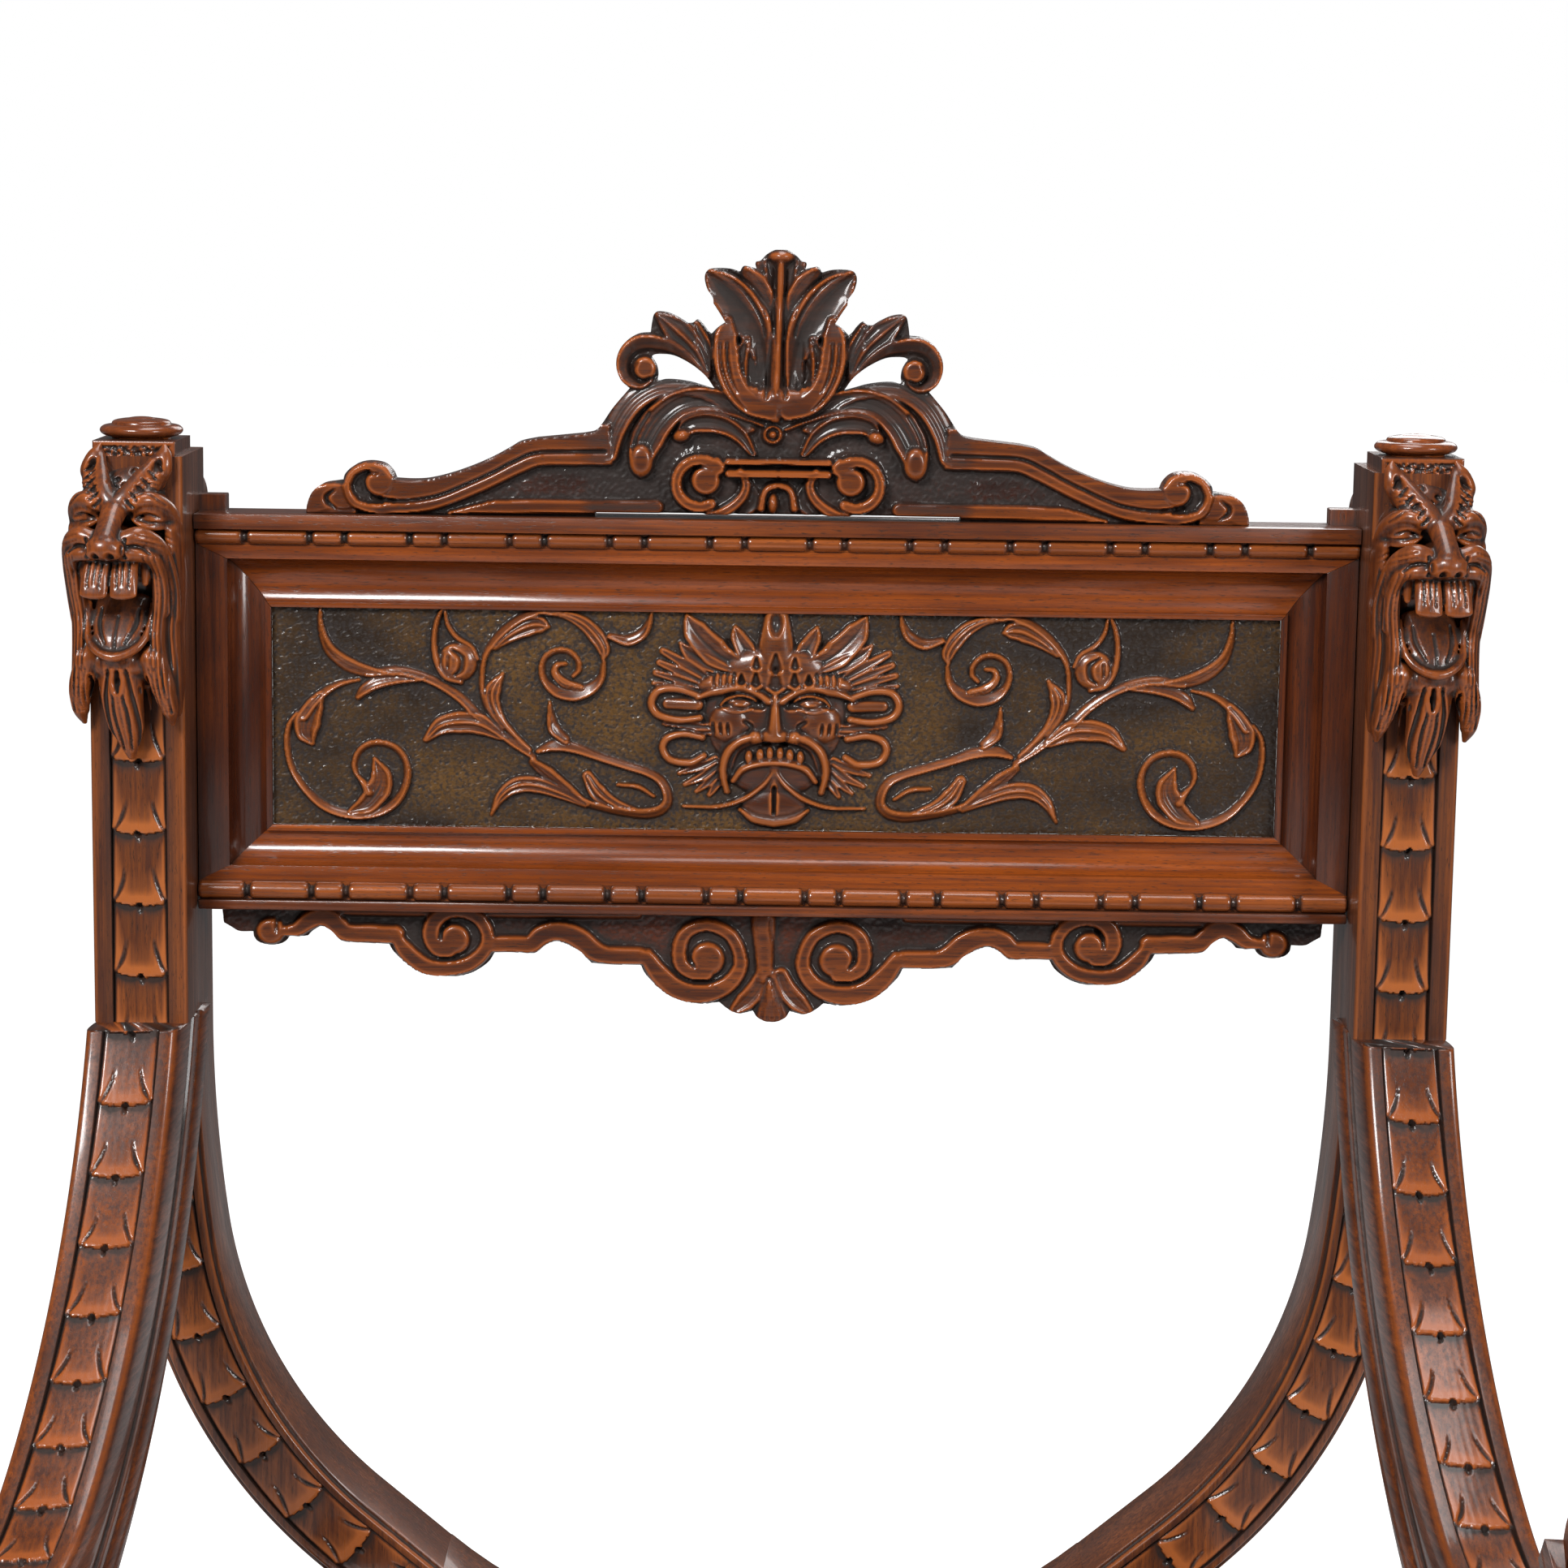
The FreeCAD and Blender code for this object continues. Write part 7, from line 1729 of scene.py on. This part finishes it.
def button_finial(side):
    """Turned button finial."""
    node = "left_finial" if side < 0 else "right_finial"
    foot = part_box(node)[1].z / MM - FINIAL_RISE
    profile = [(0.05, -13), (4.8, -13), (4.9, -0.2), (12.8, -0.1), (13.0, 0.6), (14.8, 1.0), (16.6, 1.7), (17.7, 2.7),
               (18.0, 3.7), (17.5, 4.8), (16.2, 5.7), (14.4, 6.1), (13.3, 6.1), (12.9, 6.3), (12.7, 7.0), (12.1, 7.6),
               (10.8, 8.1), (8.6, 8.5), (6.6, 8.7), (6.2, 8.5), (5.8, 8.8), (3.6, 9.2), (1.6, 9.35), (1.2, 9.1),
               (0.05, 8.9)]
    rounded_line = smooth_line(profile[3:], 0.4)[0]
    centre = (side * -ARM_X, FINIAL_Y, foot)
    piece = spun(node + "_turned", profile[:3] + [tuple(place) for place in rounded_line], centre, "z")
    note_hollows(piece, 0.5, 3)
    finished(piece, "frame", turned_walnut, "plain_walnut", node)


def petal_rosette(node, facing):
    """Round boss with petals."""
    low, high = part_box(node)
    y0 = (high.y if facing < 0 else low.y) / MM
    z0 = (low.z + high.z) / 2 / MM
    turn = np.linspace(0, 2 * math.pi, 241)[None, :]
    rear_radii = [0.05, 12, 25, ROSETTE_RADIUS - 0.1, ROSETTE_RADIUS]
    r = np.concatenate((rear_radii, np.linspace(ROSETTE_RADIUS, 0.05, 90)))[:, None]
    share = np.clip(r / ROSETTE_RADIUS, 0, 1)
    petal = np.abs(np.sin(turn * 6))
    inner = np.abs(np.cos(turn * 6))
    height = 12.0 + 3.2 * np.clip(1 - np.abs(share - 0.93) / 0.07, 0, 1) ** 0.5
    reach = np.clip((share - 0.34) / 0.5, 0, 1)
    outline = 0.84 - 0.13 * (1 - petal) ** 1.6
    on = np.clip((outline - share) / 0.05, 0, 1) * np.clip((share - 0.26) / 0.05, 0, 1)
    rib = np.exp(-((petal - 1) / 0.05) ** 2)
    height = height + on * (2.2 + 2.6 * petal ** 0.8 * (0.45 + 0.55 * reach) - 1.1 * rib)
    under = np.clip((0.9 - share) / 0.03, 0, 1) * (1 - on) * np.clip((share - 0.26) / 0.03, 0, 1)
    height = height + under * inner * 1.4
    boss = np.clip(1 - (share / 0.24) ** 2, 0, 1)
    height = np.where(share < 0.27, 12.4 + 7.2 * np.sqrt(boss) - 0.9 * np.clip(np.cos(turn * 8), 0, 1) * boss, height)
    back = np.arange(len(r))[:, None] < len(rear_radii) - 1
    height = np.where(back, 0.0, height)
    # Dirt and painted shade between the petals and round the boss.
    dirt = np.where(back, 0, hollows(height, 2, 6)) * 0.3
    points = np.stack((0 + r * np.cos(turn), y0 + facing * height, z0 + r * np.sin(turn)), -1)
    piece = grid_piece(node + "_carved", points)
    note(piece, "recess", dirt)
    closed_up(piece, smooth=50)
    finished(piece, "frame", carved_upright, "carved_walnut", node)


for node in ("top_bead", "bottom_bead"):
    strung_beads(node)
for side in (-1, 1):
    button_finial(side)
petal_rosette("front_rosette", -1)
petal_rosette("rear_rosette", 1)


# ---------------------------------------------------------------- place, light and camera

def pale_floor():
    """Pale floor that keeps the chair's shadow."""
    bpy.ops.object.select_all(action="DESELECT")
    bpy.ops.mesh.primitive_plane_add(size=40, location=(0, 0, 0))
    floor = bpy.context.object
    floor.name = "floor"
    material = bpy.data.materials.new("pale_floor")
    material.use_nodes = True
    tree = material.node_tree
    shader = tree.nodes["Principled BSDF"]
    shader.inputs["Base Color"].default_value = (0.5, 0.5, 0.5, 1)
    shader.inputs["Roughness"].default_value = 0.7
    lift = put(tree, "ShaderNodeEmission")
    lift.inputs["Strength"].default_value = 0.97
    seen = put(tree, "ShaderNodeLightPath")
    both = put(tree, "ShaderNodeAddShader")
    choice = put(tree, "ShaderNodeMixShader")
    wire(tree, shader.outputs["BSDF"], both.inputs[0])
    wire(tree, lift.outputs["Emission"], both.inputs[1])
    wire(tree, seen.outputs["Is Camera Ray"], choice.inputs["Fac"])
    wire(tree, shader.outputs["BSDF"], choice.inputs[1])
    wire(tree, both.outputs["Shader"], choice.inputs[2])
    wire(tree, choice.outputs["Shader"], tree.nodes["Material Output"].inputs["Surface"])
    floor.data.materials.append(material)


def white_room():
    """Plain white surroundings, dim enough for the lamps to shape the carving."""
    world = bpy.data.worlds.new("white_room")
    bpy.context.scene.world = world
    world.use_nodes = True
    tree = world.node_tree
    for node in list(tree.nodes):
        tree.nodes.remove(node)
    seen = put(tree, "ShaderNodeLightPath")
    white = put(tree, "ShaderNodeBackground")
    white.inputs["Color"].default_value = (1, 1, 1, 1)
    white.inputs["Strength"].default_value = 1.0
    room = put(tree, "ShaderNodeBackground")
    room.inputs["Color"].default_value = (0.95, 0.97, 1.0, 1)
    room.inputs["Strength"].default_value = 0.11
    choice = put(tree, "ShaderNodeMixShader")
    shown = maths(tree, "MAXIMUM", seen.outputs["Is Camera Ray"], seen.outputs["Is Transmission Ray"])
    wire(tree, shown, choice.inputs["Fac"])
    wire(tree, room.outputs["Background"], choice.inputs[1])
    wire(tree, white.outputs["Background"], choice.inputs[2])
    end = put(tree, "ShaderNodeOutputWorld")
    wire(tree, choice.outputs["Shader"], end.inputs["Surface"])


def soft_lamp(name, place, aim, size, watts):
    """Softbox aimed at a point."""
    lamp = bpy.data.lights.new(name, "AREA")
    lamp.shape = "RECTANGLE"
    lamp.size, lamp.size_y = size
    lamp.energy = watts
    holder = bpy.data.objects.new(name, lamp)
    bpy.context.scene.collection.objects.link(holder)
    holder.location = place
    holder.rotation_euler = (Vector(aim) - Vector(place)).to_track_quat("-Z", "Y").to_euler()


SENSOR, FOCAL_PIXELS, PHOTO_PIXELS = 36.0, 4700.0, 1932.0
CAMERA_PLACE, CAMERA_PITCH, CAMERA_ROLL = (0.0044, -1.5285, 1.0735), 9.0, 0.78


def photo_camera():
    """Camera at the photograph's angle."""
    camera = bpy.data.cameras.new("camera")
    camera.sensor_width = SENSOR
    camera.lens = SENSOR * FOCAL_PIXELS / PHOTO_PIXELS
    camera.clip_end = 60
    holder = bpy.data.objects.new("camera", camera)
    bpy.context.scene.collection.objects.link(holder)
    holder.location = CAMERA_PLACE
    tilt = Euler((math.radians(90 - CAMERA_PITCH), 0, 0)).to_matrix()
    roll = Matrix.Rotation(math.radians(CAMERA_ROLL), 3, "Z")
    holder.rotation_euler = (tilt @ roll).to_euler()
    bpy.context.scene.camera = holder


pale_floor()
white_room()
CHAIR_MIDDLE = (0, 0.1, 0.8)
soft_lamp("key_softbox", (-1.1, -1.9, 2.3), (0, 0.1, 0.85), (0.8, 0.7), 74)
soft_lamp("fill_softbox", (1.7, -1.6, 1.5), CHAIR_MIDDLE, (0.6, 0.9), 30)
soft_lamp("top_softbox", (0.1, 0.1, 2.7), CHAIR_MIDDLE, (1.5, 0.8), 22)
soft_lamp("rear_softbox", (0.8, 2.2, 1.9), CHAIR_MIDDLE, (1.4, 1.2), 16)
photo_camera()
bpy.context.scene.view_settings.view_transform = "Standard"
